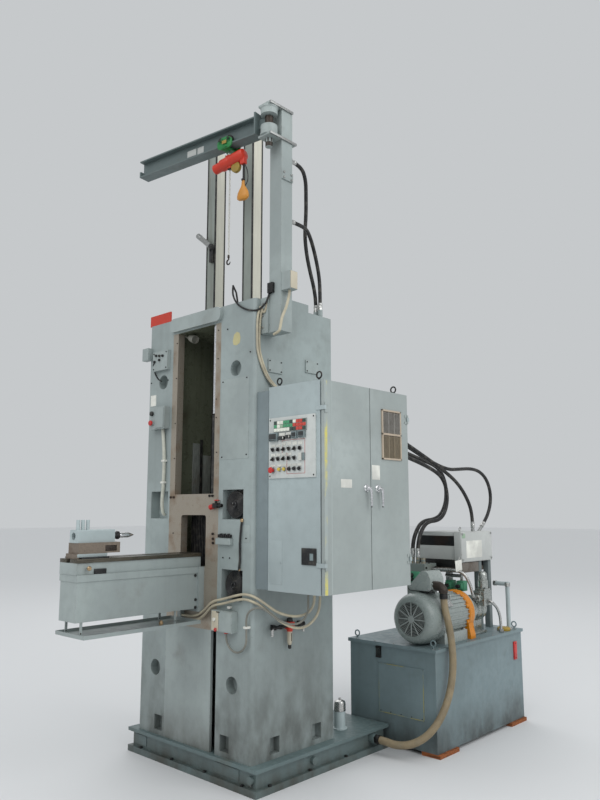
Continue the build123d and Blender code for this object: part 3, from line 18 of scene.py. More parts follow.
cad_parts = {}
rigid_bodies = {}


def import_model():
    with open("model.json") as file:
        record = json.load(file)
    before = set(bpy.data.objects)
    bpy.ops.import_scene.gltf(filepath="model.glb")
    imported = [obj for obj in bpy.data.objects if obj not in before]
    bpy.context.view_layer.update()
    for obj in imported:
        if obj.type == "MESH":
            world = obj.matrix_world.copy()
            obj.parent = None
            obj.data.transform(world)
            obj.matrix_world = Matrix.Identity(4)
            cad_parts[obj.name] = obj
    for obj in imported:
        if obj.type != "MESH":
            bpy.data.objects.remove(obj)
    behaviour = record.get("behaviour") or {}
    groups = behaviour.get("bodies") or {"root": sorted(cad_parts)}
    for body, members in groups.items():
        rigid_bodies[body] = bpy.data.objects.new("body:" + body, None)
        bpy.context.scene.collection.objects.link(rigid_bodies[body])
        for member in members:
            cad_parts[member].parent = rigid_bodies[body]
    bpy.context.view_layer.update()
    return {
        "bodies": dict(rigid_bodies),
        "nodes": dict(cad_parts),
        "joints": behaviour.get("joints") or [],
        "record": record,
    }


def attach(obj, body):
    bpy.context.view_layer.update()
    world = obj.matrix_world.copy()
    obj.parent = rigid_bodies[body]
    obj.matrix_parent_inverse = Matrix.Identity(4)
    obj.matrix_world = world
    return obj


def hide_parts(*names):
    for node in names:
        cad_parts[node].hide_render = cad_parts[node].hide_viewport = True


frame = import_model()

logging.basicConfig(level=logging.INFO, format="%(name)s: %(message)s")
LOG = logging.getLogger("roll_former")

Point = Sequence[float]
Tone = tuple[int, int, int]

CREASE = 34.0
"""Angle in degrees above which an edge stays sharp."""

SINK = 0.0004
"""How far the back of a thin plate lies inside the surface that it is on."""

TANK_TOP = 0.714
"""Height of the top of the oil tank's lid."""


class Body(Enum):
    """The rigid bodies of the machine that pieces ride on."""

    MACHINE = "machine"
    JIB = "jib"
    TROLLEY = "trolley"
    TAILSTOCK = "tailstock"
    QUILL = "quill"
    DOOR_FRONT = "door_front"
    DOOR_REAR = "door_rear"


class Head(Enum):
    """The kinds of fastener heads on the machine."""

    HEX = "hex"
    SOCKET = "socket"
    PAN = "pan"


# ---------------------------------------------------------------- colour and shader recipes


def linear(tone: Tone) -> tuple[float, float, float, float]:
    """Turns a display colour into the scene's linear one.

    Args:
        tone: red, green and blue from 0 to 255.

    Returns:
        Linear red, green, blue and an alpha of one.
    """
    parts = []
    for value in tone:
        share = value / 255.0
        parts.append(share / 12.92 if share <= 0.04045 else ((share + 0.055) / 1.055) ** 2.4)
    return (parts[0], parts[1], parts[2], 1.0)


def scaled(tone: Tone, factor: float) -> Tone:
    """A tone made lighter or darker by a factor."""
    return tuple(max(0, min(255, round(value * factor))) for value in tone)


class NodeWork:
    """Something that is built up of nodes in one tree."""

    def __init__(self, tree: bpy.types.NodeTree) -> None:
        """Takes the tree that the nodes go into."""
        self.tree = tree

    def node(self, kind: str, inputs: dict | None = None, **settings: object) -> bpy.types.Node:
        """Adds a node.

        Args:
            kind: the node's type.
            inputs: values or sockets for its inputs, by name or index.
            settings: the node's own properties.

        Returns:
            The new node.
        """
        made = self.tree.nodes.new(kind)
        for key, value in settings.items():
            setattr(made, key, value)
        for key, value in (inputs or {}).items():
            if isinstance(value, bpy.types.NodeSocket):
                self.tree.links.new(value, made.inputs[key])
            else:
                made.inputs[key].default_value = value
        return made


class Recipe(NodeWork):
    """A material under construction, around one Principled shader."""

    def __init__(self, name: str, rough: float, metal: float = 0.0) -> None:
        """Starts the material.

        Args:
            name: the material's name.
            rough: roughness of the clean surface.
            metal: one for bare metal, nought for paint and plastic.
        """
        self.material = bpy.data.materials.new(name)
        self.material.use_nodes = True
        super().__init__(self.material.node_tree)
        self.tree.nodes.clear()
        out = self.tree.nodes.new("ShaderNodeOutputMaterial")
        self.surface = self.tree.nodes.new("ShaderNodeBsdfPrincipled")
        self.tree.links.new(self.surface.outputs[0], out.inputs["Surface"])
        self.surface.inputs["Roughness"].default_value = rough
        self.surface.inputs["Metallic"].default_value = metal
        self.place = self.node("ShaderNodeTexCoord").outputs["Object"]

    def noise(self, scale: float, detail: float = 3.0, stretch: Point = (1, 1, 1),
              shift: float = 0.0) -> bpy.types.NodeSocket:
        """A cloudy pattern.

        Args:
            scale: how many clouds a metre.
            detail: how many finer layers it has.
            stretch: how much it is squeezed along each axis.
            shift: moves the pattern, so that two don't agree.

        Returns:
            The pattern's value, near 0.5.
        """
        place = self.node("ShaderNodeMapping", {"Vector": self.place,
                                                "Location": (shift, shift * 0.7, shift * 0.3),
                                                "Scale": tuple(stretch)}).outputs[0]
        return self.node("ShaderNodeTexNoise", {"Vector": place, "Scale": scale, "Detail": detail,
                                                "Roughness": 0.58}).outputs[0]

    def ramp(self, value: bpy.types.NodeSocket, low: float, high: float, first: float = 0.0,
             last: float = 1.0) -> bpy.types.NodeSocket:
        """Stretches a value between two limits to a smooth share.

        Args:
            value: what is stretched.
            low: where the result is first.
            high: where the result is last.
            first: the result below low.
            last: the result above high.

        Returns:
            The share.
        """
        return self.node("ShaderNodeMapRange", {0: value, 1: low, 2: high, 3: first, 4: last},
                         interpolation_type="SMOOTHSTEP").outputs[0]

    def maths(self, act: str, a: object, b: object) -> bpy.types.NodeSocket:
        """Works out one sum on two values."""
        return self.node("ShaderNodeMath", {0: a, 1: b}, operation=act,
                         use_clamp=act != "SUBTRACT").outputs[0]

    def blend(self, share: object, a: object, b: object, mode: str = "MIX") -> bpy.types.NodeSocket:
        """Mixes two colours.

        Args:
            share: how much of b.
            a: the first colour or socket.
            b: the second colour or socket.
            mode: how they are mixed.

        Returns:
            The mixed colour.
        """
        return self.node("ShaderNodeMix", {0: share, 6: a, 7: b}, data_type="RGBA",
                         blend_type=mode).outputs[2]

    def part(self, axis: str) -> bpy.types.NodeSocket:
        """One coordinate of the place on the machine, in metres."""
        return self.node("ShaderNodeSeparateXYZ", {0: self.place}).outputs[axis]

    def normal(self, axis: str) -> bpy.types.NodeSocket:
        """One component of the surface's direction."""
        facing = self.node("ShaderNodeNewGeometry").outputs["Normal"]
        return self.node("ShaderNodeSeparateXYZ", {0: facing}).outputs[axis]

    def edges(self, width: float) -> bpy.types.NodeSocket:
        """Finds the edges of a piece.

        Args:
            width: how far an edge's wear reaches.

        Returns:
            A share of one on edges and nought on flats.
        """
        soft = self.node("ShaderNodeBevel", {0: width}, samples=4).outputs[0]
        hard = self.node("ShaderNodeNewGeometry").outputs["Normal"]
        same = self.node("ShaderNodeVectorMath", {0: soft, 1: hard},
                         operation="DOT_PRODUCT").outputs["Value"]
        return self.ramp(same, 0.985, 0.90)

    def bump(self, height: bpy.types.NodeSocket, depth: float, strength: float = 0.6) -> None:
        """Gives the surface a fine relief."""
        made = self.node("ShaderNodeBump", {"Height": height, "Distance": depth, "Strength": strength})
        self.tree.links.new(made.outputs[0], self.surface.inputs["Normal"])

    def use(self, socket: str, value: object) -> None:
        """Sets or links one socket of the shader."""
        if isinstance(value, bpy.types.NodeSocket):
            self.tree.links.new(value, self.surface.inputs[socket])
        else:
            self.surface.inputs[socket].default_value = value


@dataclass(frozen=True)
class Paint:
    """Enamel that has aged in a workshop: oil haze, runs, dust low down and chipped edges."""

    name: str
    tone: Tone
    sheen: float = 0.42
    haze: float = 0.22
    runs: float = 0.25
    chips: float = 0.5
    foot: float = 0.0
    soil: Tone = (92, 84, 66)
    bare: Tone = (96, 90, 80)
    relief: float = 0.0006

    def material(self) -> bpy.types.Material:
        """Builds the paint.

        Returns:
            The finished material.
        """
        mix = Recipe(self.name, self.sheen)
        base = mix.blend(mix.ramp(mix.noise(1.3, 2.0), 0.35, 0.68), linear(scaled(self.tone, 0.94)),
                         linear(scaled(self.tone, 1.05)))
        base = mix.blend(mix.ramp(mix.noise(16.0, 4.0, shift=3.1), 0.38, 0.72, 0.0, 0.35), base,
                         linear(scaled(self.tone, 0.9)))
        streak = mix.ramp(mix.noise(9.0, 5.0, (2.2, 2.2, 0.12), 5.0), 0.5, 0.85, 0.0, self.runs)
        base = mix.blend(streak, base, linear(self.soil))
        cloud = mix.ramp(mix.noise(4.0, 6.0, shift=9.0), 0.55, 0.8, 0.0, self.haze)
        base = mix.blend(cloud, base, linear(self.soil))
        spots = mix.ramp(mix.noise(85.0, 2.0, shift=12.0), 0.70, 0.78, 0.0, 0.45 * self.haze + 0.05)
        base = mix.blend(spots, base, linear(scaled(self.soil, 0.7)))
        if self.foot:
            low = mix.ramp(mix.part("Z"), self.foot, 0.0)
            grime = mix.maths("MULTIPLY", low, mix.ramp(mix.noise(7.0, 6.0, (1, 1, 0.5), 2.0), 0.3, 0.7,
                                                        0.25, 0.85))
            base = mix.blend(grime, base, linear(scaled(self.soil, 0.62)))
        worn = mix.maths("MULTIPLY", mix.edges(0.004),
                         mix.ramp(mix.noise(38.0, 5.0, shift=7.0), 0.5, 0.62, 0.0, self.chips))
        base = mix.blend(worn, base, linear(self.bare))
        mix.use("Base Color", base)
        rough = mix.ramp(mix.noise(22.0, 4.0, shift=1.0), 0.3, 0.7, self.sheen - 0.07, self.sheen + 0.12)
        mix.use("Roughness", mix.maths("ADD", rough, mix.maths("MULTIPLY", cloud, 0.3)))
        mix.bump(mix.noise(120.0, 3.0, shift=4.0), self.relief)
        return mix.material


@dataclass(frozen=True)
class Stripe:
    """A painted line that has rubbed away in patches down to the enamel under it."""

    name: str
    tone: Tone
    under: Tone
    kept: float = 0.5
    foot: float = 0.0

    def material(self) -> bpy.types.Material:
        """Builds the line.

        Returns:
            The finished material.
        """
        mix = Recipe(self.name, 0.42)
        patches = mix.noise(5.0, 6.0, (1.0, 1.0, 0.45), 3.0)
        left = mix.ramp(patches, 0.62 - 0.3 * self.kept, 0.74 - 0.3 * self.kept)
        if self.foot:
            low = mix.ramp(mix.part("Z"), self.foot, self.foot - 0.14, 0.0, 0.92)
            left = mix.maths("MAXIMUM", left, low)
        fine = mix.ramp(mix.noise(60.0, 3.0, shift=8.0), 0.34, 0.5, 0.35, 1.0)
        base = mix.blend(mix.maths("MULTIPLY", left, fine), linear(self.under), linear(self.tone))
        mix.use("Base Color", base)
        mix.use("Roughness", mix.ramp(patches, 0.3, 0.7, 0.36, 0.5))
        mix.bump(mix.noise(120.0, 3.0, shift=4.0), 0.0004)
        return mix.material


@dataclass(frozen=True)
class Bare:
    """Machined, rolled or plated metal with oil film, rust bloom and a grain along one way."""

    name: str
    tone: Tone
    sheen: float = 0.32
    rust: float = 0.3
    stain: Tone = (112, 74, 42)
    grain: tuple[float, float, float] = (1.0, 1.0, 1.0)
    metal: float = 1.0
    relief: float = 0.0003
    worn: float = 0.0
    brush: float = 0.11

    def material(self) -> bpy.types.Material:
        """Builds the metal.

        Returns:
            The finished material.
        """
        mix = Recipe(self.name, self.sheen, self.metal)
        brushed = mix.noise(140.0, 4.0, self.grain)
        base = mix.blend(mix.ramp(brushed, 0.35, 0.65), linear(scaled(self.tone, 1.0 - self.brush)),
                         linear(scaled(self.tone, 1.0 + self.brush * 0.7)))
        bloom = mix.ramp(mix.noise(6.0, 7.0, shift=2.0), 0.5, 0.72, 0.0, self.rust)
        base = mix.blend(bloom, base, linear(self.stain))
        pits = mix.ramp(mix.noise(70.0, 4.0, shift=6.0), 0.6, 0.72, 0.0, self.rust)
        base = mix.blend(pits, base, linear(scaled(self.stain, 0.6)))
        if self.worn:
            rub = mix.maths("MULTIPLY", mix.edges(0.003), self.worn)
            base = mix.blend(rub, base, linear((206, 206, 204)))
        mix.use("Base Color", base)
        if self.metal > 0.5:
            mix.use("Metallic", mix.maths("SUBTRACT", 1.0, mix.maths("MULTIPLY", bloom, 0.8)))
        rough = mix.ramp(brushed, 0.3, 0.7, self.sheen - 0.08, self.sheen + 0.1)
        mix.use("Roughness", mix.maths("ADD", rough, mix.maths("MULTIPLY", bloom, 0.4)))
        mix.bump(brushed, self.relief)
        return mix.material


@dataclass(frozen=True)
class Moulded:
    """Plastic or rubber with dust in its fine grain."""

    name: str
    tone: Tone
    sheen: float = 0.45
    dust: float = 0.18
    grit: float = 220.0
    relief: float = 0.0002
    coat: float = 0.0

    def material(self) -> bpy.types.Material:
        """Builds the plastic.

        Returns:
            The finished material.
        """
        mix = Recipe(self.name, self.sheen)
        base = mix.blend(mix.ramp(mix.noise(9.0, 3.0), 0.35, 0.7), linear(scaled(self.tone, 0.93)),
                         linear(scaled(self.tone, 1.07)))
        film = mix.ramp(mix.noise(26.0, 6.0, shift=4.0), 0.45, 0.75, 0.0, self.dust)
        base = mix.blend(film, base, linear((140, 134, 120)))
        mix.use("Base Color", base)
        mix.use("Roughness", mix.ramp(mix.noise(40.0, 4.0, shift=2.0), 0.3, 0.7, self.sheen - 0.06,
                                      self.sheen + 0.14))
        if self.coat:
            mix.use("Coat Weight", self.coat)
        mix.bump(mix.noise(self.grit, 2.0, shift=8.0), self.relief)
        return mix.material


@dataclass(frozen=True)
class Timber:
    """Rough sawn bearer wood with rings, soaked with oil."""

    name: str
    tone: Tone = (150, 96, 52)

    def material(self) -> bpy.types.Material:
        """Builds the wood.

        Returns:
            The finished material.
        """
        mix = Recipe(self.name, 0.82)
        fibre = mix.noise(30.0, 6.0, (0.25, 3.0, 3.0))
        base = mix.blend(mix.ramp(fibre, 0.3, 0.7), linear(scaled(self.tone, 0.62)),
                         linear(scaled(self.tone, 1.12)))
        soak = mix.ramp(mix.noise(7.0, 5.0, shift=5.0), 0.45, 0.7, 0.0, 0.6)
        base = mix.blend(soak, base, linear((46, 38, 30)))
        mix.use("Base Color", base)
        mix.bump(fibre, 0.002, 0.8)
        return mix.material


@dataclass(frozen=True)
class Lens:
    """A small signal lens that glows a little."""

    name: str
    tone: Tone
    glow: float = 0.0

    def material(self) -> bpy.types.Material:
        """Builds the lens.

        Returns:
            The finished material.
        """
        mix = Recipe(self.name, 0.22)
        cells = mix.noise(300.0, 1.0)
        mix.use("Base Color", mix.blend(mix.ramp(cells, 0.3, 0.7), linear(scaled(self.tone, 0.8)),
                                        linear(scaled(self.tone, 1.1))))
        mix.use("Coat Weight", 0.5)
        if self.glow:
            mix.use("Emission Color", linear(self.tone))
            mix.use("Emission Strength", self.glow)
        return mix.material


@dataclass(frozen=True)
class PostLitAndShadedSides:
    """Guide posts: ground faces with dark streaks, painted cream on the side facing +X for the light that
    falls on it and grey elsewhere for shade.
    """

    name: str
    # The painted grey of the shaded faces and the painted cream of the lit face.
    grey: Tone = (146, 153, 146)
    cream: Tone = (208, 206, 192)

    def material(self) -> bpy.types.Material:
        """Builds the finish with its painted lit side and painted shaded sides.

        Returns:
            The finished material.
        """
        mix = Recipe(self.name, 0.4)
        # Painted light and shade: faces turned to +X take the lit cream, all others the shaded grey.
        lit_flank = mix.ramp(mix.normal("X"), 0.6, 0.8)
        grain = mix.noise(60.0, 4.0, (3, 3, 0.08))
        cream = mix.blend(mix.ramp(grain, 0.35, 0.7), linear(scaled(self.cream, 0.95)), linear(self.cream))
        grey = mix.blend(mix.ramp(mix.noise(3.0, 5.0, (1, 1, 0.4)), 0.35, 0.7), linear(self.grey),
                         linear(scaled(self.grey, 0.84)))
        stain = mix.ramp(mix.noise(7.0, 6.0, (2, 2, 0.15), 4.0), 0.56, 0.8, 0.0, 0.3)
        base = mix.blend(stain, mix.blend(lit_flank, grey, cream), linear((92, 78, 56)))
        mix.use("Base Color", base)
        mix.use("Roughness", mix.ramp(grain, 0.3, 0.7, 0.3, 0.5))
        mix.bump(grain, 0.0003)
        return mix.material


MACHINE_PAINT = Paint("machine_paint", (150, 160, 158), haze=0.3, runs=0.12, foot=0.5)
COLUMN_PAINT = Paint("column_paint", (148, 158, 157), haze=0.3, runs=0.14, foot=1.15, soil=(88, 90, 80))
CABINET_PAINT = Paint("cabinet_paint", (166, 178, 179), sheen=0.38, haze=0.12, runs=0.06, chips=0.35)
DOOR_PAINT = Paint("door_paint", (157, 166, 164), sheen=0.38, haze=0.12, runs=0.05, chips=0.35)
# Painted shade: the spacer's paint is darker than the cabinet's to stand for the shadow that lies on it
# beside the column.
SHADED_SPACER_PAINT = Paint("spacer_paint", (122, 134, 137), haze=0.25, runs=0.12)
PEDESTAL_PAINT = Paint("pedestal_paint", (98, 116, 117), haze=0.45, runs=0.12, foot=0.2)
JIB_PAINT = Paint("jib_paint", (92, 105, 105), haze=0.3, runs=0.08, chips=0.6)
TANK_PAINT = Paint("tank_paint", (112, 129, 132), haze=0.3, runs=0.15, foot=0.35, soil=(70, 66, 56))
MOTOR_PAINT = Paint("motor_paint", (150, 158, 155), sheen=0.26, haze=0.3, runs=0.05)
WHITE_PAINT = Paint("white_paint", (184, 187, 184), haze=0.15, runs=0.06)
CREAM_PAINT = Paint("cream_paint", (190, 182, 162), haze=0.3, runs=0.1)
RED_PAINT = Paint("red_paint", (198, 50, 26), sheen=0.36, haze=0.12, runs=0.06, chips=0.3)
ORANGE_PAINT = Paint("orange_paint", (208, 128, 8), sheen=0.3, haze=0.2, runs=0.06)
HOOK_PAINT = Paint("hook_paint", (196, 132, 46), haze=0.4, runs=0.1)
GREEN_PAINT = Paint("green_paint", (18, 122, 56), sheen=0.34, haze=0.2, runs=0.06)
VALVE_PAINT = Paint("valve_paint", (78, 148, 114), haze=0.25, runs=0.08)
PANEL_PAINT = Paint("panel_plate", (192, 196, 193), sheen=0.36, haze=0.1, runs=0.05, chips=0.2)
MACHINED = Bare("machined_steel", (158, 149, 136), sheen=0.38, rust=0.5, stain=(120, 88, 58), metal=0.45,
                brush=0.03)
SADDLE = Bare("rusty_casting", (128, 116, 104), sheen=0.46, rust=0.55, stain=(86, 58, 36), metal=0.4,
              brush=0.06)
# Partly oil and partly painted shade: the dark tone also stands for the little light deep inside the
# column's opening.
OILY_SHADED_WALL = Paint("oily_wall", (100, 104, 88), sheen=0.3, haze=0.7, runs=0.6, soil=(58, 47, 28))
DARK_STEEL = Bare("dark_steel", (66, 66, 66), sheen=0.42, rust=0.25, metal=0.7)
BRIGHT_STEEL = Bare("bright_steel", (190, 190, 188), sheen=0.26, rust=0.08)
GALVANISED = Bare("galvanised_steel", (168, 170, 168), sheen=0.4, rust=0.12)
CHROME = Bare("chrome_trim", (224, 224, 226), sheen=0.14, rust=0.04, relief=0.0)
BRASS = Bare("brass", (184, 158, 124), sheen=0.34, rust=0.3, stain=(84, 64, 36))
SEALANT = Paint("old_sealant", (186, 178, 132), haze=0.5, runs=0.3, soil=(140, 128, 84))
BLACK_PLASTIC = Moulded("black_plastic", (26, 26, 28), sheen=0.38)
RED_PLASTIC = Moulded("red_plastic", (186, 34, 30), sheen=0.3, dust=0.08, coat=0.2)
WHITE_PLASTIC = Moulded("white_plastic", (214, 214, 206), sheen=0.35, dust=0.1)
RELAY_PLASTIC = Moulded("relay_plastic", (206, 202, 188), dust=0.1)
RUBBER = Moulded("black_rubber", (24, 24, 25), sheen=0.5, dust=0.22, relief=0.0004)
CREAM_CABLE = Moulded("cream_cable", (176, 168, 146), sheen=0.5, dust=0.25)
PALE_CABLE = Moulded("pale_conduit", (186, 188, 176), sheen=0.45, dust=0.2)
GREY_CABLE = Moulded("grey_cable", (120, 120, 112), sheen=0.5, dust=0.2)
TAN_CONDUIT = Moulded("tan_conduit", (136, 122, 96), sheen=0.48, dust=0.3, relief=0.0006)
GLASS_DARK = Moulded("display_window", (20, 26, 26), sheen=0.12, dust=0.04, coat=0.8)
WEAR_PLATE = Bare("wear_plate", (142, 146, 142), sheen=0.45, rust=0.35, metal=0.3, grain=(1, 1, 0.1))
TROLLEY_WHEEL = Bare("trolley_wheel", (46, 46, 44), sheen=0.4, rust=0.25, metal=0.5)
METER_CASE = Moulded("meter_case", (120, 134, 136), sheen=0.34, dust=0.15)
YELLOW_PLASTIC = Moulded("yellow_plastic", (214, 190, 84), sheen=0.3, dust=0.08)
BROWN_STEEL = Bare("brown_steel", (58, 50, 44), sheen=0.42, rust=0.4, stain=(66, 46, 32), metal=0.4)
FINS = Bare("cooler_fins", (86, 86, 88), sheen=0.42, rust=0.25, metal=0.6)
VENT_FRAME = Paint("vent_frame", (188, 172, 152), haze=0.4, runs=0.2)
VENT_GREY = Paint("vent_grey", (160, 156, 150), haze=0.3, runs=0.2)
VENT_BROWN = Paint("vent_brown", (154, 142, 120), haze=0.5, runs=0.4)
FADED_STRIPE = Stripe("faded_stripe", (206, 196, 96), (157, 166, 164), 0.55, 1.36)
FAINT_STRIPE = Stripe("faint_stripe", (184, 182, 130), (157, 166, 164), 0.2)
OLD_YELLOW = Stripe("old_yellow_edge", (150, 146, 92), (112, 129, 132), 0.6)
YELLOW_BROWN = Paint("yellow_brown", (156, 130, 48), haze=0.5, runs=0.3)
PALE_GREEN = Paint("pale_green", (150, 176, 150), haze=0.2)
LAMP_FRAME = Moulded("lamp_frame_grey", (150, 156, 154), sheen=0.36, dust=0.12)
VENT_SHADE = Paint("vent_shade", (104, 98, 90), haze=0.3, runs=0.2)
BLACK_ENAMEL = Paint("black_enamel", (36, 37, 37), sheen=0.4, haze=0.25, runs=0.1)
CHAIN_STEEL = Bare("chain_steel", (206, 204, 196), sheen=0.34, rust=0.12, metal=0.5)
CAST_ALUMINIUM = Bare("cast_aluminium", (178, 182, 178), sheen=0.28, rust=0.15, stain=(96, 88, 74),
                      metal=0.55)
RAIL_STEEL = Bare("mottled_rail", (112, 106, 98), sheen=0.5, rust=0.6, stain=(72, 58, 44), metal=0.2)
COWL_PAINT = Paint("cowl_paint", (132, 141, 138), sheen=0.26, haze=0.3, runs=0.05)
SPOKE_PAINT = Paint("cowl_spokes", (150, 157, 154), sheen=0.34, haze=0.3, runs=0.05)
LEG_PAINT = Paint("leg_grey", (104, 114, 114), haze=0.35, runs=0.08)
MANIFOLD_PAINT = Paint("manifold_grey", (118, 128, 124), haze=0.35, runs=0.08)
# Partly oil and partly painted shadow: the rail's dark tone also stands for the shadow along the top edge
# of the ways.
OILY_SHADED_RAIL = Bare("oily_rail", (84, 80, 70), sheen=0.3, rust=0.4, stain=(56, 46, 34), metal=0.5,
                 grain=(1, 0.06, 1))
WOOD = Timber("bearer_wood", (148, 84, 40))
# Painted light and shade on the guide posts: a lit cream side and shaded grey sides.
GUIDE_LIT_AND_SHADED = PostLitAndShadedSides("guide_post_sides")
LENS_WHITE = Lens("lens_white", (222, 224, 212), 0.12)
LENS_GREEN = Lens("lens_green", (66, 146, 104), 0.08)
LENS_RED = Lens("lens_red", (188, 62, 50), 0.12)
LENS_DARK = Lens("lens_dark", (44, 66, 58), 0.02)
LENS_PALE = Lens("lens_pale", (150, 176, 150), 0.08)

Finish = Paint | Stripe | Bare | Moulded | Timber | Lens | PostLitAndShadedSides

# Finishes of the record's solids that stay in view, by the solids' names.
"""Material slots of the record, each with the finishes that belong to it but have a look of their own."""

NODE_FINISH: dict[str, Finish] = {
    "cabinet_body": CABINET_PAINT,
    "cabinet_door_front": DOOR_PAINT,
    "cabinet_door_rear": DOOR_PAINT,
    "cabinet_spacer": SHADED_SPACER_PAINT,
    "cabinet_switchgear": RELAY_PLASTIC,
    "column_body": COLUMN_PAINT,
    "cover_plates": MACHINE_PAINT,
    "drip_tray": MACHINE_PAINT,
    "guide_posts": GUIDE_LIT_AND_SHADED,
    "jib_arm": JIB_PAINT,
    "jib_post": MACHINE_PAINT,
    "lifting_eyes": DARK_STEEL,
    "machined_face": MACHINED,
    "motor_body": MOTOR_PAINT,
    "name_board": RED_PAINT,
    "oil_tank": TANK_PAINT,
    "pedestal": PEDESTAL_PAINT,
    "suction_pipe": CABINET_PAINT,
    "switch_boxes": MACHINE_PAINT,
    "tailstock_head": CABINET_PAINT,
    "tailstock_saddle": SADDLE,
    "tank_bearers": WOOD,
    "tank_covers": TANK_PAINT,
    "valve_manifold": MANIFOLD_PAINT,
    "work_bed": MACHINE_PAINT,
}

_BUILT: dict[str, bpy.types.Material] = {}


def dressed(finish: Finish) -> bpy.types.Material:
    """The material of a finish, built the first time it is asked for."""
    if finish.name not in _BUILT:
        _BUILT[finish.name] = finish.material()
    return _BUILT[finish.name]


# ---------------------------------------------------------------- mesh shapes


def standing(start: Point, along: Point) -> Matrix:
    """A frame at a point whose Z runs along a direction."""
    turn = Vector((0, 0, 1)).rotation_difference(Vector(along).normalized()).to_matrix().to_4x4()
    return Matrix.Translation(Vector(start)) @ turn


def put(name: str, data: bpy.types.ID) -> bpy.types.Object:
    """Makes an object of a mesh, curve, lamp or camera, and puts it in the scene."""
    made = bpy.data.objects.new(name, data)
    bpy.context.scene.collection.objects.link(made)
    return made


def facing_front(x: float, y: float) -> Matrix:
    """A frame with the machine's own X, whose Y is up and whose Z faces the front."""
    return Matrix(((1, 0, 0, x), (0, 0, -1, y), (0, 1, 0, 0), (0, 0, 0, 1)))


def hoop(middle: Point, radius: float, count: int, shift: float = 0.0) -> list[tuple[float, float, float]]:
    """Points on an upright circle that faces the front.

    Args:
        middle: its middle.
        radius: its radius.
        count: how many points it has.
        shift: by what share of a step the first one is turned.

    Returns:
        The points in order.
    """
    x, y, z = middle
    turns = [math.tau * (i + shift) / count for i in range(count)]
    return [(x + radius * math.cos(a), y, z + radius * math.sin(a)) for a in turns]


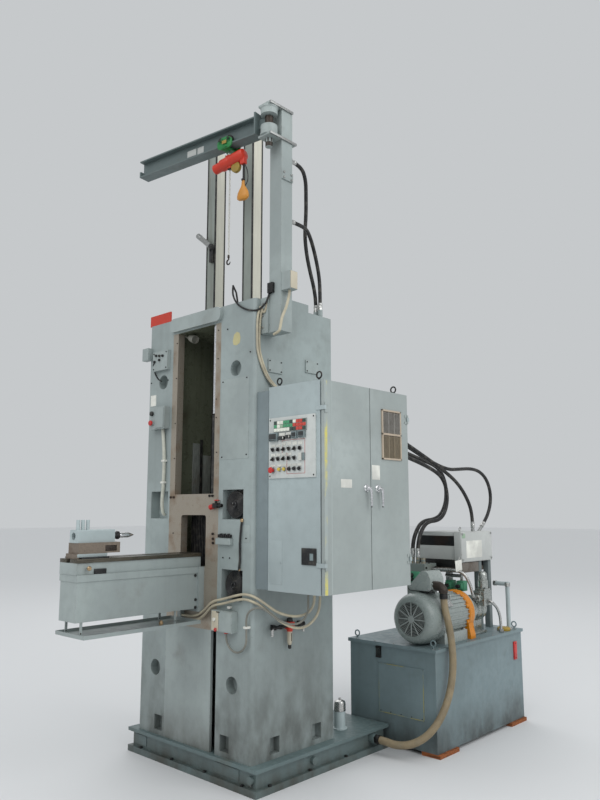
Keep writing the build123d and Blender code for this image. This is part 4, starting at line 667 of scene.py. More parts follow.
class Shape:
    """Solid forms of one finish that become one mesh."""

    def __init__(self) -> None:
        """Starts with nothing."""
        self.mesh = bmesh.new()

    def block(self, low: Point, high: Point, soft: float = 0.0, place: Matrix | None = None) -> "Shape":
        """Adds a block.

        Args:
            low: its lowest corner.
            high: its highest corner.
            soft: radius of its rounded edges.
            place: a frame that it is moved by.

        Returns:
            The shape itself.
        """
        low, high = Vector(low), Vector(high)
        size = high - low
        fit = Matrix.Translation((low + high) / 2) @ Matrix.Diagonal((*size, 1.0))
        verts = bmesh.ops.create_cube(self.mesh, size=1.0, matrix=(place or Matrix()) @ fit)["verts"]
        if soft:
            edges = list(dict.fromkeys(edge for vert in verts for edge in vert.link_edges))
            bmesh.ops.bevel(self.mesh, geom=edges, offset=min(soft, min(size) * 0.45), segments=2,
                            profile=0.6, affect="EDGES", clamp_overlap=True)
        return self

    def turned(self, outline: Sequence[tuple[float, float]], start: Point, along: Point = (0, 0, 1),
               sides: int = 36) -> "Shape":
        """Adds a form turned round an axis.

        Args:
            outline: radius and height pairs, from a pole or rim to a pole or rim.
            start: where the axis begins.
            along: which way it runs.
            sides: how many sides the round has.

        Returns:
            The shape itself.
        """
        place = standing(start, along)
        outline = [(0.0, outline[0][1]), *outline, (0.0, outline[-1][1])]
        rings = []
        for radius, height in outline:
            if radius <= 0:
                rings.append([self.mesh.verts.new(place @ Vector((0, 0, height)))])
            else:
                spots = [Vector((radius * math.cos(a), radius * math.sin(a), height))
                         for a in (math.tau * i / sides for i in range(sides))]
                rings.append([self.mesh.verts.new(place @ spot) for spot in spots])
        self._skin(rings, sides)
        return self

    def _skin(self, rings: list[list[bmesh.types.BMVert]], sides: int) -> None:
        """Closes the faces between rings of points."""
        for lower, upper in zip(rings, rings[1:]):
            if len(lower) == len(upper) == 1:
                continue
            for i in range(sides):
                j = (i + 1) % sides
                if len(lower) == 1:
                    self.mesh.faces.new((lower[0], upper[i], upper[j]))
                elif len(upper) == 1:
                    self.mesh.faces.new((lower[i], lower[j], upper[0]))
                else:
                    self.mesh.faces.new((lower[i], lower[j], upper[j], upper[i]))

    def rod(self, radius: float, start: Point, end: Point, soft: float = 0.0, sides: int = 28) -> "Shape":
        """Adds a round bar.

        Args:
            radius: its radius.
            start: the middle of one end.
            end: the middle of the other.
            soft: its edges' radius.
            sides: how many sides the round has.

        Returns:
            The shape itself.
        """
        along = Vector(end) - Vector(start)
        length = along.length
        if soft:
            outline = [(radius - soft, 0.0), (radius - soft * 0.3, soft * 0.3), (radius, soft),
                       (radius, length - soft), (radius - soft * 0.3, length - soft * 0.3),
                       (radius - soft, length)]
        else:
            outline = [(radius, 0.0), (radius, length)]
        return self.turned(outline, start, along, sides)

    def wire(self, path: Sequence[Point], radius: float, closed: bool = False, sides: int = 10,
             radii: Sequence[float] | None = None) -> "Shape":
        """Adds a bent round bar along a path.

        Args:
            path: its points in order.
            radius: its radius.
            closed: whether the last point joins the first.
            sides: how many sides the round has.
            radii: a radius for each point, where it tapers.

        Returns:
            The shape itself.
        """
        points = [Vector(p) for p in path]
        count = len(points)
        rings = []
        side = None
        for i, point in enumerate(points):
            before = points[i - 1] if i or closed else point
            after = points[(i + 1) % count] if i < count - 1 or closed else point
            way = (after - before).normalized()
            if side is None:
                side = way.orthogonal().normalized()
            side = (side - way * side.dot(way)).normalized()
            other = way.cross(side)
            size = radii[i] if radii else radius
            rings.append([self.mesh.verts.new(point + (side * math.cos(math.tau * k / sides)
                                                       + other * math.sin(math.tau * k / sides)) * size)
                          for k in range(sides)])
        if closed:
            rings.append(rings[0])
            self._skin(rings, sides)
        else:
            self._skin(rings, sides)
            self.mesh.faces.new(list(reversed(rings[0])))
            self.mesh.faces.new(rings[-1])
        return self

    def slab(self, outline: Sequence[tuple[float, float]], place: Matrix, depth: float,
             soft: float = 0.0) -> "Shape":
        """Adds a flat form of any outline.

        Args:
            outline: corners in the frame's own X and Y.
            place: the frame, whose Z is the slab's depth.
            depth: how thick it is.
            soft: its edges' radius.

        Returns:
            The shape itself.
        """
        low = [self.mesh.verts.new(place @ Vector((u, v, 0))) for u, v in outline]
        high = [self.mesh.verts.new(place @ Vector((u, v, depth))) for u, v in outline]
        faces = [self.mesh.faces.new(list(reversed(low))), self.mesh.faces.new(high)]
        for i in range(len(low)):
            j = (i + 1) % len(low)
            faces.append(self.mesh.faces.new((low[i], low[j], high[j], high[i])))
        if soft:
            edges = list(dict.fromkeys(edge for face in faces for edge in face.edges))
            bmesh.ops.bevel(self.mesh, geom=edges, offset=soft, segments=2, profile=0.6, affect="EDGES",
                            clamp_overlap=True)
        return self

    def done(self, name: str, finish: Finish, body: Body = Body.MACHINE,
             replaces: Iterable[str] = ()) -> bpy.types.Object:
        """Turns the forms into a piece of the machine.

        Args:
            name: the piece's name.
            finish: what it is made of.
            body: what it rides on.
            replaces: the solids that it stands for.

        Returns:
            The piece.
        """
        return settle(self._closed(name), name, finish, body, replaces)

    def template(self, name: str) -> bpy.types.Object:
        """Turns the forms into a shape for a pattern to repeat, which isn't itself a piece."""
        return put(name, self._closed(name))

    def _closed(self, name: str) -> bpy.types.Mesh:
        """The forms as one mesh, which uses them up."""
        bmesh.ops.recalc_face_normals(self.mesh, faces=self.mesh.faces)
        mesh = bpy.data.meshes.new(name)
        self.mesh.to_mesh(mesh)
        self.mesh.free()
        return mesh


def settle(mesh: bpy.types.Mesh, name: str, finish: Finish, body: Body,
           replaces: Iterable[str] = ()) -> bpy.types.Object:
    """Makes a mesh a piece that rides on a body.

    Args:
        mesh: its mesh, in place.
        name: the piece's name.
        finish: what it is made of.
        body: what it rides on.
        replaces: the solids that it stands for.

    Returns:
        The piece.
    """
    mesh.materials.clear()
    mesh.materials.append(dressed(finish))
    mesh.shade_smooth()
    mesh.set_sharp_from_angle(angle=math.radians(CREASE))
    piece = put(name, mesh)
    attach(piece, body.value)
    if replaces:
        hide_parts(*replaces)
    LOG.info("%s: %d faces on %s", name, len(mesh.polygons), body.value)
    return piece


def smooth(points: Sequence[Point], share: int = 5) -> list[Vector]:
    """A rounded path through a few points.

    Args:
        points: where it passes.
        share: how many pieces each stretch gets.

    Returns:
        Points close together on the path.
    """
    given = [Vector(p) for p in points]
    ends = [given[0] * 2 - given[1], *given, given[-1] * 2 - given[-2]]
    path = []
    for a, b, c, d in zip(ends, ends[1:], ends[2:], ends[3:]):
        for k in range(share):
            t = k / share
            path.append(0.5 * (b * 2 + (c - a) * t + (a * 2 - b * 5 + c * 4 - d) * t * t
                               + (b * 3 - a - c * 3 + d) * t * t * t))
    path.append(given[-1])
    return path


# ---------------------------------------------------------------- repeated forms


class Pattern(NodeWork):
    """A geometry node tree that repeats one shape, run once into a plain mesh."""

    def __init__(self, name: str, sizes: Sequence[tuple[str, str]]) -> None:
        """Starts the tree.

        Args:
            name: the tree's name.
            sizes: name and socket type of each of its inputs.
        """
        super().__init__(bpy.data.node_groups.new(name, "GeometryNodeTree"))
        self.tree.interface.new_socket("Geometry", in_out="INPUT", socket_type="NodeSocketGeometry")
        for label, kind in (*sizes, ("Shape", "NodeSocketObject"), ("Finish", "NodeSocketMaterial")):
            self.tree.interface.new_socket(label, in_out="INPUT", socket_type=kind)
        self.tree.interface.new_socket("Geometry", in_out="OUTPUT", socket_type="NodeSocketGeometry")
        self.given = self.tree.nodes.new("NodeGroupInput").outputs
        self.end = self.tree.nodes.new("NodeGroupOutput")

    def close(self, points: bpy.types.NodeSocket, turn: bpy.types.NodeSocket,
              size: bpy.types.NodeSocket | None = None) -> None:
        """Puts the shape on every point, and makes the copies real and finished."""
        shape = self.node("GeometryNodeObjectInfo", {"Object": self.given["Shape"], "As Instance": True})
        inputs = {"Points": points, "Instance": shape.outputs["Geometry"], "Rotation": turn}
        if size:
            inputs["Scale"] = size
        copies = self.node("GeometryNodeInstanceOnPoints", inputs).outputs[0]
        real = self.node("GeometryNodeRealizeInstances", {0: copies}).outputs[0]
        done = self.node("GeometryNodeSetMaterial", {"Geometry": real,
                                                     "Material": self.given["Finish"]}).outputs[0]
        self.tree.links.new(done, self.end.inputs[0])

    def grow(self, name: str, source: bpy.types.Mesh, shape: bpy.types.Object, finish: Finish, body: Body,
             values: dict | None = None, replaces: Iterable[str] = ()) -> bpy.types.Object:
        """Runs the tree on a mesh of points.

        Args:
            name: the new piece's name.
            source: the mesh that the tree starts from.
            shape: what is repeated; it is used up.
            finish: what the piece is made of.
            body: what it rides on.
            values: the tree's sizes by their names.
            replaces: the solids that the piece stands for.

        Returns:
            The piece.
        """
        carrier = put(name + "_points", source)
        modifier = carrier.modifiers.new("pattern", "NODES")
        modifier.node_group = self.tree
        known = {item.name: item.identifier for item in self.tree.interface.items_tree
                 if item.in_out == "INPUT"}
        for label, value in {**(values or {}), "Shape": shape, "Finish": dressed(finish)}.items():
            modifier[known[label]] = value
        ready = carrier.evaluated_get(bpy.context.evaluated_depsgraph_get())
        mesh = bpy.data.meshes.new_from_object(ready)
        mesh.name = name
        carrier.modifiers.remove(modifier)
        bpy.data.objects.remove(carrier)
        bpy.data.objects.remove(shape)
        return settle(mesh, name, finish, body, replaces)


def on_points() -> Pattern:
    """A tree that puts a shape on points that carry their own turn and size."""
    tree = Pattern("shape_on_points", (("Size", "NodeSocketFloat"),))
    turn = tree.node("GeometryNodeInputNamedAttribute", {"Name": "turn"},
                     data_type="FLOAT_VECTOR").outputs[0]
    grown = tree.node("GeometryNodeInputNamedAttribute", {"Name": "size"}, data_type="FLOAT").outputs[0]
    rotation = tree.node("FunctionNodeEulerToRotation", {0: turn}).outputs[0]
    size = tree.node("ShaderNodeMath", {0: grown, 1: tree.given["Size"]}, operation="MULTIPLY").outputs[0]
    tree.close(tree.given["Geometry"], rotation, size)
    return tree


def in_row() -> Pattern:
    """A tree that repeats a shape in a straight row, each turned a step further than the last."""
    tree = Pattern("shape_in_row", (("Count", "NodeSocketInt"), ("Start", "NodeSocketVector"),
                                    ("Step", "NodeSocketVector"), ("Twist", "NodeSocketVector")))
    line = tree.node("GeometryNodeMeshLine", {"Count": tree.given["Count"],
                                              "Start Location": tree.given["Start"],
                                              "Offset": tree.given["Step"]}).outputs[0]
    index = tree.node("GeometryNodeInputIndex").outputs[0]
    twist = tree.node("ShaderNodeVectorMath", {0: tree.given["Twist"], "Scale": index},
                      operation="SCALE").outputs[0]
    rotation = tree.node("FunctionNodeEulerToRotation", {0: twist}).outputs[0]
    tree.close(line, rotation)
    return tree


def on_path() -> Pattern:
    """A tree that threads a shape along a path, square to it."""
    tree = Pattern("shape_on_path", (("Pitch", "NodeSocketFloat"),))
    curve = tree.node("GeometryNodeMeshToCurve", {0: tree.given["Geometry"]}).outputs[0]
    even = tree.node("GeometryNodeResampleCurve", {"Curve": curve, "Length": tree.given["Pitch"]},
                     mode="LENGTH")
    points = tree.node("GeometryNodeCurveToPoints", {0: even.outputs[0]}, mode="EVALUATED")
    rotation = tree.node("FunctionNodeAlignRotationToVector", {"Vector": points.outputs["Tangent"]},
                         axis="Z").outputs[0]
    tree.close(points.outputs[0], rotation)
    return tree


def point_mesh(name: str, places: Sequence[tuple[Point, Point, float]]) -> bpy.types.Mesh:
    """Points for the on-points tree.

    Args:
        name: the mesh's name.
        places: for each point its place, the direction that the shape's Z takes, and its size.

    Returns:
        A mesh of loose points that carry turn and size.
    """
    mesh = bpy.data.meshes.new(name)
    mesh.from_pydata([tuple(place) for place, _, _ in places], [], [])
    mesh.attributes.new("turn", "FLOAT_VECTOR", "POINT")
    mesh.attributes.new("size", "FLOAT", "POINT")
    turns, sizes = mesh.attributes["turn"].data, mesh.attributes["size"].data
    for i, (_, along, grown) in enumerate(places):
        turns[i].vector = Vector((0, 0, 1)).rotation_difference(Vector(along).normalized()).to_euler()
        sizes[i].value = grown
    return mesh


def path_mesh(name: str, points: Sequence[Point]) -> bpy.types.Mesh:
    """A mesh whose edges follow a path."""
    mesh = bpy.data.meshes.new(name)
    mesh.from_pydata([tuple(p) for p in points], [(i, i + 1) for i in range(len(points) - 1)], [])
    return mesh


def fastener(head: Head) -> bpy.types.Object:
    """One fastener's head, a metre across the flats, standing on its own foot.

    Args:
        head: which kind.

    Returns:
        The shape to repeat.
    """
    shape = Shape()
    if head is Head.HEX:
        shape.turned(((0.62, 0.0), (0.62, 0.1)), (0, 0, -0.02), sides=18)
        shape.turned(((0.577, 0.0), (0.577, 0.36), (0.5, 0.42)), (0, 0, 0.05), sides=6)
    elif head is Head.SOCKET:
        shape.turned(((0.5, 0.0), (0.5, 0.5), (0.46, 0.56), (0.27, 0.56), (0.27, 0.26)), (0, 0, -0.02),
                     sides=18)
    else:
        shape.turned(((0.5, 0.0), (0.47, 0.16), (0.34, 0.28), (0.12, 0.33)), (0, 0, -0.02), sides=14)
    return shape.template("fastener_" + head.value)


class Workshop:
    """The trees and shapes that all sub-assemblies share."""

    def __init__(self) -> None:
        """Builds each tree once."""
        self.points = on_points()
        self.row = in_row()
        self.path = on_path()

    def screws(self, name: str, places: Sequence[tuple[Point, Point]], size: float, finish: Finish,
               body: Body = Body.MACHINE, head: Head = Head.HEX) -> bpy.types.Object:
        """Puts fasteners on a surface.

        Args:
            name: the piece's name.
            places: for each its seat and the way that it faces.
            size: width across the flats.
            finish: what they are made of.
            body: what they ride on.
            head: which kind.

        Returns:
            The piece with all of them.
        """
        source = point_mesh(name + "_seats", [(place, along, 1.0) for place, along in places])
        return self.points.grow(name, source, fastener(head), finish, body, {"Size": size})


# ---------------------------------------------------------------- studio


@dataclass
class Studio:
    """Camera, pale floor and soft light."""

    eye: tuple[float, float, float] = (3.9386, -3.171, 1.68)
    heading: float = 43.0
    rise: float = 8.6
    lens: float = 32.6
    floor_half: float = 60.0

    def build(self) -> None:
        """Sets the whole studio."""
        self.camera()
        self.floor()
        self.lights()

    def camera(self) -> None:
        """Puts the camera where the picture was taken from."""
        data = bpy.data.cameras.new("camera")
        data.lens = self.lens
        data.sensor_width = 36.0
        data.clip_end = 300.0
        camera = put("camera", data)
        camera.location = self.eye
        camera.rotation_euler = (math.radians(90.0 + self.rise), 0.0, math.radians(self.heading))
        bpy.context.scene.camera = camera

    def floor(self) -> None:
        """Lays a plain pale floor."""
        mesh = bpy.data.meshes.new("floor")
        half = self.floor_half
        mesh.from_pydata([(-half, -half, 0), (half, -half, 0), (half, half, 0), (-half, half, 0)], [],
                         [(0, 1, 2, 3)])
        mix = Recipe("studio_floor", 0.9)
        mix.use("Base Color", linear((206, 207, 208)))
        mesh.materials.append(mix.material)
        put("floor", mesh)

    def lights(self) -> None:
        """Sets a pale world and three soft lamps."""
        scene = bpy.context.scene
        scene.view_settings.view_transform = "Standard"
        world = bpy.data.worlds.new("studio")
        scene.world = world
        world.use_nodes = True
        sky = NodeWork(world.node_tree)
        sky.tree.nodes.clear()
        seen = sky.node("ShaderNodeBackground", {0: linear((198, 201, 203)), 1: 1.0}).outputs[0]
        light = sky.node("ShaderNodeBackground", {0: linear((240, 243, 245)), 1: 0.95}).outputs[0]
        rays = sky.node("ShaderNodeLightPath").outputs
        either = sky.node("ShaderNodeMath", {0: rays["Is Camera Ray"], 1: rays["Is Glossy Ray"]},
                          operation="MAXIMUM").outputs[0]
        direct = sky.node("ShaderNodeMath", {0: either, 1: rays["Is Transmission Ray"]},
                          operation="MAXIMUM").outputs[0]
        mix = sky.node("ShaderNodeMixShader", {0: direct, 1: light, 2: seen}).outputs[0]
        sky.node("ShaderNodeOutputWorld", {"Surface": mix})
        self.lamp("key", (1.5, -7.0, 8.5), (0.2, 0.5, 2.0), 7.0, 230.0)
        self.lamp("side", (8.5, 1.0, 6.5), (0.4, 1.0, 1.8), 7.0, 300.0)
        self.lamp("back", (-5.5, 5.5, 8.0), (0.0, 1.0, 2.0), 6.0, 130.0)

    def lamp(self, name: str, place: Point, target: Point, size: float, power: float) -> None:
        """Hangs one soft lamp.

        Args:
            name: the lamp's name.
            place: where it hangs.
            target: what it looks at.
            size: its edge.
            power: its strength in watts.
        """
        data = bpy.data.lights.new(name, "AREA")
        data.shape = "SQUARE"
        data.size = size
        data.energy = power
        lamp = put(name, data)
        lamp.location = place
        lamp.rotation_euler = (Vector(target) - Vector(place)).to_track_quat("-Z", "Y").to_euler()


# ---------------------------------------------------------------- hoses and cables


@dataclass(frozen=True)
class Run:
    """One hose or cable: its route in millimetres, its real length and its thickness."""

    name: str
    route: tuple[tuple[float, float, float], ...]
    length: float
    thick: float
    finish: Finish
    stiffness: str = "medium"
    ferrules: tuple[float, float] = (0.0, 0.0)
    ferrule_finish: Finish = BRIGHT_STEEL


@dataclass
class Cords:
    """Every hose and cable of the machine, each with its end fittings."""

    workshop: Workshop

    def build(self) -> None:
        """Lays all runs."""
        for run in RUNS:
            self.lay(run)

    def centre(self, run: Run) -> list[Vector]:
        """The middle line of a run.

        Args:
            run: the hose or cable.

        Returns:
            Points close together along it.
        """
        curve = self.spline(run, run.name + "_line", 0.0)
        carrier = put(run.name + "_line", curve)
        ready = carrier.evaluated_get(bpy.context.evaluated_depsgraph_get())
        mesh = bpy.data.meshes.new_from_object(ready)
        points = [vert.co.copy() for vert in mesh.vertices]
        bpy.data.objects.remove(carrier)
        bpy.data.meshes.remove(mesh)
        return points

    def spline(self, run: Run, name: str, bevel: float) -> bpy.types.Curve:
        """The route as one smooth curve.

        Args:
            run: the hose or cable.
            name: the curve's name.
            bevel: its radius, or nought for a bare line.

        Returns:
            The curve.
        """
        curve = bpy.data.curves.new(name, "CURVE")
        curve.dimensions = "3D"
        curve.resolution_u = 10
        curve.bevel_depth = bevel
        curve.bevel_resolution = 6
        curve.use_fill_caps = bevel > 0
        spline = curve.splines.new("NURBS")
        spline.points.add(len(run.route) - 1)
        for point, place in zip(spline.points, run.route):
            point.co = (place[0] / 1000, place[1] / 1000, place[2] / 1000, 1.0)
        spline.order_u = 3
        spline.use_endpoint_u = True
        return curve

    def lay(self, run: Run) -> None:
        """Args:
            run: the hose or cable.
        """
        curve = self.spline(run, run.name, run.thick / 2)
        curve.materials.append(dressed(run.finish))
        cord = put(run.name + "_run", curve)
        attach(cord, Body.MACHINE.value)
        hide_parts(run.name)
        line = self.centre(run)
        ends = ((line[0], line[1] - line[0]), (line[-1], line[-2] - line[-1]))
        for label, (place, way), long in zip(("first", "last"), ends, run.ferrules):
            if not long:
                continue
            radius = run.thick / 2
            sleeve = Shape()
            sleeve.turned(((radius * 0.9, 0.0), (radius * 1.28, 0.0), (radius * 1.28, long * 0.34)), place,
                          way, 6)
            sleeve.turned(((radius * 1.0, 0.0), (radius * 1.16, long * 0.05), (radius * 1.2, long * 0.5),
                           (radius * 1.13, long * 0.55), (radius * 1.2, long * 0.62), (radius * 1.17, long),
                           (radius * 1.0, long)), place + way.normalized() * long * 0.3, way, 24)
            sleeve.done(f"{run.name}_fitting_{label}", run.ferrule_finish)
        if run.name == "motor_conduit":
            self.ribs(run, line)
        LOG.info("%s: %.3f m", run.name, run.length)

    def ribs(self, run: Run, line: list[Vector]) -> bpy.types.Object:
        """The rings of a corrugated conduit.

        Args:
            run: the conduit.
            line: its middle line.

        Returns:
            The piece with all rings.
        """
        ring = Shape()
        radius = run.thick / 2
        ring.turned(((radius - 0.0012, -0.0022), (radius + 0.0009, -0.0009), (radius + 0.0009, 0.0009),
                     (radius - 0.0012, 0.0022)), (0, 0, 0), sides=24)
        return self.workshop.path.grow(run.name + "_ribs", path_mesh(run.name + "_path", line),
                                       ring.template("rib"), run.finish, Body.MACHINE, {"Pitch": 0.0075})


RUNS = (
    Run("motor_conduit", ((1046, 1440, 1086), (1046, 1440, 1000), (1082, 1440, 880), (1098, 1450, 740),
                          (1106, 1445, 600), (1108, 1410, 470), (1106, 1345, 355), (1090, 1262, 250),
                          (1035, 1195, 160), (940, 1150, 100), (838, 1118, 84), (750, 1110, 96),
                          (673, 1110, 96)), 1.407, 0.050, TAN_CONDUIT, "stiff", (0.03, 0.03), DARK_STEEL),
    Run("manifold_hose_upper", ((500, 806, 2330), (500, 950, 2330), (500, 1200, 2295), (500, 1490, 2225),
                                (500, 1760, 2150), (500, 2000, 2102), (500, 2232, 2060), (500, 2338, 1998),
                                (500, 2400, 1892), (500, 2400, 1768), (500, 2338, 1662), (500, 2232, 1600),
                                (500, 2010, 1585), (500, 1915, 1500), (498, 1866, 1395), (498, 1866, 1298)),
        2.613, 0.033, RUBBER, "stiff", (0.055, 0.055)),
    Run("manifold_hose_lower", ((548, 806, 2240), (548, 950, 2240), (548, 1200, 2212), (548, 1470, 2160),
                                (548, 1730, 2105), (548, 1985, 2053), (548, 2185, 1995), (548, 2280, 1940),
                                (548, 2335, 1845), (548, 2335, 1735), (548, 2280, 1640), (548, 2185, 1588),
                                (548, 2010, 1580), (548, 1915, 1500), (548, 1866, 1395), (548, 1866, 1298)),
        2.446, 0.032, RUBBER, "stiff", (0.055, 0.055)),
    Run("junction_hose_outer", ((400, 806, 2420), (400, 950, 2420), (500, 1180, 2390), (640, 1430, 2240),
                                (750, 1680, 2085), (800, 1930, 1998), (806, 2120, 2010), (811, 2290, 2022),
                                (815, 2430, 2005), (817, 2540, 1945), (817, 2600, 1850), (817, 2605, 1755),
                                (817, 2565, 1665), (817, 2500, 1593), (817, 2428, 1539)),
        2.407, 0.028, RUBBER, "medium", (0.04, 0.04)),
    Run("junction_hose_inner", ((450, 806, 2420), (450, 950, 2420), (560, 1180, 2375), (700, 1420, 2220),
                                (800, 1640, 2080), (846, 1850, 1972), (846, 2030, 1885), (846, 2160, 1770),
                                (846, 2232, 1650), (846, 2232, 1530)),
        1.864, 0.028, RUBBER, "medium", (0.04, 0.04)),
    Run("tower_hose_left", ((700, 202, 4050), (700, 312, 4050), (664, 400, 3995), (630, 440, 3884),
                            (600, 472, 3760), (574, 486, 3625), (548, 535, 3500), (518, 605, 3395),
                            (492, 675, 3300), (478, 712, 3205), (478, 712, 3120)), 1.178, 0.027, RUBBER,
        "medium", (0.04, 0.04)),
    Run("tower_hose_right", ((690, 202, 3620), (690, 298, 3620), (668, 394, 3626), (625, 475, 3620),
                             (580, 562, 3580), (542, 646, 3490), (524, 700, 3375), (520, 712, 3250),
                             (520, 712, 3130)), 0.890, 0.027, RUBBER, "medium", (0.04, 0.04)),
    Run("bed_cable_upper", ((880, 240, 1166), (880, 240, 1112), (859, 222, 1062), (822, 191, 1036),
                            (771, 146, 1032), (706, 91, 1055), (646, 39, 1110), (600, -2, 1150),
                            (530, -26, 1163), (430, -26, 1140), (330, -26, 1114), (229, -26, 1094),
                            (158, -26, 1036), (90, -26, 994), (5, -26, 980), (-80, -26, 980)), 1.209, 0.016,
        CREAM_CABLE),
    Run("bed_cable_lower", ((889, 282, 1166), (889, 282, 1096), (872, 268, 1026), (830, 231, 970),
                            (777, 186, 955), (716, 134, 985), (655, 82, 1045), (622, 36, 1092),
                            (588, -8, 1120), (528, -26, 1133), (430, -26, 1112), (330, -26, 1085),
                            (226, -26, 1066), (155, -26, 1000), (85, -26, 962), (2, -26, 955),
                            (-80, -26, 955)), 1.317, 0.016, CREAM_CABLE),
    Run("switch_cable", ((365, -23, 918), (365, -23, 874), (390, -23, 830), (434, -23, 804),
                         (486, -23, 804), (530, -23, 830), (556, -24, 874), (554, -25, 950),
                         (552, -26, 1015), (574, -26, 1060), (616, -10, 1085), (655, 22, 1082),
                         (693, 45, 1048), (742, 88, 1005), (799, 136, 985), (841, 172, 1005),
                         (866, 194, 1055), (868, 196, 1112), (868, 196, 1166)), 1.017, 0.013, GREY_CABLE),
)


# ---------------------------------------------------------------- column and guide posts


@dataclass
class Column:
    """Fittings on the column's front, inside its opening and on its right-hand side."""

    workshop: Workshop
    half: float = 0.58
    gap_left: float = -0.287
    gap_right: float = 0.245
    disc_x: float = 0.384
    disc_z: tuple[float, float] = (1.713, 1.203)
    disc_radius: float = 0.09

    def build(self) -> None:
        """Makes every fitting."""
        self.discs()
        self.opening()
        self.plates()
        self.boxes()
        self.screws()
        self.clipped_cables()
        self.valve()
        self.regulator()

    def discs(self) -> None:
        """Turns the black ribbed discs in the right-hand niches."""
        shape = Shape()
        for z in self.disc_z:
            r = self.disc_radius
            outline = [(r, 0.0), (r, 0.034), (r - 0.004, 0.038)]
            for k in range(7):
                out = r - 0.008 - 0.0078 * k
                outline += [(out, 0.0380), (out - 0.0022, 0.0356), (out - 0.0056, 0.0356),
                            (out - 0.0078, 0.0380)]
            outline += [(0.022, 0.040), (0.020, 0.048), (0.017, 0.050), (0.009, 0.050), (0.009, 0.045)]
            shape.turned(outline, (self.disc_x, 0.064, z), (0, -1, 0), 48)
            # A black plate also fills the right-hand part of each niche behind its disc, where the niche
            # reads black.
            shape.block((0.420, 0.040, z - 0.094), (0.4935, 0.066, z + 0.094), 0.002)
        shape.done("niche_disc_faces", BLACK_PLASTIC, replaces=("niche_discs",))
        seats = [((self.disc_x + 0.0145 * math.cos(a), 0.015, z + 0.0145 * math.sin(a)), (0, -1, 0))
                 for z in self.disc_z for a in (0.5, 2.6, 4.7)]
        self.workshop.screws("niche_disc_screws", seats, 0.005, BRIGHT_STEEL, head=Head.SOCKET)

    def opening(self) -> None:
        """Lines the inner walls of the opening with oily plating, darkened as painted shade of the deep
        opening, and with guide strips and wear plates.
        """
        left, right, deep, roof = self.gap_left, self.gap_right, 0.43, 2.95
        # Painted shade: the lining's dark tone is partly the shade deep in the opening and partly oil.
        (Shape()
         .block((left, 0.056, 1.10), (left + 0.0015, deep, roof))
         .block((right - 0.0015, 0.056, 1.10), (right, deep, roof))
         .block((left, deep - 0.0015, 1.10), (right, deep, roof))
         .block((left, 0.002, roof - 0.0015), (right, deep, roof))
         .done("opening_lining", OILY_SHADED_WALL))
        plates, strips, rails = Shape(), Shape(), Shape()
        for side, way in ((left, 1.0), (right, -1.0)):
            near, far = side + 0.0014 * way, side + 0.009 * way
            for y0, y1, z1 in ((0.196, 0.262, 2.165), (0.288, 0.366, 2.080)):
                plates.block((min(near, far), y0, 1.79), (max(near, far), y1, z1), 0.002)
            far = side + 0.013 * way
            for y0, y1, z1 in ((0.266, 0.284, 2.195), (0.372, 0.404, 2.430)):
                strips.block((min(near, far), y0, 1.79), (max(near, far), y1, z1), 0.002)
            rails.block((min(near, far), 0.380, 2.435), (max(near, far), 0.402, 2.94), 0.002)
        plates.done("opening_wear_plates", WEAR_PLATE)
        strips.done("opening_black_strips", RUBBER)
        rails.done("opening_rails", DARK_STEEL)
        pleats = Shape()
        count = 30
        for k in range(count):
            x = -0.147 + 0.266 * k / count
            pleats.block((x, 0.090 + 0.006 * (k % 2), 1.301), (x + 0.0062, 0.112, 1.642), 0.001)
        pleats.block((-0.147, 0.108, 1.301), (0.118, 0.118, 1.642))
        pleats.done("window_bellows", RUBBER)
        (Shape()
         .turned(((0.010, 0.0), (0.022, 0.010), (0.028, 0.040), (0.030, 0.082), (0.026, 0.082),
                  (0.023, 0.070)), (-0.176, 0.060, 2.922), (0.92, -0.1, -0.34), 24)
         .wire(smooth([(-0.174, 0.060, 2.922), (-0.205, 0.060, 2.926), (-0.230, 0.058, 2.950),
                       (-0.232, 0.056, 2.985)]), 0.004, sides=8)
         .done("opening_lamp", GREY_CABLE))

    def plates(self) -> None:
        """Adds the bare plate, the hatches, the sealant patch and the strips at the edge of the ways."""
        (Shape()
         .block((-0.549, -0.0016, 2.442), (-0.482, SINK, 2.524), 0.0006)
         .done("bare_plate_front", WHITE_PLASTIC))
        (Shape()
         .block((0.486, -0.0022, 1.473), (0.553, SINK, 1.584), 0.0008)
         .block((0.260, -0.0016, 2.006), (0.530, SINK, 2.5440), 0.0007)
         .turned(((0.052, 0.0), (0.052, 0.004), (0.049, 0.0052)), (self.half - SINK, 0.08, 1.714),
                 (1, 0, 0), 40)
         .done("column_hatches", MACHINE_PAINT))
        (Shape()
         .slab([(0.364, 2.80), (0.376, 2.842), (0.404, 2.858), (0.430, 2.846), (0.441, 2.812),
                (0.433, 2.776), (0.401, 2.765), (0.372, 2.772)], facing_front(0, 0.0003), 0.0009)
         .done("old_sealant_patch", SEALANT))
        Shape().block((0.170, 0.002, 2.325), (0.1925, 0.014, 2.948), 0.001).done("way_edge_strip", CHROME)
        Shape().block((0.164, 0.002, 1.79), (0.1925, 0.016, 2.318), 0.001).done("way_edge_wiper", RUBBER)

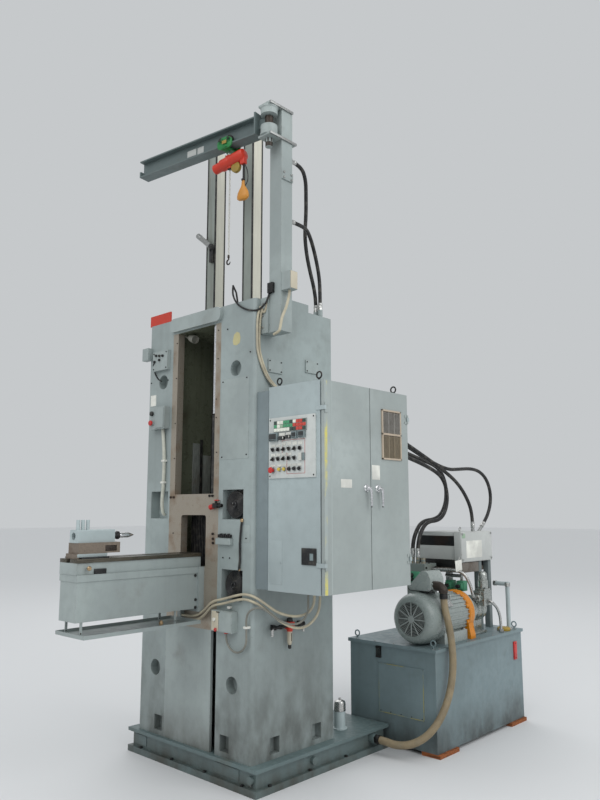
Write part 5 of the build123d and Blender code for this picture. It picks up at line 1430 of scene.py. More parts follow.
    def boxes(self) -> None:
        """Details the switch boxes, the terminal strip and the small box at the left edge."""
        (Shape()
         .block((-0.489, -0.0505, 2.257), (-0.310, -0.046, 2.422), 0.0015)
         .block((-0.412, -0.056, 2.266), (-0.318, -0.0500, 2.412), 0.0015)
         .block((0.2505, -0.0505, 0.9165), (0.4495, -0.046, 1.0455), 0.0015)
         .block((0.330, -0.0555, 0.922), (0.444, -0.0500, 1.040), 0.0015)
         .block((-0.614, -0.045, 2.790), (-0.540, 0.0, 2.885), 0.004)
         .done("switch_box_covers", MACHINE_PAINT))
        (Shape()
         .block((0.256, -0.0528, 0.921), (0.322, -0.0500, 1.041), 0.001)
         .done("switch_box_plate", CREAM_PAINT))
        (Shape()
         .rod(0.011, (0.289, -0.0525, 0.99), (0.289, -0.0665, 0.99), 0.002)
         .block((0.372, -0.024, 1.060), (0.394, -0.002, 1.074), 0.001)
         .done("white_buttons", WHITE_PLASTIC))
        black = Shape()
        black.rod(0.017, (-0.452, -0.050, 2.375), (-0.452, -0.068, 2.375), 0.003)
        for x, z in ((-0.452, 2.812), (-0.412, 2.806), (-0.412, 2.775), (-0.372, 2.802), (-0.470, 2.768)):
            black.rod(0.0095, (x, -0.030, z), (x, -0.043, z), 0.002, 18)
        for k in range(7):
            x = 0.262 + 0.0185 * k
            black.block((x, -0.018, 1.500), (x + 0.011, -0.0005, 1.520 + 0.006 * (k % 2)), 0.001)
        black.block((0.305, -0.0575, 1.034), (0.338, -0.0515, 1.040), 0.001)
        black.done("black_knobs", BLACK_PLASTIC)
        (Shape()
         .turned(((0.012, 0.0), (0.012, 0.010), (0.019, 0.012), (0.020, 0.020), (0.017, 0.024)),
                 (-0.452, -0.0505, 2.305), (0, -1, 0), 24)
         .rod(0.015, (0.365, -0.023, 0.918), (0.365, -0.023, 0.906), 0.002, 6)
         .turned(((0.011, 0.0), (0.013, 0.006), (0.010, 0.012)), (0.299, -0.0505, 0.927), (0, -1, 0), 6)
         .done("red_buttons", RED_PLASTIC))

    def screws(self) -> None:
        """Puts the small screws on the column's front, its plates and its machined frame."""
        front = [((x, -0.001, z), (0, -1, 0)) for x, z in (
            (0.274, 2.530), (0.510, 2.534), (0.274, 2.024), (0.512, 2.031), (0.313, 2.890), (0.540, 2.700),
            (-0.340, 2.62), (-0.545, 2.62), (0.300, 1.372), (0.365, 1.372), (0.519, 1.500))]
        front += [((x, -0.030, z), (0, -1, 0)) for x in (-0.483, -0.333) for z in (2.711, 2.828)]
        self.workshop.screws("column_screws", front, 0.009, DARK_STEEL, head=Head.SOCKET)
        face = [((x, 0.0, z), (0, -1, 0)) for x, z in (
            (-0.242, 2.291), (0.208, 2.296), (0.205, 2.422), (0.217, 2.06), (-0.242, 2.04), (0.217, 2.70),
            (-0.242, 2.62), (0.217, 2.90), (-0.242, 2.88), (-0.234, 1.517), (-0.234, 1.36), (-0.234, 1.10),
            (0.180, 1.06))]
        self.workshop.screws("machined_frame_screws", face, 0.008, DARK_STEEL, head=Head.SOCKET)
        big = [((x, 0.0, z), (0, -1, 0)) for x, z in (
            (-0.270, 1.766), (-0.236, 1.766), (0.156, 1.771), (0.186, 1.771), (0.196, 1.521),
            (0.198, 1.489), (0.200, 1.462))]
        self.workshop.screws("machined_frame_bolts", big, 0.017, DARK_STEEL, head=Head.SOCKET)
        side = []
        for y0, z0 in ((0.118, 2.579), (0.482, 2.625)):
            side += [((0.588, y0 + dy, z0 + dz), (1, 0, 0)) for dy in (0.012, 0.119)
                     for dz in (0.012, 0.076)]
        side += [((0.5848, 0.08 + 0.040 * math.cos(a), 1.714 + 0.040 * math.sin(a)), (1, 0, 0))
                 for a in (0.78, 2.35, 3.93, 5.5)]
        self.workshop.screws("side_plate_screws", side, 0.009, DARK_STEEL, head=Head.SOCKET)

    def clipped_cables(self) -> None:
        """Runs the thin cables that are clipped to the column and to the jib post."""
        (Shape()
         .wire(smooth([(-0.368, -0.016, 2.262), (-0.358, -0.0135, 2.17), (-0.346, -0.0135, 2.05),
                       (-0.345, -0.0135, 1.94), (-0.348, -0.0135, 1.84), (-0.356, -0.0135, 1.74),
                       (-0.364, 0.000, 1.670), (-0.366, 0.020, 1.640)]), 0.0125)
         .done("left_box_conduit", PALE_CABLE))
        clips = Shape()
        for x, z in ((-0.345, 2.02), (-0.347, 1.865)):
            clips.block((x - 0.019, -0.0275, z), (x + 0.019, SINK, z + 0.015), 0.003)
        clips.block((0.536, -0.036, 0.955), (0.566, SINK, 0.969), 0.003)
        clips.done("cable_clips", WHITE_PLASTIC)
        (Shape()
         .wire(smooth([(0.486, -0.010, 1.609), (0.478, -0.011, 1.55), (0.470, -0.011, 1.458),
                       (0.472, -0.011, 1.37), (0.464, -0.010, 1.291), (0.462, 0.016, 1.262)]), 0.007)
         .wire(smooth([(-0.470, -0.034, 2.768), (-0.492, -0.028, 2.742), (-0.500, -0.010, 2.700),
                       (-0.470, -0.004, 2.650), (-0.430, 0.006, 2.620)]), 0.005)
         .done("black_clipped_cables", RUBBER))
        (Shape()
         .turned(((0.009, -0.010), (0.0105, -0.009), (0.0105, 0.006), (0.008, 0.010)),
                 (0.486, -0.010, 1.612), (0.1, 0, 1), 6)
         .turned(((0.008, -0.007), (0.008, 0.007)), (0.466, -0.010, 1.305), (0, 0, 1), 6)
         .done("brass_cable_ends", BRASS))
        cream = Shape()
        for shift in (0.0, 0.019):
            cream.wire(smooth([(0.600 + shift, 0.030, 3.000 - shift),
                               (0.5885 + shift * 0.3, 0.016 + shift, 2.93), (0.5885, 0.012 + shift, 2.80),
                               (0.5885, 0.020 + shift, 2.70), (0.5905, 0.060 + shift, 2.60),
                               (0.5945, 0.110 + shift, 2.525), (0.612, 0.165 + shift, 2.474),
                               (0.640, 0.205 + shift, 2.4565)]), 0.0075)
        cream.wire(smooth([(0.648, 0.064, 3.09), (0.640, 0.050, 3.02), (0.625, 0.040, 2.96),
                           (0.604, 0.032, 2.985)]), 0.0075)
        cream.done("cabinet_top_cables", CREAM_CABLE)
        (Shape()
         .wire(smooth([(0.802, 0.095, 3.085), (0.800, 0.090, 3.045), (0.790, 0.075, 2.97),
                       (0.772, 0.056, 2.90), (0.7595, 0.050, 2.83), (0.745, 0.051, 2.812),
                       (0.70, 0.054, 2.80)]), 0.009)
         .done("post_box_tail", CREAM_CABLE))

    def valve(self) -> None:
        """Makes the small valve with its red handle beside the upper disc."""
        (Shape()
         .block((0.214, -0.030, 1.690), (0.262, 0.001, 1.722), 0.004)
         .rod(0.012, (0.262, -0.016, 1.706), (0.297, -0.016, 1.706), 0.002, 18)
         .rod(0.009, (0.238, -0.016, 1.722), (0.238, -0.016, 1.738), 0.001, 14)
         .done("front_valve_body", DARK_STEEL))
        (Shape()
         .turned(((0.009, 0.0), (0.016, 0.006), (0.018, 0.030), (0.013, 0.036)), (0.214, -0.018, 1.702),
                 (-1, 0, -0.25), 20)
         .block((0.226, -0.024, 1.738), (0.266, -0.008, 1.744), 0.002)
         .done("front_valve_handle", RED_PLASTIC))

    def regulator(self) -> None:
        """Makes the air regulator on the column's side: pipe, red head, pale bowl and drain."""
        x, z, y = self.half + 0.032, 0.945, 0.300
        pipe = Shape()
        pipe.rod(0.0105, (x, 0.134, z), (x, 0.436, z), 0.001, 20)
        for at in (0.165, 0.215, 0.385, 0.425):
            pipe.rod(0.0155, (x, at - 0.009, z), (x, at + 0.009, z), 0.002, 6)
        for at in (0.168, 0.410):
            pipe.block((self.half - 0.0005, at - 0.011, z - 0.016), (x - 0.006, at + 0.011, z + 0.016),
                       0.003)
        pipe.turned(((0.017, 0.0), (0.020, 0.004), (0.018, 0.022), (0.010, 0.026)), (x, y, z + 0.024),
                    (0, 0, 1), 24)
        pipe.turned(((0.011, 0.0), (0.011, 0.018), (0.007, 0.024)), (x, y, z - 0.119), (0, 0, -1), 18)
        pipe.done("regulator_pipework", DARK_STEEL, replaces=("air_regulator",))
        (Shape()
         .block((x - 0.024, y - 0.025, z - 0.022), (x + 0.022, y + 0.025, z + 0.025), 0.006)
         .rod(0.0185, (x, y, z - 0.036), (x, y, z - 0.020), 0.002, 24)
         .done("regulator_head", RED_PAINT))
        (Shape()
         .turned(((0.0165, 0.0), (0.0165, 0.060), (0.013, 0.078), (0.008, 0.085)), (x, y, z - 0.034),
                 (0, 0, -1), 28)
         .done("regulator_bowl", CREAM_PAINT))
        (Shape()
         .block((x + 0.0145, y - 0.003, z - 0.095), (x + 0.0172, y + 0.003, z - 0.045), 0.001)
         .done("regulator_sight", BLACK_PLASTIC))
        elbows = Shape()
        for at, way in ((0.146, -1.0), (0.424, 1.0)):
            elbows.wire([(x, at + 0.010 * -way, z), (x, at, z - 0.003), (x, at + 0.004 * way, z - 0.014),
                         (x, at + 0.004 * way, z - 0.050)], 0.0095, sides=14)
        elbows.done("regulator_elbows", BRIGHT_STEEL)


@dataclass
class GuidePosts:
    """Dark strips, base bolts and the lamp of the two posts on the column's top."""

    workshop: Workshop
    post_x: tuple[float, float] = (-0.2075, 0.2075)
    post_y: float = 0.3175
    half: float = 0.0475
    low: float = 3.10
    top: float = 4.4495

    def build(self) -> None:
        """Makes the strips, the bolts and the lamp."""
        strips = Shape()
        for x in self.post_x:
            for dx, dy in ((-1, -1), (1, -1), (1, 1), (-1, 1)):
                cx, cy = x + dx * (self.half - 0.0015), self.post_y + dy * (self.half - 0.0015)
                strips.block((cx - 0.0055, cy - 0.0055, self.low), (cx + 0.0055, cy + 0.0055, self.top),
                             0.002)
        strips.done("guide_post_strips", RUBBER)
        feet = Shape()
        for x in self.post_x:
            feet.block((x - 0.0645, self.post_y - 0.0645, 3.0602),
                       (x + 0.0645, self.post_y + 0.0645, 3.0995), 0.002)
        feet.done("guide_post_feet", BLACK_ENAMEL)
        seats = [((x + dx * 0.055, self.post_y + dy * 0.055, 3.10), (0, 0, 1)) for x in self.post_x
                 for dx in (-1, 1) for dy in (-1, 1)]
        self.workshop.screws("guide_post_bolts", seats, 0.014, DARK_STEEL, head=Head.SOCKET)
        self.lamp()

    def lamp(self) -> None:
        """Makes the tube lamp on the left-hand post."""
        start, end = Vector((-0.167, 0.240, 3.663)), Vector((-0.331, 0.240, 3.795))
        way = (end - start).normalized()
        (Shape()
         .turned(((0.017, 0.0), (0.0215, 0.006), (0.0215, 0.150), (0.0195, 0.154), (0.0215, 0.158),
                  (0.0215, 0.205), (0.018, 0.210), (0.016, 0.203)), start, way, 28)
         .done("work_lamp_tube", GALVANISED, replaces=("work_lamp",)))
        (Shape()
         .block((-0.195, 0.240, 3.545), (-0.167, 0.270, 3.655), 0.004)
         .block((-0.186, 0.232, 3.63), (-0.176, 0.250, 3.69), 0.002)
         .turned(((0.019, -0.014), (0.023, -0.010), (0.023, 0.012)), start, way, 20)
         .done("work_lamp_holder", BLACK_PLASTIC))


# ---------------------------------------------------------------- jib crane and hoist


@dataclass
class JibCrane:
    """Fasteners and bare plates of the jib post and its arm."""

    workshop: Workshop
    pivot: tuple[float, float] = (0.7045, -0.006)
    turn: float = 7.5
    arm_low: float = 4.170
    arm_end: float = 1.210

    def build(self) -> None:
        """Makes the post's and the arm's details."""
        self.post()
        self.arm()

    def along(self, distance: float, side: float, z: float) -> Vector:
        """A point given along the arm, beside its middle and at a height."""
        a = math.radians(self.turn)
        way, across = Vector((-math.cos(a), -math.sin(a), 0)), Vector((math.sin(a), -math.cos(a), 0))
        return Vector((*self.pivot, 0)) + way * distance + across * side + Vector((0, 0, z))

    def post(self) -> None:
        """Bolts the bearings and covers the cable box."""
        px, py = self.pivot
        seats = [((px + dx, 0.1105 + dy, 4.362), (0, 0, 1)) for dx in (-0.035, 0.035)
                 for dy in (-0.034, 0.034)]
        seats += [((0.606, 0.046, z), (0, -1, 0)) for z in (2.86, 2.94, 3.02)]
        seats += [((0.767, y, z), (1, 0, 0)) for y in (0.075, 0.146) for z in (3.865, 3.901)]
        self.workshop.screws("jib_post_bolts", seats, 0.014, GALVANISED)
        rings = Shape()
        for z, way in ((4.1435, 1), (4.3485, -1)):
            rings.turned(((0.0575, 0.0), (0.0615, 0.001), (0.0615, 0.011), (0.0572, 0.016)), (px, py, z),
                         (0, 0, way), 40)
        rings.turned(((0.0572, 0.0), (0.0578, 0.004), (0.052, 0.012)), (px, py, 4.2055), (0, 0, 1), 40)
        rings.done("jib_bearing_rings", MACHINE_PAINT)
        trim = Shape()
        for back, low in ((0.196, 4.1285), (0.162, 4.3465)):
            trim.block((0.7605, -0.0545, low), (0.7695, back, low + 0.017), 0.001)
        trim.done("bearing_plate_edges", GALVANISED)
        (Shape()
         .turned(((0.0255, 0.0), (0.0262, 0.002), (0.0262, 0.024), (0.0255, 0.026)), (px, py, 4.100),
                 (0, 0, 1), 6)
         .turned(((0.0245, 0.0), (0.0252, 0.002), (0.0252, 0.018), (0.020, 0.0235)), (px, py, 4.362),
                 (0, 0, 1), 6)
         .turned(((0.0245, 0.0), (0.0245, 0.030)), (px, py, 4.0685), (0, 0, 1), 28)
         .done("jib_pin_nuts", BROWN_STEEL))
        (Shape()
         .block((0.838, 0.064, 3.088), (0.8425, 0.126, 3.202), 0.002)
         .done("post_box_cover", CREAM_PAINT))
        glands = Shape()
        for x, z in ((0.700, 4.050), (0.690, 3.620)):
            glands.turned(((0.0235, 0.0), (0.0235, 0.010)), (x, 0.163, z), (0, 1, 0), 6)
            glands.turned(((0.022, 0.0), (0.022, 0.008)), (x, 0.192, z), (0, 1, 0), 6)
        glands.done("post_gland_nuts", BRASS)
        (Shape()
         .wire(smooth([(0.348, 0.010, 3.194), (0.352, 0.004, 3.150), (0.372, -0.008, 3.110),
                       (0.402, -0.010, 3.062), (0.450, -0.010, 3.020), (0.520, -0.009, 2.985),
                       (0.590, 0.010, 2.975), (0.640, 0.030, 3.010), (0.655, 0.046, 3.060),
                       (0.664, 0.052, 3.110)]), 0.0065)
         .wire([(0.348, 0.010, 3.190), (0.347, 0.040, 3.150), (0.346, 0.060, 3.064)], 0.0065)
         .done("column_top_cable", RUBBER))
        (Shape()
         .block((0.652, 0.036, 3.080), (0.700, 0.060, 3.150), 0.004)
         .block((0.330, 0.040, 3.058), (0.362, 0.074, 3.078), 0.003)
         .done("column_top_entries", DARK_STEEL))

    def arm(self) -> None:
        """Adds the arm's bare plates, the sleeve on its pin and the bolts in its end."""
        a = math.radians(self.turn)
        place = Matrix.Translation(self.along(0.590, 0.0039, 4.206)) @ Matrix(
            ((-math.cos(a), 0, math.sin(a), 0), (-math.sin(a), 0, -math.cos(a), 0), (0, 1, 0, 0),
             (0, 0, 0, 1)))
        (Shape()
         .block((0.0, 0.0, 0.0), (0.060, 0.050, 0.0014), 0.0004, place)
         .block((0.072, 0.004, 0.0), (0.160, 0.052, 0.0014), 0.0004, place)
         .done("arm_bare_plates", WHITE_PAINT, Body.JIB))
        (Shape()
         .turned(((0.0272, 0.0), (0.0280, 0.001), (0.0280, 0.067), (0.0272, 0.068)),
                 self.along(0, 0, 4.2165), (0, 0, 1), 28)
         .done("arm_shaft_sleeve", BROWN_STEEL, Body.JIB))
        way = self.along(1, 0, 0) - self.along(0, 0, 0)
        seats = [(self.along(self.arm_end, side * 0.029, self.arm_low + 0.029), way) for side in (-1, 1)]
        self.workshop.screws("arm_end_bolts", seats, 0.014, DARK_STEEL, Body.JIB)


@dataclass
class Hoist:
    """Trolley, chain hoist, load chain, hook and hanging block."""

    workshop: Workshop
    crane: JibCrane
    middle: float = 0.352
    axle: float = 4.061
    wheel_z: float = 4.2083
    cheek_low: float = 4.143
    low: float = 4.011
    lean: float = math.radians(9)
    chain_at: float = 0.342
    chain_low: float = 3.378
    block_at: float = 0.221

    def build(self) -> None:
        """Makes each piece of the hoist."""
        self.trolley()
        self.body()
        self.chain()
        self.block()

    def frame(self, distance: float, side: float, z: float) -> Matrix:
        """A frame on the arm: X along it, Y across it and Z up."""
        a = math.radians(self.crane.turn)
        turn = Matrix(((-math.cos(a), math.sin(a), 0, 0), (-math.sin(a), -math.cos(a), 0, 0), (0, 0, 1, 0),
                       (0, 0, 0, 1)))
        return Matrix.Translation(self.crane.along(distance, side, z)) @ turn

    def trolley(self) -> None:
        """Rounds the trolley's cheeks and adds its wheels and hanger."""
        green, caps = Shape(), Shape()
        mid = self.middle
        outline = [(-0.066, 0.028), (-0.056, 0.008), (-0.034, 0.0), (0.034, 0.0), (0.056, 0.008),
                   (0.066, 0.028), (0.066, 0.058), (0.052, 0.078), (0.030, 0.087), (-0.030, 0.087),
                   (-0.052, 0.078), (-0.066, 0.058)]
        for side in (-1, 1):
            turn = self.frame(mid, side * 0.050, self.cheek_low) @ Matrix.Rotation(math.pi / 2, 4, "X")
            if side < 0:
                turn = turn @ Matrix.Translation((0, 0, -0.008))
            green.slab(outline, turn, 0.008, 0.002)
            for k in (-0.037, 0.037):
                inner = self.frame(mid + k, side * 0.0245, self.wheel_z)
                caps.turned(((0.026, 0.0), (0.0278, 0.003), (0.0278, 0.020), (0.024, 0.0255)),
                            inner.translation, inner.to_3x3() @ Vector((0, side, 0)), 28)
                seat = self.frame(mid + k, side * 0.058, self.wheel_z)
                caps.turned(((0.009, 0.0), (0.009, 0.003), (0.006, 0.004)), seat.translation,
                            seat.to_3x3() @ Vector((0, side, 0)), 16)
        green.block((-0.030, -0.050, self.cheek_low), (0.030, 0.050, self.cheek_low + 0.016), 0.003,
                    self.frame(mid, 0, 0))
        green.done("trolley_cheeks", GREEN_PAINT, Body.TROLLEY, ("trolley",))
        caps.done("trolley_wheels", TROLLEY_WHEEL, Body.TROLLEY)
        (Shape()
         .block((-0.024, 0.0575, 4.176), (0.016, 0.0592, 4.200), 0.0006, self.frame(mid, 0, 0))
         .done("trolley_bare_plate", YELLOW_BROWN, Body.TROLLEY))

    def body(self) -> None:
        """Turns the red hoist body, thin at one end and leaning as it hangs, with its gear cover."""
        thin = 0.133
        place = self.frame(self.middle, 0, 0)
        turn = place.to_3x3()
        start = place @ Vector((thin * math.cos(self.lean), 0, self.axle - thin * math.sin(self.lean)))
        way = turn @ Vector((-math.cos(self.lean), 0, math.sin(self.lean)))
        (Shape()
         .turned(((0.020, 0.0), (0.030, 0.003), (0.034, 0.008), (0.034, 0.0712), (0.0405, 0.072),
                  (0.042, 0.076), (0.042, 0.150), (0.0405, 0.153), (0.0405, 0.158), (0.042, 0.161),
                  (0.042, 0.262), (0.038, 0.274), (0.026, 0.280)), start, way, 40)
         .block((-0.020, -0.014, 4.083), (0.020, 0.014, 4.112), 0.003, place)
         .block((-0.030, -0.016, self.low), (0.010, 0.016, 4.045), 0.004, place)
         .block((-0.151, -0.016, self.low), (-0.111, 0.016, 4.060), 0.004, place)
         .done("hoist_shell", RED_PAINT, Body.TROLLEY, ("hoist_body",)))
        (Shape()
         .block((-0.022, -0.012, self.low - 0.007), (0.002, 0.012, self.low + 0.0015), 0.002, place)
         .done("hoist_chain_guide", DARK_STEEL, Body.TROLLEY))
        (Shape()
         .rod(0.009, place @ Vector((0, 0, 4.108)), place @ Vector((0, 0, self.cheek_low + 0.004)), 0.001,
              16)
         .turned(((0.014, 0.0), (0.014, 0.010)), place @ Vector((0, 0, 4.112)), (0, 0, 1), 6)
         .done("hoist_hanger", BRIGHT_STEEL, Body.TROLLEY))
        (Shape()
         .turned(((0.036, 0.0), (0.038, 0.002), (0.038, 0.006), (0.033, 0.009), (0.033, 0.017),
                  (0.038, 0.020), (0.038, 0.024), (0.036, 0.026)), place @ Vector((-0.068, -0.013, 4.006)),
                 turn @ Vector((0, 1, 0)), 20)
         .done("hoist_gear_cover", YELLOW_BROWN, Body.TROLLEY))

    def chain(self) -> None:
        """Hangs the load chain with its hook."""
        link = Shape()
        half, wire = 0.0088, 0.0021
        oval = []
        for k in range(14):
            a = math.tau * k / 14
            oval.append((0.0056 * math.cos(a), 0.0, half * math.sin(a) + math.copysign(0.0038, math.sin(a))
                         if abs(math.sin(a)) > 1e-6 else 0.0))
        link.wire(oval, wire, closed=True, sides=6)
        source = bpy.data.meshes.new("chain_start")
        top = self.crane.along(self.chain_at, 0, self.low - 0.007)
        pitch = 0.0205
        count = int((self.low - 0.017 - self.chain_low) / pitch) + 1
        self.workshop.row.grow("load_chain_links", source, link.template("chain_link"), CHAIN_STEEL,
                               Body.TROLLEY, {"Count": count, "Start": top - Vector((0, 0, 0.008)),
                                              "Step": Vector((0, 0, -pitch)),
                                              "Twist": Vector((0, 0, math.pi / 2))}, ("load_chain",))
        hook = Shape()
        place = self.frame(self.chain_at, 0, self.chain_low)
        hook.turned(((0.0045, 0.0), (0.0075, -0.003), (0.0078, -0.020), (0.0055, -0.024)),
                    place.translation + Vector((0, 0, 0.012)), (0, 0, 1), 16)
        path, radii = [], []
        for k in range(15):
            a = math.radians(100 - 20 * k)
            path.append(place @ Vector((0.0145 * math.cos(a), 0, -0.0385 + 0.0165 * math.sin(a))))
            radii.append(0.0030 + 0.0028 * math.sin(math.pi * min(1.0, (k + 2) / 15)))
        path.insert(0, place @ Vector((-0.001, 0, -0.012)))
        radii.insert(0, 0.004)
        hook.wire(path, 0.004, sides=10, radii=radii)
        hook.done("load_hook", DARK_STEEL, Body.TROLLEY)

    def block(self) -> None:
        """Makes the ochre block that hangs under the hoist's thick end."""
        place = self.frame(self.block_at, 0, 0)
        top = 3.898
        bell = Shape()
        outline = ((0.008, 0.0), (0.012, 0.008), (0.014, 0.032), (0.020, 0.050), (0.034, 0.072),
                   (0.045, 0.092), (0.050, 0.116), (0.048, 0.132), (0.036, 0.142), (0.012, 0.145))
        bell.turned(outline, place @ Vector((0, 0, top)), (0, 0, -1), 28)
        squash = place @ Matrix.Diagonal((1.0, 0.44, 1.0, 1.0)) @ place.inverted()
        bmesh.ops.transform(bell.mesh, matrix=squash, verts=bell.mesh.verts)
        bell.done("hanging_block", HOOK_PAINT, Body.TROLLEY, ("hook_block",))
        (Shape()
         .wire([place @ Vector((0.0, 0, self.low + 0.002)), place @ Vector((0.0, 0, top - 0.004))], 0.0048,
               sides=12)
         .wire(smooth([place @ Vector(p) for p in ((-0.010, 0, 4.014), (-0.032, 0.0, 3.968),
                                                   (-0.042, 0, 3.915), (-0.036, 0, 3.874),
                                                   (-0.018, 0, 3.852))]), 0.0035, sides=8)
         .turned(((0.013, 0.0), (0.013, 0.010)), place @ Vector((0, 0, top - 0.004)), (0, 0, 1), 20)
         .done("hanging_block_bail", RUBBER, Body.TROLLEY))


# ---------------------------------------------------------------- work bed and tailstock


@dataclass
class WorkBed:
    """Ways, knobs and fasteners of the work bed and its tray."""

    workshop: Workshop

    def build(self) -> None:
        """Makes the bed's details."""
        knob = Shape()
        for s in (1, -1):
            knob.turned(((0.006, 0.0), (0.006, 0.010), (0.012, 0.012), (0.014, 0.022), (0.010, 0.028)),
                        (s * 0.0975, -0.862, 1.342), (s, 0, 0), 22)
        knob.done("bed_knobs", BRASS)
        (Shape()
         .block((0.0905, -0.815, 1.306), (0.0985, -0.735, 1.336), 0.002)
         .done("bed_dark_plate", DARK_STEEL))
        seats = [((s * 0.092, y, z), (s, 0, 0)) for s in (-1, 1)
                 for y, z in ((-0.060, 1.250), (-0.055, 1.095), (-0.055, 1.046))]
        self.workshop.screws("bed_bolts", seats, 0.016, BLACK_ENAMEL)
        (Shape()
         .block((-0.0945, -0.9323, 1.3055), (0.0945, -0.930, 1.3715), 0.0004)
         .done("ways_end_cover", MACHINE_PAINT))
        self.ways()
        (Shape()
         .turned(((0.010, 0.0), (0.010, 0.008), (0.014, 0.008), (0.014, 0.022), (0.009, 0.022),
                  (0.009, 0.030)), (0.120, -0.345, 0.966), (0, 0, 1), 6)
         .done("tray_drain_union", BRASS))
        tab = Shape()
        for y in (-0.88, -0.21):
            for s in (-1, 1):
                tab.rod(0.0065, (s * 0.082, y - 0.001, 0.972), (s * 0.082, y - 0.001, 0.980), 0.001, 6)
        tab.done("hanger_nuts", DARK_STEEL)

    def ways(self) -> None:
        """Splits the ways into their light side and the dark rail with its slot, whose dark tone is partly
        oil and partly painted shadow along the top edge.
        """
        front, back, ledge, under, top = -0.932, -0.012, 1.305, 1.372, 1.395
        half, slot, floor = 0.095, 0.020, 1.365
        side = Shape()
        side.block((-0.0882, front, ledge), (0.0882, back, floor), 0.001)
        # The rail's dark finish is partly painted shadow of the top edge.
        rail = Shape()
        for s in (-1, 1):
            near, far = sorted((s * slot, s * 0.0882))
            side.block((near, front, floor - 0.001), (far, back, under + 0.0004))
            near, far = sorted((s * slot, s * half))
            rail.block((near, front, under), (far, back, top), 0.0008)
        side.done("bed_way_side", MACHINE_PAINT, replaces=("bed_ways",))
        rail.done("bed_rail", OILY_SHADED_RAIL)


@dataclass
class Tailstock:
    """Quill, centre and clamps of the tailstock."""

    workshop: Workshop
    axis_z: float = 1.5233

    def build(self) -> None:
        """Makes the tailstock's details."""
        quill = Shape()
        z = self.axis_z
        quill.turned(((0.0216, 0.0), (0.0218, 0.002), (0.0218, 0.247)), (0, -0.860, z), (0, 1, 0), 32)
        quill.turned(((0.0235, 0.0), (0.0248, 0.002), (0.0248, 0.012), (0.0228, 0.014)), (0, -0.613, z),
                     (0, 1, 0), 36)
        quill.done("quill_collar", DARK_STEEL, Body.QUILL, ("tailstock_quill",))
        (Shape()
         .turned(((0.0162, 0.0), (0.0165, 0.002), (0.0165, 0.064), (0.0150, 0.074), (0.0110, 0.088),
                  (0.0050, 0.104), (0.0012, 0.1115)), (0, -0.5995, z), (0, 1, 0), 32)
         .done("live_centre", CHROME, Body.QUILL))
        clamp = Shape()
        for s in (-1, 1):
            near, far = sorted((s * 0.0638, s * 0.0652))
            clamp.block((near, -0.9125, 1.4035), (far, -0.7135, 1.4225), 0.0004)
        clamp.done("sled_bright_strips", CABINET_PAINT, Body.TAILSTOCK)
        under = Shape()
        for s in (-1, 1):
            near, far = sorted((s * 0.0635, s * 0.0940))
            under.block((near, -0.900, 1.3958), (far, -0.716, 1.4044), 0.001)
        under.done("sled_clamp_plates", DARK_STEEL, Body.TAILSTOCK)
        (Shape()
         .block((0.040, -0.721, 1.4355), (0.0565, -0.648, 1.4655), 0.003)
         .rod(0.009, (0.0560, -0.684, 1.4505), (0.0600, -0.684, 1.4505), 0.001, 6)
         .done("saddle_clamp", BROWN_STEEL, Body.TAILSTOCK))


# ---------------------------------------------------------------- cabinet and its panel


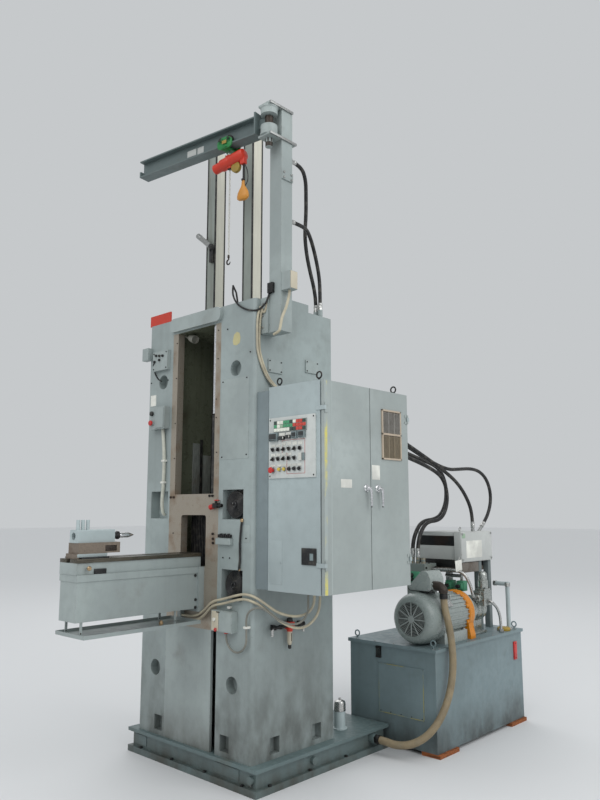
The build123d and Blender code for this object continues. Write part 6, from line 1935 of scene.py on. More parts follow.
@dataclass
class ControlPanel:
    """Lamps, displays, knobs and bare plates of the control panel."""

    workshop: Workshop
    left: float = 0.694
    low: float = 1.852
    face: float = 0.021

    def build(self) -> None:
        """Makes everything on the panel."""
        (Shape()
         .block((self.left, self.face, self.low + 0.018), (self.left + 0.392, self.face + 0.010, self.low
                                                           + 0.396), 0.0012)
         .done("panel_face_plate", PANEL_PAINT, replaces=("control_panel",)))
        self.lamps()
        self.displays()
        self.knobs()
        self.marks()

    def at(self, u: float, v: float) -> tuple[float, float]:
        """A place on the panel, from millimetres right and up of its lower left corner."""
        return self.left + u / 1000, self.low + v / 1000

    def flat(self, shape: Shape, u: tuple[float, float], v: tuple[float, float], near: float,
             far: float = 0.0, soft: float = 0.0006) -> None:
        """Adds a flat block on the panel's face.

        Args:
            shape: what it is added to.
            u: its left and right sides in millimetres.
            v: its lower and upper sides in millimetres.
            near: how far it stands out, in metres.
            far: where it begins in front of the face.
            soft: its edges' radius.
        """
        (x0, z0), (x1, z1) = self.at(u[0], v[0]), self.at(u[1], v[1])
        shape.block((x0, self.face - near, z0), (x1, self.face - far + SINK, z1), soft)

    def lamps(self) -> None:
        """Sets three rows of ten signal windows in their dark frame."""
        frame = Shape()
        self.flat(frame, (49, 326), (302, 375), 0.007, soft=0.0015)
        frame.done("lamp_frame", LAMP_FRAME, replaces=("panel_lamps",))
        rows = ("dwwggkwrrk", "gwpgGgrrrr", "wwwwwkkrrk")
        tones = {"d": LENS_DARK, "w": LENS_WHITE, "g": LENS_GREEN, "G": LENS_GREEN, "r": LENS_RED,
                 "k": LENS_DARK, "p": LENS_PALE}
        shapes: dict[str, Shape] = {}
        finish: dict[str, Finish] = {}
        for i, row in enumerate(rows):
            for k, kind in enumerate(row):
                tone = tones[kind]
                shape = shapes.setdefault(tone.name, Shape())
                finish[tone.name] = tone
                u = 52.5 + 27.0 * k
                v = 350.4 - 22.6 * i
                self.flat(shape, (u + 1.4, u + 25.6), (v + 1.3, v + 21.0), 0.0105, 0.006, 0.001)
        for name, shape in shapes.items():
            shape.done("signal_windows_" + name.removeprefix("lens_"), finish[name])

    def displays(self) -> None:
        """Makes the row of meters and counters."""
        dark, glass, white, grey = Shape(), Shape(), Shape(), Shape()
        for u0, u1, v0, v1 in ((12, 86, 248, 300), (208, 252, 256, 298), (264, 316, 258, 300)):
            self.flat(grey, (u0, u1), (v0, v1), 0.019, soft=0.002)
            self.flat(glass, (u0 + 5, u1 - 5), (v0 + 12, v1 - 6), 0.0198, 0.018)
            self.flat(dark, (u0 + 7, u1 - 7), (v0 + 4, v0 + 9), 0.0200, 0.018)
        for u0, u1, v0, v1 in ((98, 144, 254, 292), (156, 196, 258, 294)):
            self.flat(white, (u0, u1), (v0 + 14, v1 + 4), 0.006)
            self.flat(dark, (u0, u1), (v0, v0 + 22), 0.016, soft=0.0015)
            self.flat(glass, (u0 + 4, u1 - 12), (v0 + 5, v0 + 18), 0.0168, 0.015)
            self.flat(white, (u1 - 10, u1 - 4), (v0 + 5, v0 + 18), 0.0172, 0.015)
        grey.done("meter_cases", METER_CASE)
        dark.done("meter_keys", BLACK_PLASTIC)
        glass.done("meter_windows", GLASS_DARK)
        white.done("counter_plates", WHITE_PLASTIC)

    def knobs(self) -> None:
        """Turns the rows of selectors and push buttons."""
        black, rings, yellow, red, white = Shape(), Shape(), Shape(), Shape(), Shape()
        rows = ((41.0, 196.0, 46.0, 6), (41.0, 138.0, 46.0, 5), (98.0, 73.0, 42.0, 5))
        for i, (u0, v, pitch, count) in enumerate(rows):
            for k in range(count):
                x, z = self.at(u0 + pitch * k, v)
                rings.turned(((0.0145, 0.0), (0.0145, 0.004), (0.0125, 0.006)), (x, self.face, z),
                             (0, -1, 0), 24)
                if i == 2 and k < 2:
                    yellow.turned(((0.0105, 0.005), (0.0112, 0.008), (0.0108, 0.015), (0.006, 0.0175)),
                                  (x, self.face, z), (0, -1, 0), 24)
                elif i == 2:
                    black.turned(((0.0105, 0.005), (0.0112, 0.008), (0.0108, 0.014), (0.0085, 0.0155),
                                  (0.008, 0.0145)), (x, self.face, z), (0, -1, 0), 24)
                else:
                    black.turned(((0.0115, 0.004), (0.0115, 0.011), (0.0100, 0.013)), (x, self.face, z),
                                 (0, -1, 0), 24)
                    turn = math.radians((-38, 12, 38, -30, 30, 0)[(k + 2 * i) % 6])
                    place = Matrix.Translation((x, self.face, z)) @ Matrix.Rotation(turn, 4, "Y")
                    black.block((-0.0034, -0.0225, -0.0112), (0.0034, -0.011, 0.0112), 0.0012, place)
                    white.block((-0.0007, -0.0231, 0.002), (0.0007, -0.0215, 0.0100), 0.0, place)
        x, z = self.at(41, 69)
        rings.turned(((0.019, 0.0), (0.019, 0.003), (0.0165, 0.006)), (x, self.face, z), (0, -1, 0), 28)
        red.turned(((0.0105, 0.005), (0.0105, 0.017), (0.0150, 0.019), (0.0188, 0.0235), (0.0188, 0.0275),
                    (0.0155, 0.0308), (0.008, 0.0318)), (x, self.face, z), (0, -1, 0), 32)
        black.done("panel_knobs", BLACK_PLASTIC, replaces=("panel_controls",))
        rings.done("panel_knob_rings", GALVANISED)
        yellow.done("panel_yellow_buttons", YELLOW_PLASTIC)
        red.done("emergency_button", RED_PLASTIC, replaces=("emergency_stop",))
        white.done("panel_knob_marks", WHITE_PLASTIC)

    def marks(self) -> None:
        """Adds the bare plates above the knobs and the thin red outline."""
        white = Shape()
        for k in range(6):
            low = 214 if k < 2 else 217
            self.flat(white, (41 + 46 * k - 17, 41 + 46 * k + 17), (low, low + (13 if k < 2 else 24)),
                      0.0022)
        for k in range(4):
            self.flat(white, (41 + 46 * k - 17, 41 + 46 * k + 17), (155, 172), 0.0022)
        self.flat(white, (262, 288), (122, 166), 0.012, soft=0.0015)
        self.flat(white, (20, 62), (92, 101), 0.0022)
        for k in range(5):
            self.flat(white, (98 + 42 * k - 17, 98 + 42 * k + 17), (90, 103), 0.0022)
        white.done("panel_bare_plates", WHITE_PLASTIC)
        grey = Shape()
        self.flat(grey, (289.5, 309), (122, 166), 0.010, soft=0.0015)
        grey.done("panel_square_switch", METER_CASE)
        red = Shape()
        corners = [(118, 252 - 2), (308, 252 - 2), (308, 44), (159, 44), (159, 171), (118, 171)]
        for (u0, v0), (u1, v1) in zip(corners, corners[1:] + corners[:1]):
            self.flat(red, (min(u0, u1) - 0.9, max(u0, u1) + 0.9), (min(v0, v1) - 0.9, max(v0, v1) + 0.9),
                      0.0010, soft=0.0)
        red.done("panel_red_outline", RED_PLASTIC)
        seats = [((self.left + u, self.face, self.low + v), (0, -1, 0)) for u in (0.378, 0.012)
                 for v in (0.032, 0.382)]
        self.workshop.screws("panel_screws", seats, 0.0105, DARK_STEEL, head=Head.PAN)


@dataclass
class Cabinet:
    """Door fittings, bare plates and the cable socket of the switch cabinet."""

    workshop: Workshop
    face: float = 1.146

    def build(self) -> None:
        """Makes the cabinet's details."""
        self.handle("front", 0.430, Body.DOOR_FRONT)
        self.handle("rear", 0.546, Body.DOOR_REAR)
        self.grille()
        self.socket()
        self.small_parts()

    def handle(self, which: str, y: float, body: Body) -> None:
        """Makes one lever handle: rose, tapered lever and the dark key barrel.

        Args:
            which: the door's name.
            y: where its axis is.
            body: the door that it rides on.
        """
        z, x = 1.812, self.face
        chrome = Shape()
        chrome.turned(((0.0235, 0.0), (0.024, 0.002), (0.0225, 0.006), (0.0175, 0.008), (0.0165, 0.018),
                       (0.0135, 0.0215)), (x - SINK, y, z), (1, 0, 0), 36)
        path = [Vector((x + 0.018, y, z)), Vector((x + 0.027, y + 0.004, z - 0.002)),
                Vector((x + 0.0290, y + 0.010, z - 0.016)), Vector((x + 0.0290, y + 0.012, z - 0.045)),
                Vector((x + 0.0285, y + 0.0135, z - 0.080)), Vector((x + 0.0280, y + 0.015, z - 0.112))]
        radii = [0.0090, 0.0102, 0.0100, 0.0092, 0.0080, 0.0066]
        chrome.wire(path, 0.008, sides=14, radii=radii)
        chrome.done(f"door_lever_{which}", CHROME, body, (f"door_handle_{which}",))
        dark = Shape()
        dark.turned(((0.0065, 0.0), (0.0065, 0.0015), (0.002, 0.0016)), (x + 0.0205, y, z), (1, 0, 0), 18)
        foot = path[-1]
        dark.wire([foot + Vector((0, 0, 0.010)), foot, foot + Vector((-0.0005, 0.0005, -0.0055))], 0.0058,
                  sides=12)
        dark.done(f"door_key_{which}", DARK_STEEL, body)

    def grille(self) -> None:
        """Builds the vent's frame with its two fine-slatted panes."""
        y0, y1, z0, z1 = 0.594, 0.805, 1.999, 2.325
        x, near = self.face, self.face + 0.0095
        frame = Shape()
        bar = 0.011
        middle = 2.158
        for a, b in (((y0, z0), (y1, z0 + bar)), ((y0, z1 - bar), (y1, z1)), ((y0, z0), (y0 + bar, z1)),
                     ((y1 - bar, z0), (y1, z1)), ((y0, middle), (y1, middle + 0.013))):
            frame.block((x - SINK, a[0], a[1]), (near, b[0], b[1]), 0.0015)
        frame.done("vent_frame", VENT_FRAME, Body.DOOR_REAR, ("vent_grille",))
        (Shape()
         .block((x - SINK, y0 + 0.004, z0 + 0.004), (x + 0.0012, y1 - 0.004, z1 - 0.004))
         .done("vent_shade", VENT_SHADE, Body.DOOR_REAR))
        for name, low, high, finish in (("lower", z0 + bar, middle, VENT_BROWN),
                                        ("upper", middle + 0.013, z1 - bar, VENT_GREY)):
            bars = Shape()
            for k in range(4):
                y = y0 + bar + (y1 - y0 - 2 * bar - 0.004) * k / 3
                bars.block((x + 0.001, y, low), (x + 0.0072, y + 0.004, high), 0.0008)
            bars.done(f"vent_bars_{name}", finish, Body.DOOR_REAR)
            slat = Shape()
            tilt = Matrix.Rotation(math.radians(38), 4, "Y")
            place = Matrix.Translation((x + 0.004, (y0 + y1) / 2, 0)) @ tilt
            slat.block((-0.0034, -(y1 - y0) / 2 + bar, -0.0006), (0.0034, (y1 - y0) / 2 - bar, 0.0006), 0.0,
                       place)
            pitch = 0.0062
            count = int((high - low - 0.004) / pitch)
            self.workshop.row.grow(f"vent_slats_{name}", bpy.data.meshes.new("vent_start"),
                                   slat.template(f"vent_slat_{name}"), finish, Body.DOOR_REAR,
                                   {"Count": count, "Start": Vector((0, 0, low + 0.004)),
                                    "Step": Vector((0, 0, pitch)), "Twist": Vector((0, 0, 0))})

    def socket(self) -> None:
        """Moulds the black socket plate with its slots and notch."""
        x0, x1, z0, z1 = 0.970, 1.086, 1.358, 1.456
        plate = Shape()
        plate.block((x0, 0.0225, z0), (x1, 0.0304, z1), 0.005)
        plate.block((x0 + 0.010, 0.0212, z0 + 0.009), (x1 - 0.010, 0.026, z1 - 0.009), 0.003)
        for k in range(6):
            z = z0 + 0.018 + 0.0122 * k
            plate.block((x0 + 0.018, 0.0210, z), (x1 - 0.018, 0.024, z + 0.0055), 0.001)
        plate.done("socket_plate", BLACK_PLASTIC, replaces=("cable_socket",))
        (Shape()
         .block((x0 + 0.068, 0.0209, z0 + 0.028), (x1 - 0.020, 0.0235, z0 + 0.068), 0.001)
         .done("socket_inset", METER_CASE))

    def small_parts(self) -> None:
        """Adds bare plates, the small hatch and the two worn stripes."""
        x = self.face
        (Shape()
         .block((x - SINK, 0.183, 1.810), (x + 0.0012, 0.287, 1.861), 0.0005)
         .done("bare_plate_front_door", WHITE_PLASTIC, Body.DOOR_FRONT))
        (Shape()
         .block((x - SINK, 0.489, 1.867), (x + 0.0012, 0.571, 1.958), 0.0005)
         .done("bare_plate_rear_door", WHITE_PLASTIC, Body.DOOR_REAR))
        (Shape()
         .block((0.700, 0.0285, 1.232), (0.806, 0.0304, 1.494), 0.0008)
         .rod(0.006, (0.7925, 0.0290, 1.36), (0.7925, 0.0245, 1.36), 0.001, 18)
         .done("cabinet_small_hatch", CABINET_PAINT))
        (Shape()
         .block((x - SINK, 0.0345, 1.194), (x + 0.0006, 0.060, 2.446))
         .done("door_yellow_stripe", FADED_STRIPE, Body.DOOR_FRONT))
        (Shape()
         .block((x - SINK, 0.092, 1.194), (x + 0.0005, 0.104, 2.446))
         .done("door_second_stripe", FAINT_STRIPE, Body.DOOR_FRONT))


# ---------------------------------------------------------------- power unit and pedestal


@dataclass
class PowerUnit:
    """Fittings of the oil tank, motor, pump, cooler and junction box."""

    workshop: Workshop
    motor_x: float = 0.856
    motor_z: float = 0.900

    def build(self) -> None:
        """Makes the power unit's details."""
        self.motor()
        self.terminal_box()
        self.pump()
        self.cooler()
        self.junction()
        self.tank()
        self.valves()

    def motor(self) -> None:
        """Makes the fan cowl with its wire rings, the bell housing, the lifting eye and the bolts."""
        x, z = self.motor_x, self.motor_z
        (Shape()
         .turned([(0.118, 0.014), (0.118, 0.0005), (0.1288, 0.0), (0.150, 0.009), (0.162, 0.020),
                  (0.170, 0.034), (0.1768, 0.052), (0.181, 0.072), (0.1834, 0.090), (0.184, 0.105),
                  (0.184, 0.206), (0.182, 0.212)], (x, 1.300, z), (0, 1, 0), 56)
         .done("fan_cowl_drum", COWL_PAINT, replaces=("fan_cowl",)))
        # Painted shade: a black disc closes the shallow recess behind the grille and stands for the shade
        # deep inside the cowl.
        (Shape()
         .turned(((0.1175, 0.0), (0.1175, 0.0015)), (x, 1.3125, z), (0, 1, 0), 40)
         .done("cowl_dark_inside", BLACK_ENAMEL))
        spokes = Shape()
        for k in range(12):
            place = Matrix.Translation((x, 0, z)) @ Matrix.Rotation(math.radians(30 * k), 4, "Y")
            spokes.block((0.022, 1.3016, -0.0036), (0.1185, 1.3058, 0.0036), 0.0008, place)
        for k in range(9):
            r = 0.032 + 0.0100 * k
            spokes.wire(hoop((x, 1.3070, z), r, 40), 0.0017, closed=True, sides=6)
        spokes.turned(((0.026, 0.0), (0.025, 0.004), (0.014, 0.0052)), (x, 1.3056, z), (0, -1, 0), 28)
        spokes.done("cowl_spokes_and_rings", SPOKE_PAINT)
        seats = [((x + 0.1842 * math.cos(a), 1.49, z + 0.1842 * math.sin(a)), (math.cos(a), 0, math.sin(a)))
                 for a in (0.5, 1.3, 2.1, 2.9, 5.8)]
        self.workshop.screws("cowl_screws", seats, 0.013, GALVANISED, head=Head.PAN)
        bell = Shape()
        bell.turned(((0.120, 0.0), (0.158, 0.0), (0.165, 0.006), (0.165, 0.064), (0.158, 0.070),
                     (0.118, 0.072), (0.118, 0.125)), (x, 1.850, z), (0, 1, 0), 48)
        lugs = hoop((x, 1.826, z), 0.149, 8, 0.5)
        for lug_x, lug_y, lug_z in lugs:
            bell.rod(0.016, (lug_x, lug_y, lug_z), (lug_x, 1.856, lug_z), 0.002, 20)
        foot = [(-0.156, TANK_TOP), (0.164, TANK_TOP), (0.164, 0.742), (0.148, 0.790), (0.148, 0.840),
                (-0.144, 0.840), (-0.144, 0.790), (-0.156, 0.742)]
        bell.slab(foot, facing_front(x, 1.920), 0.070, 0.003)
        bell.done("bell_housing_ring", ORANGE_PAINT, replaces=("bell_housing",))
        (Shape()
         .turned(((0.120, 0.0), (0.156, 0.001), (0.158, 0.004), (0.158, 0.018), (0.150, 0.022),
                  (0.120, 0.024)), (x, 1.921, z), (0, 1, 0), 44)
         .done("bell_rear_flange", MOTOR_PAINT))
        seats = [(lug, (0, -1, 0)) for lug in lugs]
        self.workshop.screws("flange_bolts", seats, 0.014, GALVANISED)
        (Shape()
         .wire(hoop((x + 0.118, 1.62, 1.040), 0.016, 20), 0.005, closed=True, sides=8)
         .done("motor_lifting_eye", BRIGHT_STEEL))
        plate = Shape()
        place = Matrix.Translation((x, 1.60, z)) @ Matrix.Rotation(math.radians(52), 4, "Y")
        plate.block((-0.030, -0.048, 0.1575), (0.030, 0.048, 0.1605), 0.001, place)
        plate.done("motor_bare_plate", BRIGHT_STEEL)
        feet = [((x + s * 0.122, y, 0.788), (0, 0, 1)) for s in (-1, 1) for y in (1.545, 1.815)]
        self.workshop.screws("motor_foot_bolts", feet, 0.024, GALVANISED)

    def terminal_box(self) -> None:
        """Casts the terminal box with its sloped lid and the dark elbow."""
        box = Shape()
        outline = [(-0.070, 1.092), (0.098, 1.092), (0.108, 1.104), (0.108, 1.180), (0.090, 1.218),
                   (0.074, 1.236), (0.030, 1.236), (-0.084, 1.124), (-0.084, 1.108)]
        box.slab(outline, facing_front(self.motor_x, 1.580), 0.180, 0.007)
        box.rod(0.036, (0.958, 1.440, 1.132), (0.978, 1.440, 1.132), 0.003, 6)
        box.done("terminal_box_case", MOTOR_PAINT, replaces=("terminal_box",))
        gasket = Shape()
        rim = [(-0.072, 1.0895), (0.1, 1.0895), (0.1095, 1.1005), (0.1095, 1.106), (0.0995, 1.0945),
               (-0.0705, 1.0945), (-0.0855, 1.111), (-0.0855, 1.105)]
        gasket.slab(rim, facing_front(self.motor_x, 1.5812), 0.1824)
        gasket.done("terminal_box_gasket", BLACK_ENAMEL)
        seats = [((x, 1.400, z), (0, -1, 0)) for x, z in ((0.796, 1.118), (0.945, 1.110), (0.948, 1.200))]
        self.workshop.screws("terminal_box_screws", seats, 0.012, GALVANISED, head=Head.PAN)
        (Shape()
         .wire(smooth([(0.962, 1.440, 1.132), (0.985, 1.440, 1.136), (1.014, 1.440, 1.134),
                       (1.034, 1.440, 1.120), (1.045, 1.440, 1.104), (1.046, 1.440, 1.090)]), 0.0315,
               sides=20)
         .turned(((0.0338, 0.0), (0.0338, 0.018), (0.031, 0.022)), (1.046, 1.440, 1.110), (0, 0, -1), 8)
         .turned(((0.0338, 0.0), (0.0338, 0.012)), (0.974, 1.440, 1.134), (1, 0, 0), 8)
         .done("conduit_elbow", BROWN_STEEL))

    def pump(self) -> None:
        """Builds the pump: stacked flanges, nose, valve block with its silver cap and pipes."""
        x, z = self.motor_x, self.motor_z
        (Shape()
         .turned(((0.098, 0.0), (0.103, 0.004), (0.103, 0.020), (0.090, 0.024), (0.090, 0.054),
                  (0.104, 0.060), (0.104, 0.086), (0.094, 0.090), (0.094, 0.137), (0.104, 0.143),
                  (0.104, 0.169), (0.097, 0.174), (0.092, 0.208), (0.100, 0.214), (0.100, 0.242),
                  (0.082, 0.265)), (x, 1.975, z), (0, 1, 0), 40)
         .turned(((0.060, 0.0), (0.062, 0.004), (0.062, 0.024), (0.048, 0.034), (0.034, 0.048),
                  (0.020, 0.050)), (x, 2.240, z), (0, 1, 0), 30)
         .block((x - 0.060, 2.016, TANK_TOP), (x + 0.060, 2.199, 0.818), 0.006)
         .block((x - 0.100, 2.006, TANK_TOP), (x + 0.100, 2.209, 0.732), 0.004)
         .done("pump_casting", CAST_ALUMINIUM, replaces=("oil_pump",)))
        (Shape()
         .block((0.900, 2.110, 0.930), (0.996, 2.230, 1.044), 0.006)
         .turned(((0.036, 0.0), (0.0395, 0.004), (0.0395, 0.060), (0.034, 0.064), (0.034, 0.104),
                  (0.030, 0.118), (0.018, 0.130)), (0.956, 2.170, 1.060), (0, 0, 1), 32)
         .turned(((0.026, 0.0), (0.030, 0.003), (0.030, 0.028), (0.022, 0.034)), (0.948, 2.110, 0.985),
                 (0, -1, 0), 28)
         .block((0.912, 2.122, 1.040), (0.994, 2.218, 1.062), 0.004)
         .done("pump_valve", CAST_ALUMINIUM))
        (Shape()
         .wire(smooth([(0.985, 2.170, 0.965), (1.018, 2.170, 0.962), (1.030, 2.190, 0.945),
                       (1.030, 2.25, 0.90), (1.030, 2.29, 0.83), (1.030, 2.30, 0.716)]), 0.011, sides=12)
         .wire(smooth([(0.930, 2.080, 0.99), (0.930, 2.050, 1.02), (0.926, 2.018, 1.10),
                       (0.900, 1.990, 1.17), (0.850, 1.968, 1.20), (0.760, 1.950, 1.205),
                       (0.655, 1.930, 1.205)]), 0.0125, sides=12)
         .wire([(0.780, 2.10, 0.96), (0.735, 2.10, 0.96), (0.722, 2.10, 0.945), (0.722, 2.10, 0.716)],
               0.012, sides=12)
         .done("pump_pipes", BRIGHT_STEEL))
        nuts = Shape()
        for place, way, size in (((1.030, 2.30, 0.740), (0, 0, -1), 0.019),
                                 ((0.655, 1.930, 1.205), (-1, 0, 0), 0.021),
                                 ((0.985, 2.170, 0.965), (1, 0, 0), 0.019),
                                 ((0.930, 2.090, 0.982), (0, -1, 0.3), 0.020),
                                 ((0.722, 2.10, 0.745), (0, 0, -1), 0.021)):
            nuts.turned(((size, 0.0), (size, 0.020)), place, way, 6)
        nuts.done("pump_pipe_nuts", GALVANISED)
        seats = [(seat, (0, -1, 0)) for seat in hoop((x, 2.0355, z), 0.096, 8)]
        seats += [((0.918 + dx, 2.137 + dy, 1.062), (0, 0, 1)) for dx in (0.0, 0.068)
                  for dy in (0.0, 0.066)]
        self.workshop.screws("pump_bolts", seats, 0.013, DARK_STEEL, head=Head.SOCKET)

    def cooler(self) -> None:
        """Builds the oil cooler: dark fin band over its light tank, on legs."""
        x0, x1, y0, y1, z0, z1 = 0.444, 0.7995, 2.030, 2.490, 1.180, 1.500
        (Shape()
         .block((x0, y0, 1.280), (x1, y1, 1.389), 0.005)
         .block((x0, y0, 1.468), (x1, y1, z1), 0.003)
         .done("cooler_tank", WHITE_PAINT, replaces=("oil_cooler",)))
        legs = Shape()
        for y in (y0, y1 - 0.046):
            legs.block((x0, y, TANK_TOP), (x0 + 0.046, y + 0.046, 1.186), 0.003)
        legs.done("cooler_legs", LEG_PAINT)
        (Shape()
         .block((x0, y0, z0), (x1, y1, 1.216), 0.002)
         .block((x1 - 0.004, 2.040, z0), (0.856, 2.290, 1.258), 0.003)
         .done("cooler_foot_rail", RAIL_STEEL))
        (Shape()
         .block((x0 + 0.004, y0 + 0.008, 1.212), (x1 - 0.001, y1 - 0.008, 1.284), 0.003)
         .block((x0 + 0.006, y0 + 0.012, 1.386), (x1 - 0.001, y1 - 0.012, 1.470))
         .done("cooler_dark_edges", DARK_STEEL))
        fin = Shape()
        fin.block((x0 + 0.003, -(y1 - y0) / 2 + 0.004, -0.0006), (x1, (y1 - y0) / 2 - 0.004, 0.0006))
        self.workshop.row.grow("cooler_fins", bpy.data.meshes.new("fin_start"), fin.template("cooler_fin"),
                               FINS, Body.MACHINE, {"Count": 13,
                                                    "Start": Vector((0, (y0 + y1) / 2, 1.3925)),
                                                    "Step": Vector((0, 0, 0.0058)),
                                                    "Twist": Vector((0, 0, 0))})
        tops = Shape()
        for k in range(3):
            tops.rod(0.0085, (0.53 + 0.09 * k, y0 + 0.020, 1.497), (0.53 + 0.09 * k, y0 + 0.020, 1.4995),
                     0.0006, 14)
        tops.done("cooler_top_bolts", BRIGHT_STEEL)

    def junction(self) -> None:
        """Fits corner bolts, a bare plate, a tag and an eye to the white box."""
        x = 0.862
        (Shape()
         .block((0.800, 2.010, 1.262), (x, 2.510, 1.503), 0.004)
         .done("junction_box_case", WHITE_PAINT, replaces=("junction_box",)))
        legs = Shape()
        for y in (2.310, 2.464):
            legs.block((0.800, y, TANK_TOP), (0.846, y + 0.046, 1.264), 0.002)
        legs.done("junction_box_legs", LEG_PAINT)
        (Shape()
         .turned(((0.015, -0.002), (0.015, 0.014), (0.0135, 0.014), (0.0135, 0.027)), (0.846, 2.232, 1.503),
                 (0, 0, 1), 12)
         .turned(((0.015, 0.0), (0.015, 0.052), (0.0135, 0.052), (0.0135, 0.080)), (0.817, 2.364, 1.491),
                 (0, 0.8, 0.6), 12)
         .done("junction_glands", GALVANISED))
        seats = [((x, y, z), (1, 0, 0)) for y in (2.030, 2.490) for z in (1.282, 1.484)]
        self.workshop.screws("junction_box_bolts", seats, 0.017, GALVANISED)
        (Shape()
         .block((x - SINK, 2.016, 1.268), (x + 0.003, 2.504, 1.497), 0.001)
         .done("junction_box_lid", WHITE_PAINT))
        label = Shape()
        label.block((x + 0.0026, 2.089, 1.293), (x + 0.0040, 2.336, 1.430), 0.0005)
        tag = Matrix.Translation((x + 0.0026, 1.962, 1.244)) @ Matrix.Rotation(math.radians(5), 4, "X")
        label.block((0.0, -0.049, -0.044), (0.0014, 0.049, 0.040), 0.0005, tag)
        label.done("junction_bare_plate", WHITE_PLASTIC)
        (Shape()
         .block((x + 0.0026, 2.024, 1.452), (x + 0.0042, 2.075, 1.488), 0.0005)
         .done("junction_green_tag", PALE_GREEN))
        eye = Shape()
        circle = [(0.831, 2.055 + 0.014 * math.cos(math.tau * i / 18), 1.524
                   + 0.014 * math.sin(math.tau * i / 18)) for i in range(18)]
        eye.wire(circle, 0.0042, closed=True, sides=8)
        eye.wire([(x + 0.003, 1.960, 1.286), (x + 0.0035, 1.972, 1.30), (x + 0.0045, 1.990, 1.316),
                  (x + 0.003, 2.022, 1.330)], 0.0012, sides=6)
        eye.done("junction_eye", BRIGHT_STEEL)

    def tank(self) -> None:
        """Dresses the tank: gauge, level plate, filler, the hatch's sealant, bolts and pipe collars."""
        Shape().block((1.0538, 2.440, 0.488), (1.066, 2.485, 0.626), 0.002).done("level_plate", RED_PLASTIC)
        (Shape()
         .block((0.553, 1.2835, 0.616), (0.587, 1.297, 0.672), 0.003)
         .done("level_glass", GLASS_DARK, replaces=("oil_gauges",)))
        frame = Shape()
        frame.block((0.548, 1.2850, 0.604), (0.592, 1.2972, 0.684), 0.002)
        for z in (0.604, 0.671):
            frame.block((0.548, 1.2812, z), (0.592, 1.2972, z + 0.013), 0.002)
        for z in (0.501, 0.612):
            frame.rod(0.0055, (1.0655, 2.4625, z), (1.068, 2.4625, z), 0.0008, 14)
        frame.done("gauge_frames", DARK_STEEL)
        (Shape()
         .turned(((0.050, 0.0), (0.052, 0.003), (0.052, 0.018), (0.044, 0.026), (0.020, 0.029)),
                 (1.000, 2.400, 0.7138), (0, 0, 1), 30)
         .done("oil_filler_cap", YELLOW_BROWN))
        rim = Shape()
        low, high = (0.566, 0.226), (0.957, 0.570)
        for a, b in (((low[0], low[1]), (high[0], low[1] + 0.006)),
                     ((low[0], high[1] - 0.006), (high[0], high[1])),
                     ((high[0] - 0.006, low[1]), (high[0], high[1])),
                     ((low[0], low[1]), (low[0] + 0.006, high[1]))):
            rim.block((a[0], 1.2902, a[1]), (b[0], 1.2914, b[1]), 0.0004)
        rim.done("hatch_old_sealant", OLD_YELLOW)
        seats = [((x, 1.291, 0.238), (0, -1, 0)) for x in (0.584, 0.672, 0.762, 0.852, 0.940)]
        self.workshop.screws("hatch_bolts", seats, 0.007, DARK_STEEL)
        seats = [((1.050, y, TANK_TOP), (0, 0, 1)) for y in (1.36, 1.55, 1.74, 1.93, 2.12, 2.31, 2.50)]
        seats += [((x, 1.300, TANK_TOP), (0, 0, 1)) for x in (0.36, 0.53, 0.70, 1.04)]
        self.workshop.screws("tank_lid_bolts", seats, 0.011, GALVANISED)
        (Shape()
         .turned(((0.024, 0.0), (0.024, 0.006), (0.016, 0.006), (0.016, 0.013)), (0.50, 1.297, 0.086),
                 (0, -1, 0), 6)
         .done("tank_drain_plug", BRASS))
        (Shape()
         .turned(((0.036, 0.0), (0.036, 0.010), (0.024, 0.012), (0.024, 0.020)), (1.000, 2.490, 0.7138),
                 (0, 0, 1), 28)
         .turned(((0.022, -0.015), (0.023, -0.012), (0.023, 0.012), (0.022, 0.015)), (1.000, 2.490, 1.068),
                 (0, 0, 1), 24)
         .turned(((0.022, -0.006), (0.022, 0.016)), (0.885, 2.490, 1.073), (1, 0, 0), 24)
         .done("suction_pipe_collars", BRIGHT_STEEL))

    def valves(self) -> None:
        """Adds the valve bodies on their riser and the unions of the manifold."""
        teal = Shape()
        z = 1.074
        for x in (0.704, 0.806):
            teal.block((x - 0.034, 2.070, z - 0.040), (x + 0.034, 2.130, z + 0.040), 0.006)
            teal.block((x - 0.026, 2.048, z - 0.024), (x + 0.026, 2.072, z + 0.024), 0.004)
        teal.block((0.500, 1.800, 1.10), (0.600, 1.8204, 1.19), 0.005)
        teal.block((0.4705, 1.850, 1.02), (0.520, 1.960, 1.08), 0.005)
        teal.done("valve_bodies", VALVE_PAINT)
        riser = Shape()
        riser.block((0.690, 2.094, TANK_TOP), (0.722, 2.126, 1.020), 0.003)
        for x in (0.704, 0.806):
            riser.rod(0.012, (x, 2.10, 1.110), (x, 2.10, 1.180), 0.001, 16)
        riser.rod(0.013, (0.66, 2.10, 1.150), (0.80, 2.10, 1.150), 0.001, 16)
        riser.done("valve_risers", GALVANISED)
        coils = Shape()
        for z in (1.13, 1.16):
            coils.rod(0.017, (0.53, 1.802, z), (0.53, 1.770, z), 0.002, 18)
        for x in (0.704, 0.806):
            coils.rod(0.015, (x, 2.050, 1.074), (x, 2.020, 1.074), 0.002, 18)
        coils.done("valve_coils", BLACK_PLASTIC)
        brass = Shape()
        for k in range(3):
            x = 0.498 + 0.050 * k
            brass.turned(((0.0185, 0.0), (0.0185, 0.018), (0.0160, 0.018), (0.0160, 0.030), (0.0185, 0.030),
                          (0.0185, 0.047)), (x, 1.866, 1.2495), (0, 0, 1), 6)
        brass.done("manifold_unions", BRASS)
        seats = [((x, y, 1.250), (0, 0, 1)) for x in (0.482, 0.628) for y in (1.905, 1.978)]
        seats += [((0.640, y, z), (1, 0, 0)) for y in (1.840, 1.970) for z in (0.76, 0.90, 1.04, 1.22)]
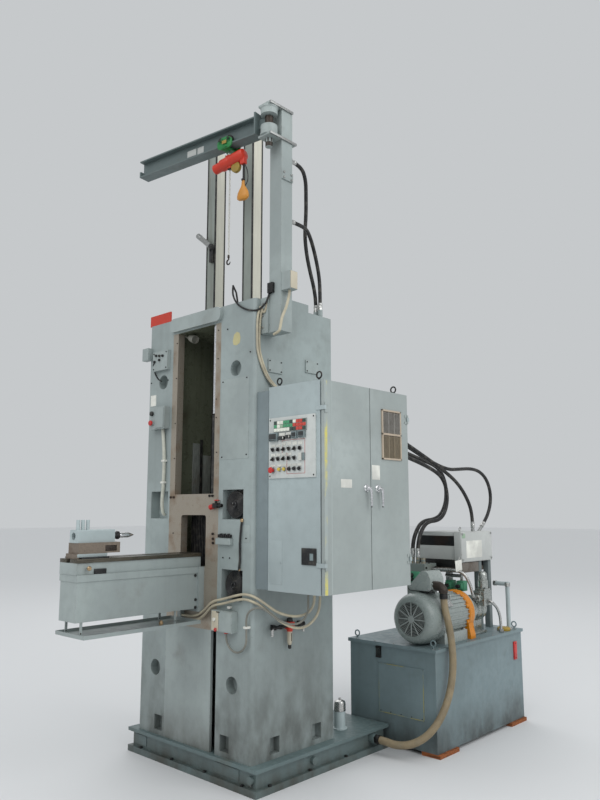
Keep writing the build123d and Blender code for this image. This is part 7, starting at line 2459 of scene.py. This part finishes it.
        self.workshop.screws("manifold_bolts", seats, 0.015, DARK_STEEL, head=Head.SOCKET)


@dataclass
class Pedestal:
    """Levelling screws, the air filter's cap and the small hook of the pedestal."""

    workshop: Workshop

    def build(self) -> None:
        """Makes the pedestal's details."""
        seats = [((s * 0.641, y, 0.040), (0, 0, 1)) for s in (-1, 1) for y in (0.10, 0.46, 0.82, 1.18)]
        seats += [((x, -0.0155, 0.040), (0, 0, 1)) for x in (-0.52, -0.17, 0.17, 0.52)]
        self.workshop.screws("levelling_screws", seats, 0.020, DARK_STEEL)
        (Shape()
         .wire(smooth([(0.594, -0.0015, 0.096), (0.594, -0.014, 0.088), (0.594, -0.0185, 0.072),
                       (0.594, -0.014, 0.057), (0.594, -0.0065, 0.053)]), 0.004, sides=8)
         .done("pedestal_hook", GALVANISED))
        (Shape()
         .turned(((0.052, 0.0), (0.052, 0.008), (0.040, 0.010), (0.040, 0.118), (0.034, 0.122)),
                 (0.470, 0.960, 0.1565), (0, 0, 1), 32)
         .done("air_filter_body", CABINET_PAINT, replaces=("air_filter",)))
        (Shape()
         .turned(((0.038, 0.0), (0.042, 0.003), (0.042, 0.052), (0.036, 0.066), (0.020, 0.074),
                  (0.008, 0.076), (0.008, 0.088)), (0.470, 0.960, 0.276), (0, 0, 1), 32)
         .done("air_filter_cap", BRIGHT_STEEL))


# ---------------------------------------------------------------- the solids' own finishes


def dress_solids() -> None:
    """Gives every solid that stays in view its finish."""
    for name, solid in frame["nodes"].items():
        if name not in NODE_FINISH:
            continue
        material = dressed(NODE_FINISH[name])
        if not solid.data.materials:
            solid.data.materials.append(material)
        for index in range(len(solid.data.materials)):
            solid.data.materials[index] = material


def main() -> None:
    """Builds the studio, the cords and every sub-assembly in order."""
    Studio().build()
    workshop = Workshop()
    Cords(workshop).build()
    dress_solids()
    crane = JibCrane(workshop)
    for part in (Column(workshop), GuidePosts(workshop), crane, Hoist(workshop, crane), WorkBed(workshop),
                 Tailstock(workshop), ControlPanel(workshop), Cabinet(workshop), PowerUnit(workshop),
                 Pedestal(workshop)):
        LOG.info("building %s", type(part).__name__)
        part.build()


if __name__ == "__main__":
    main()
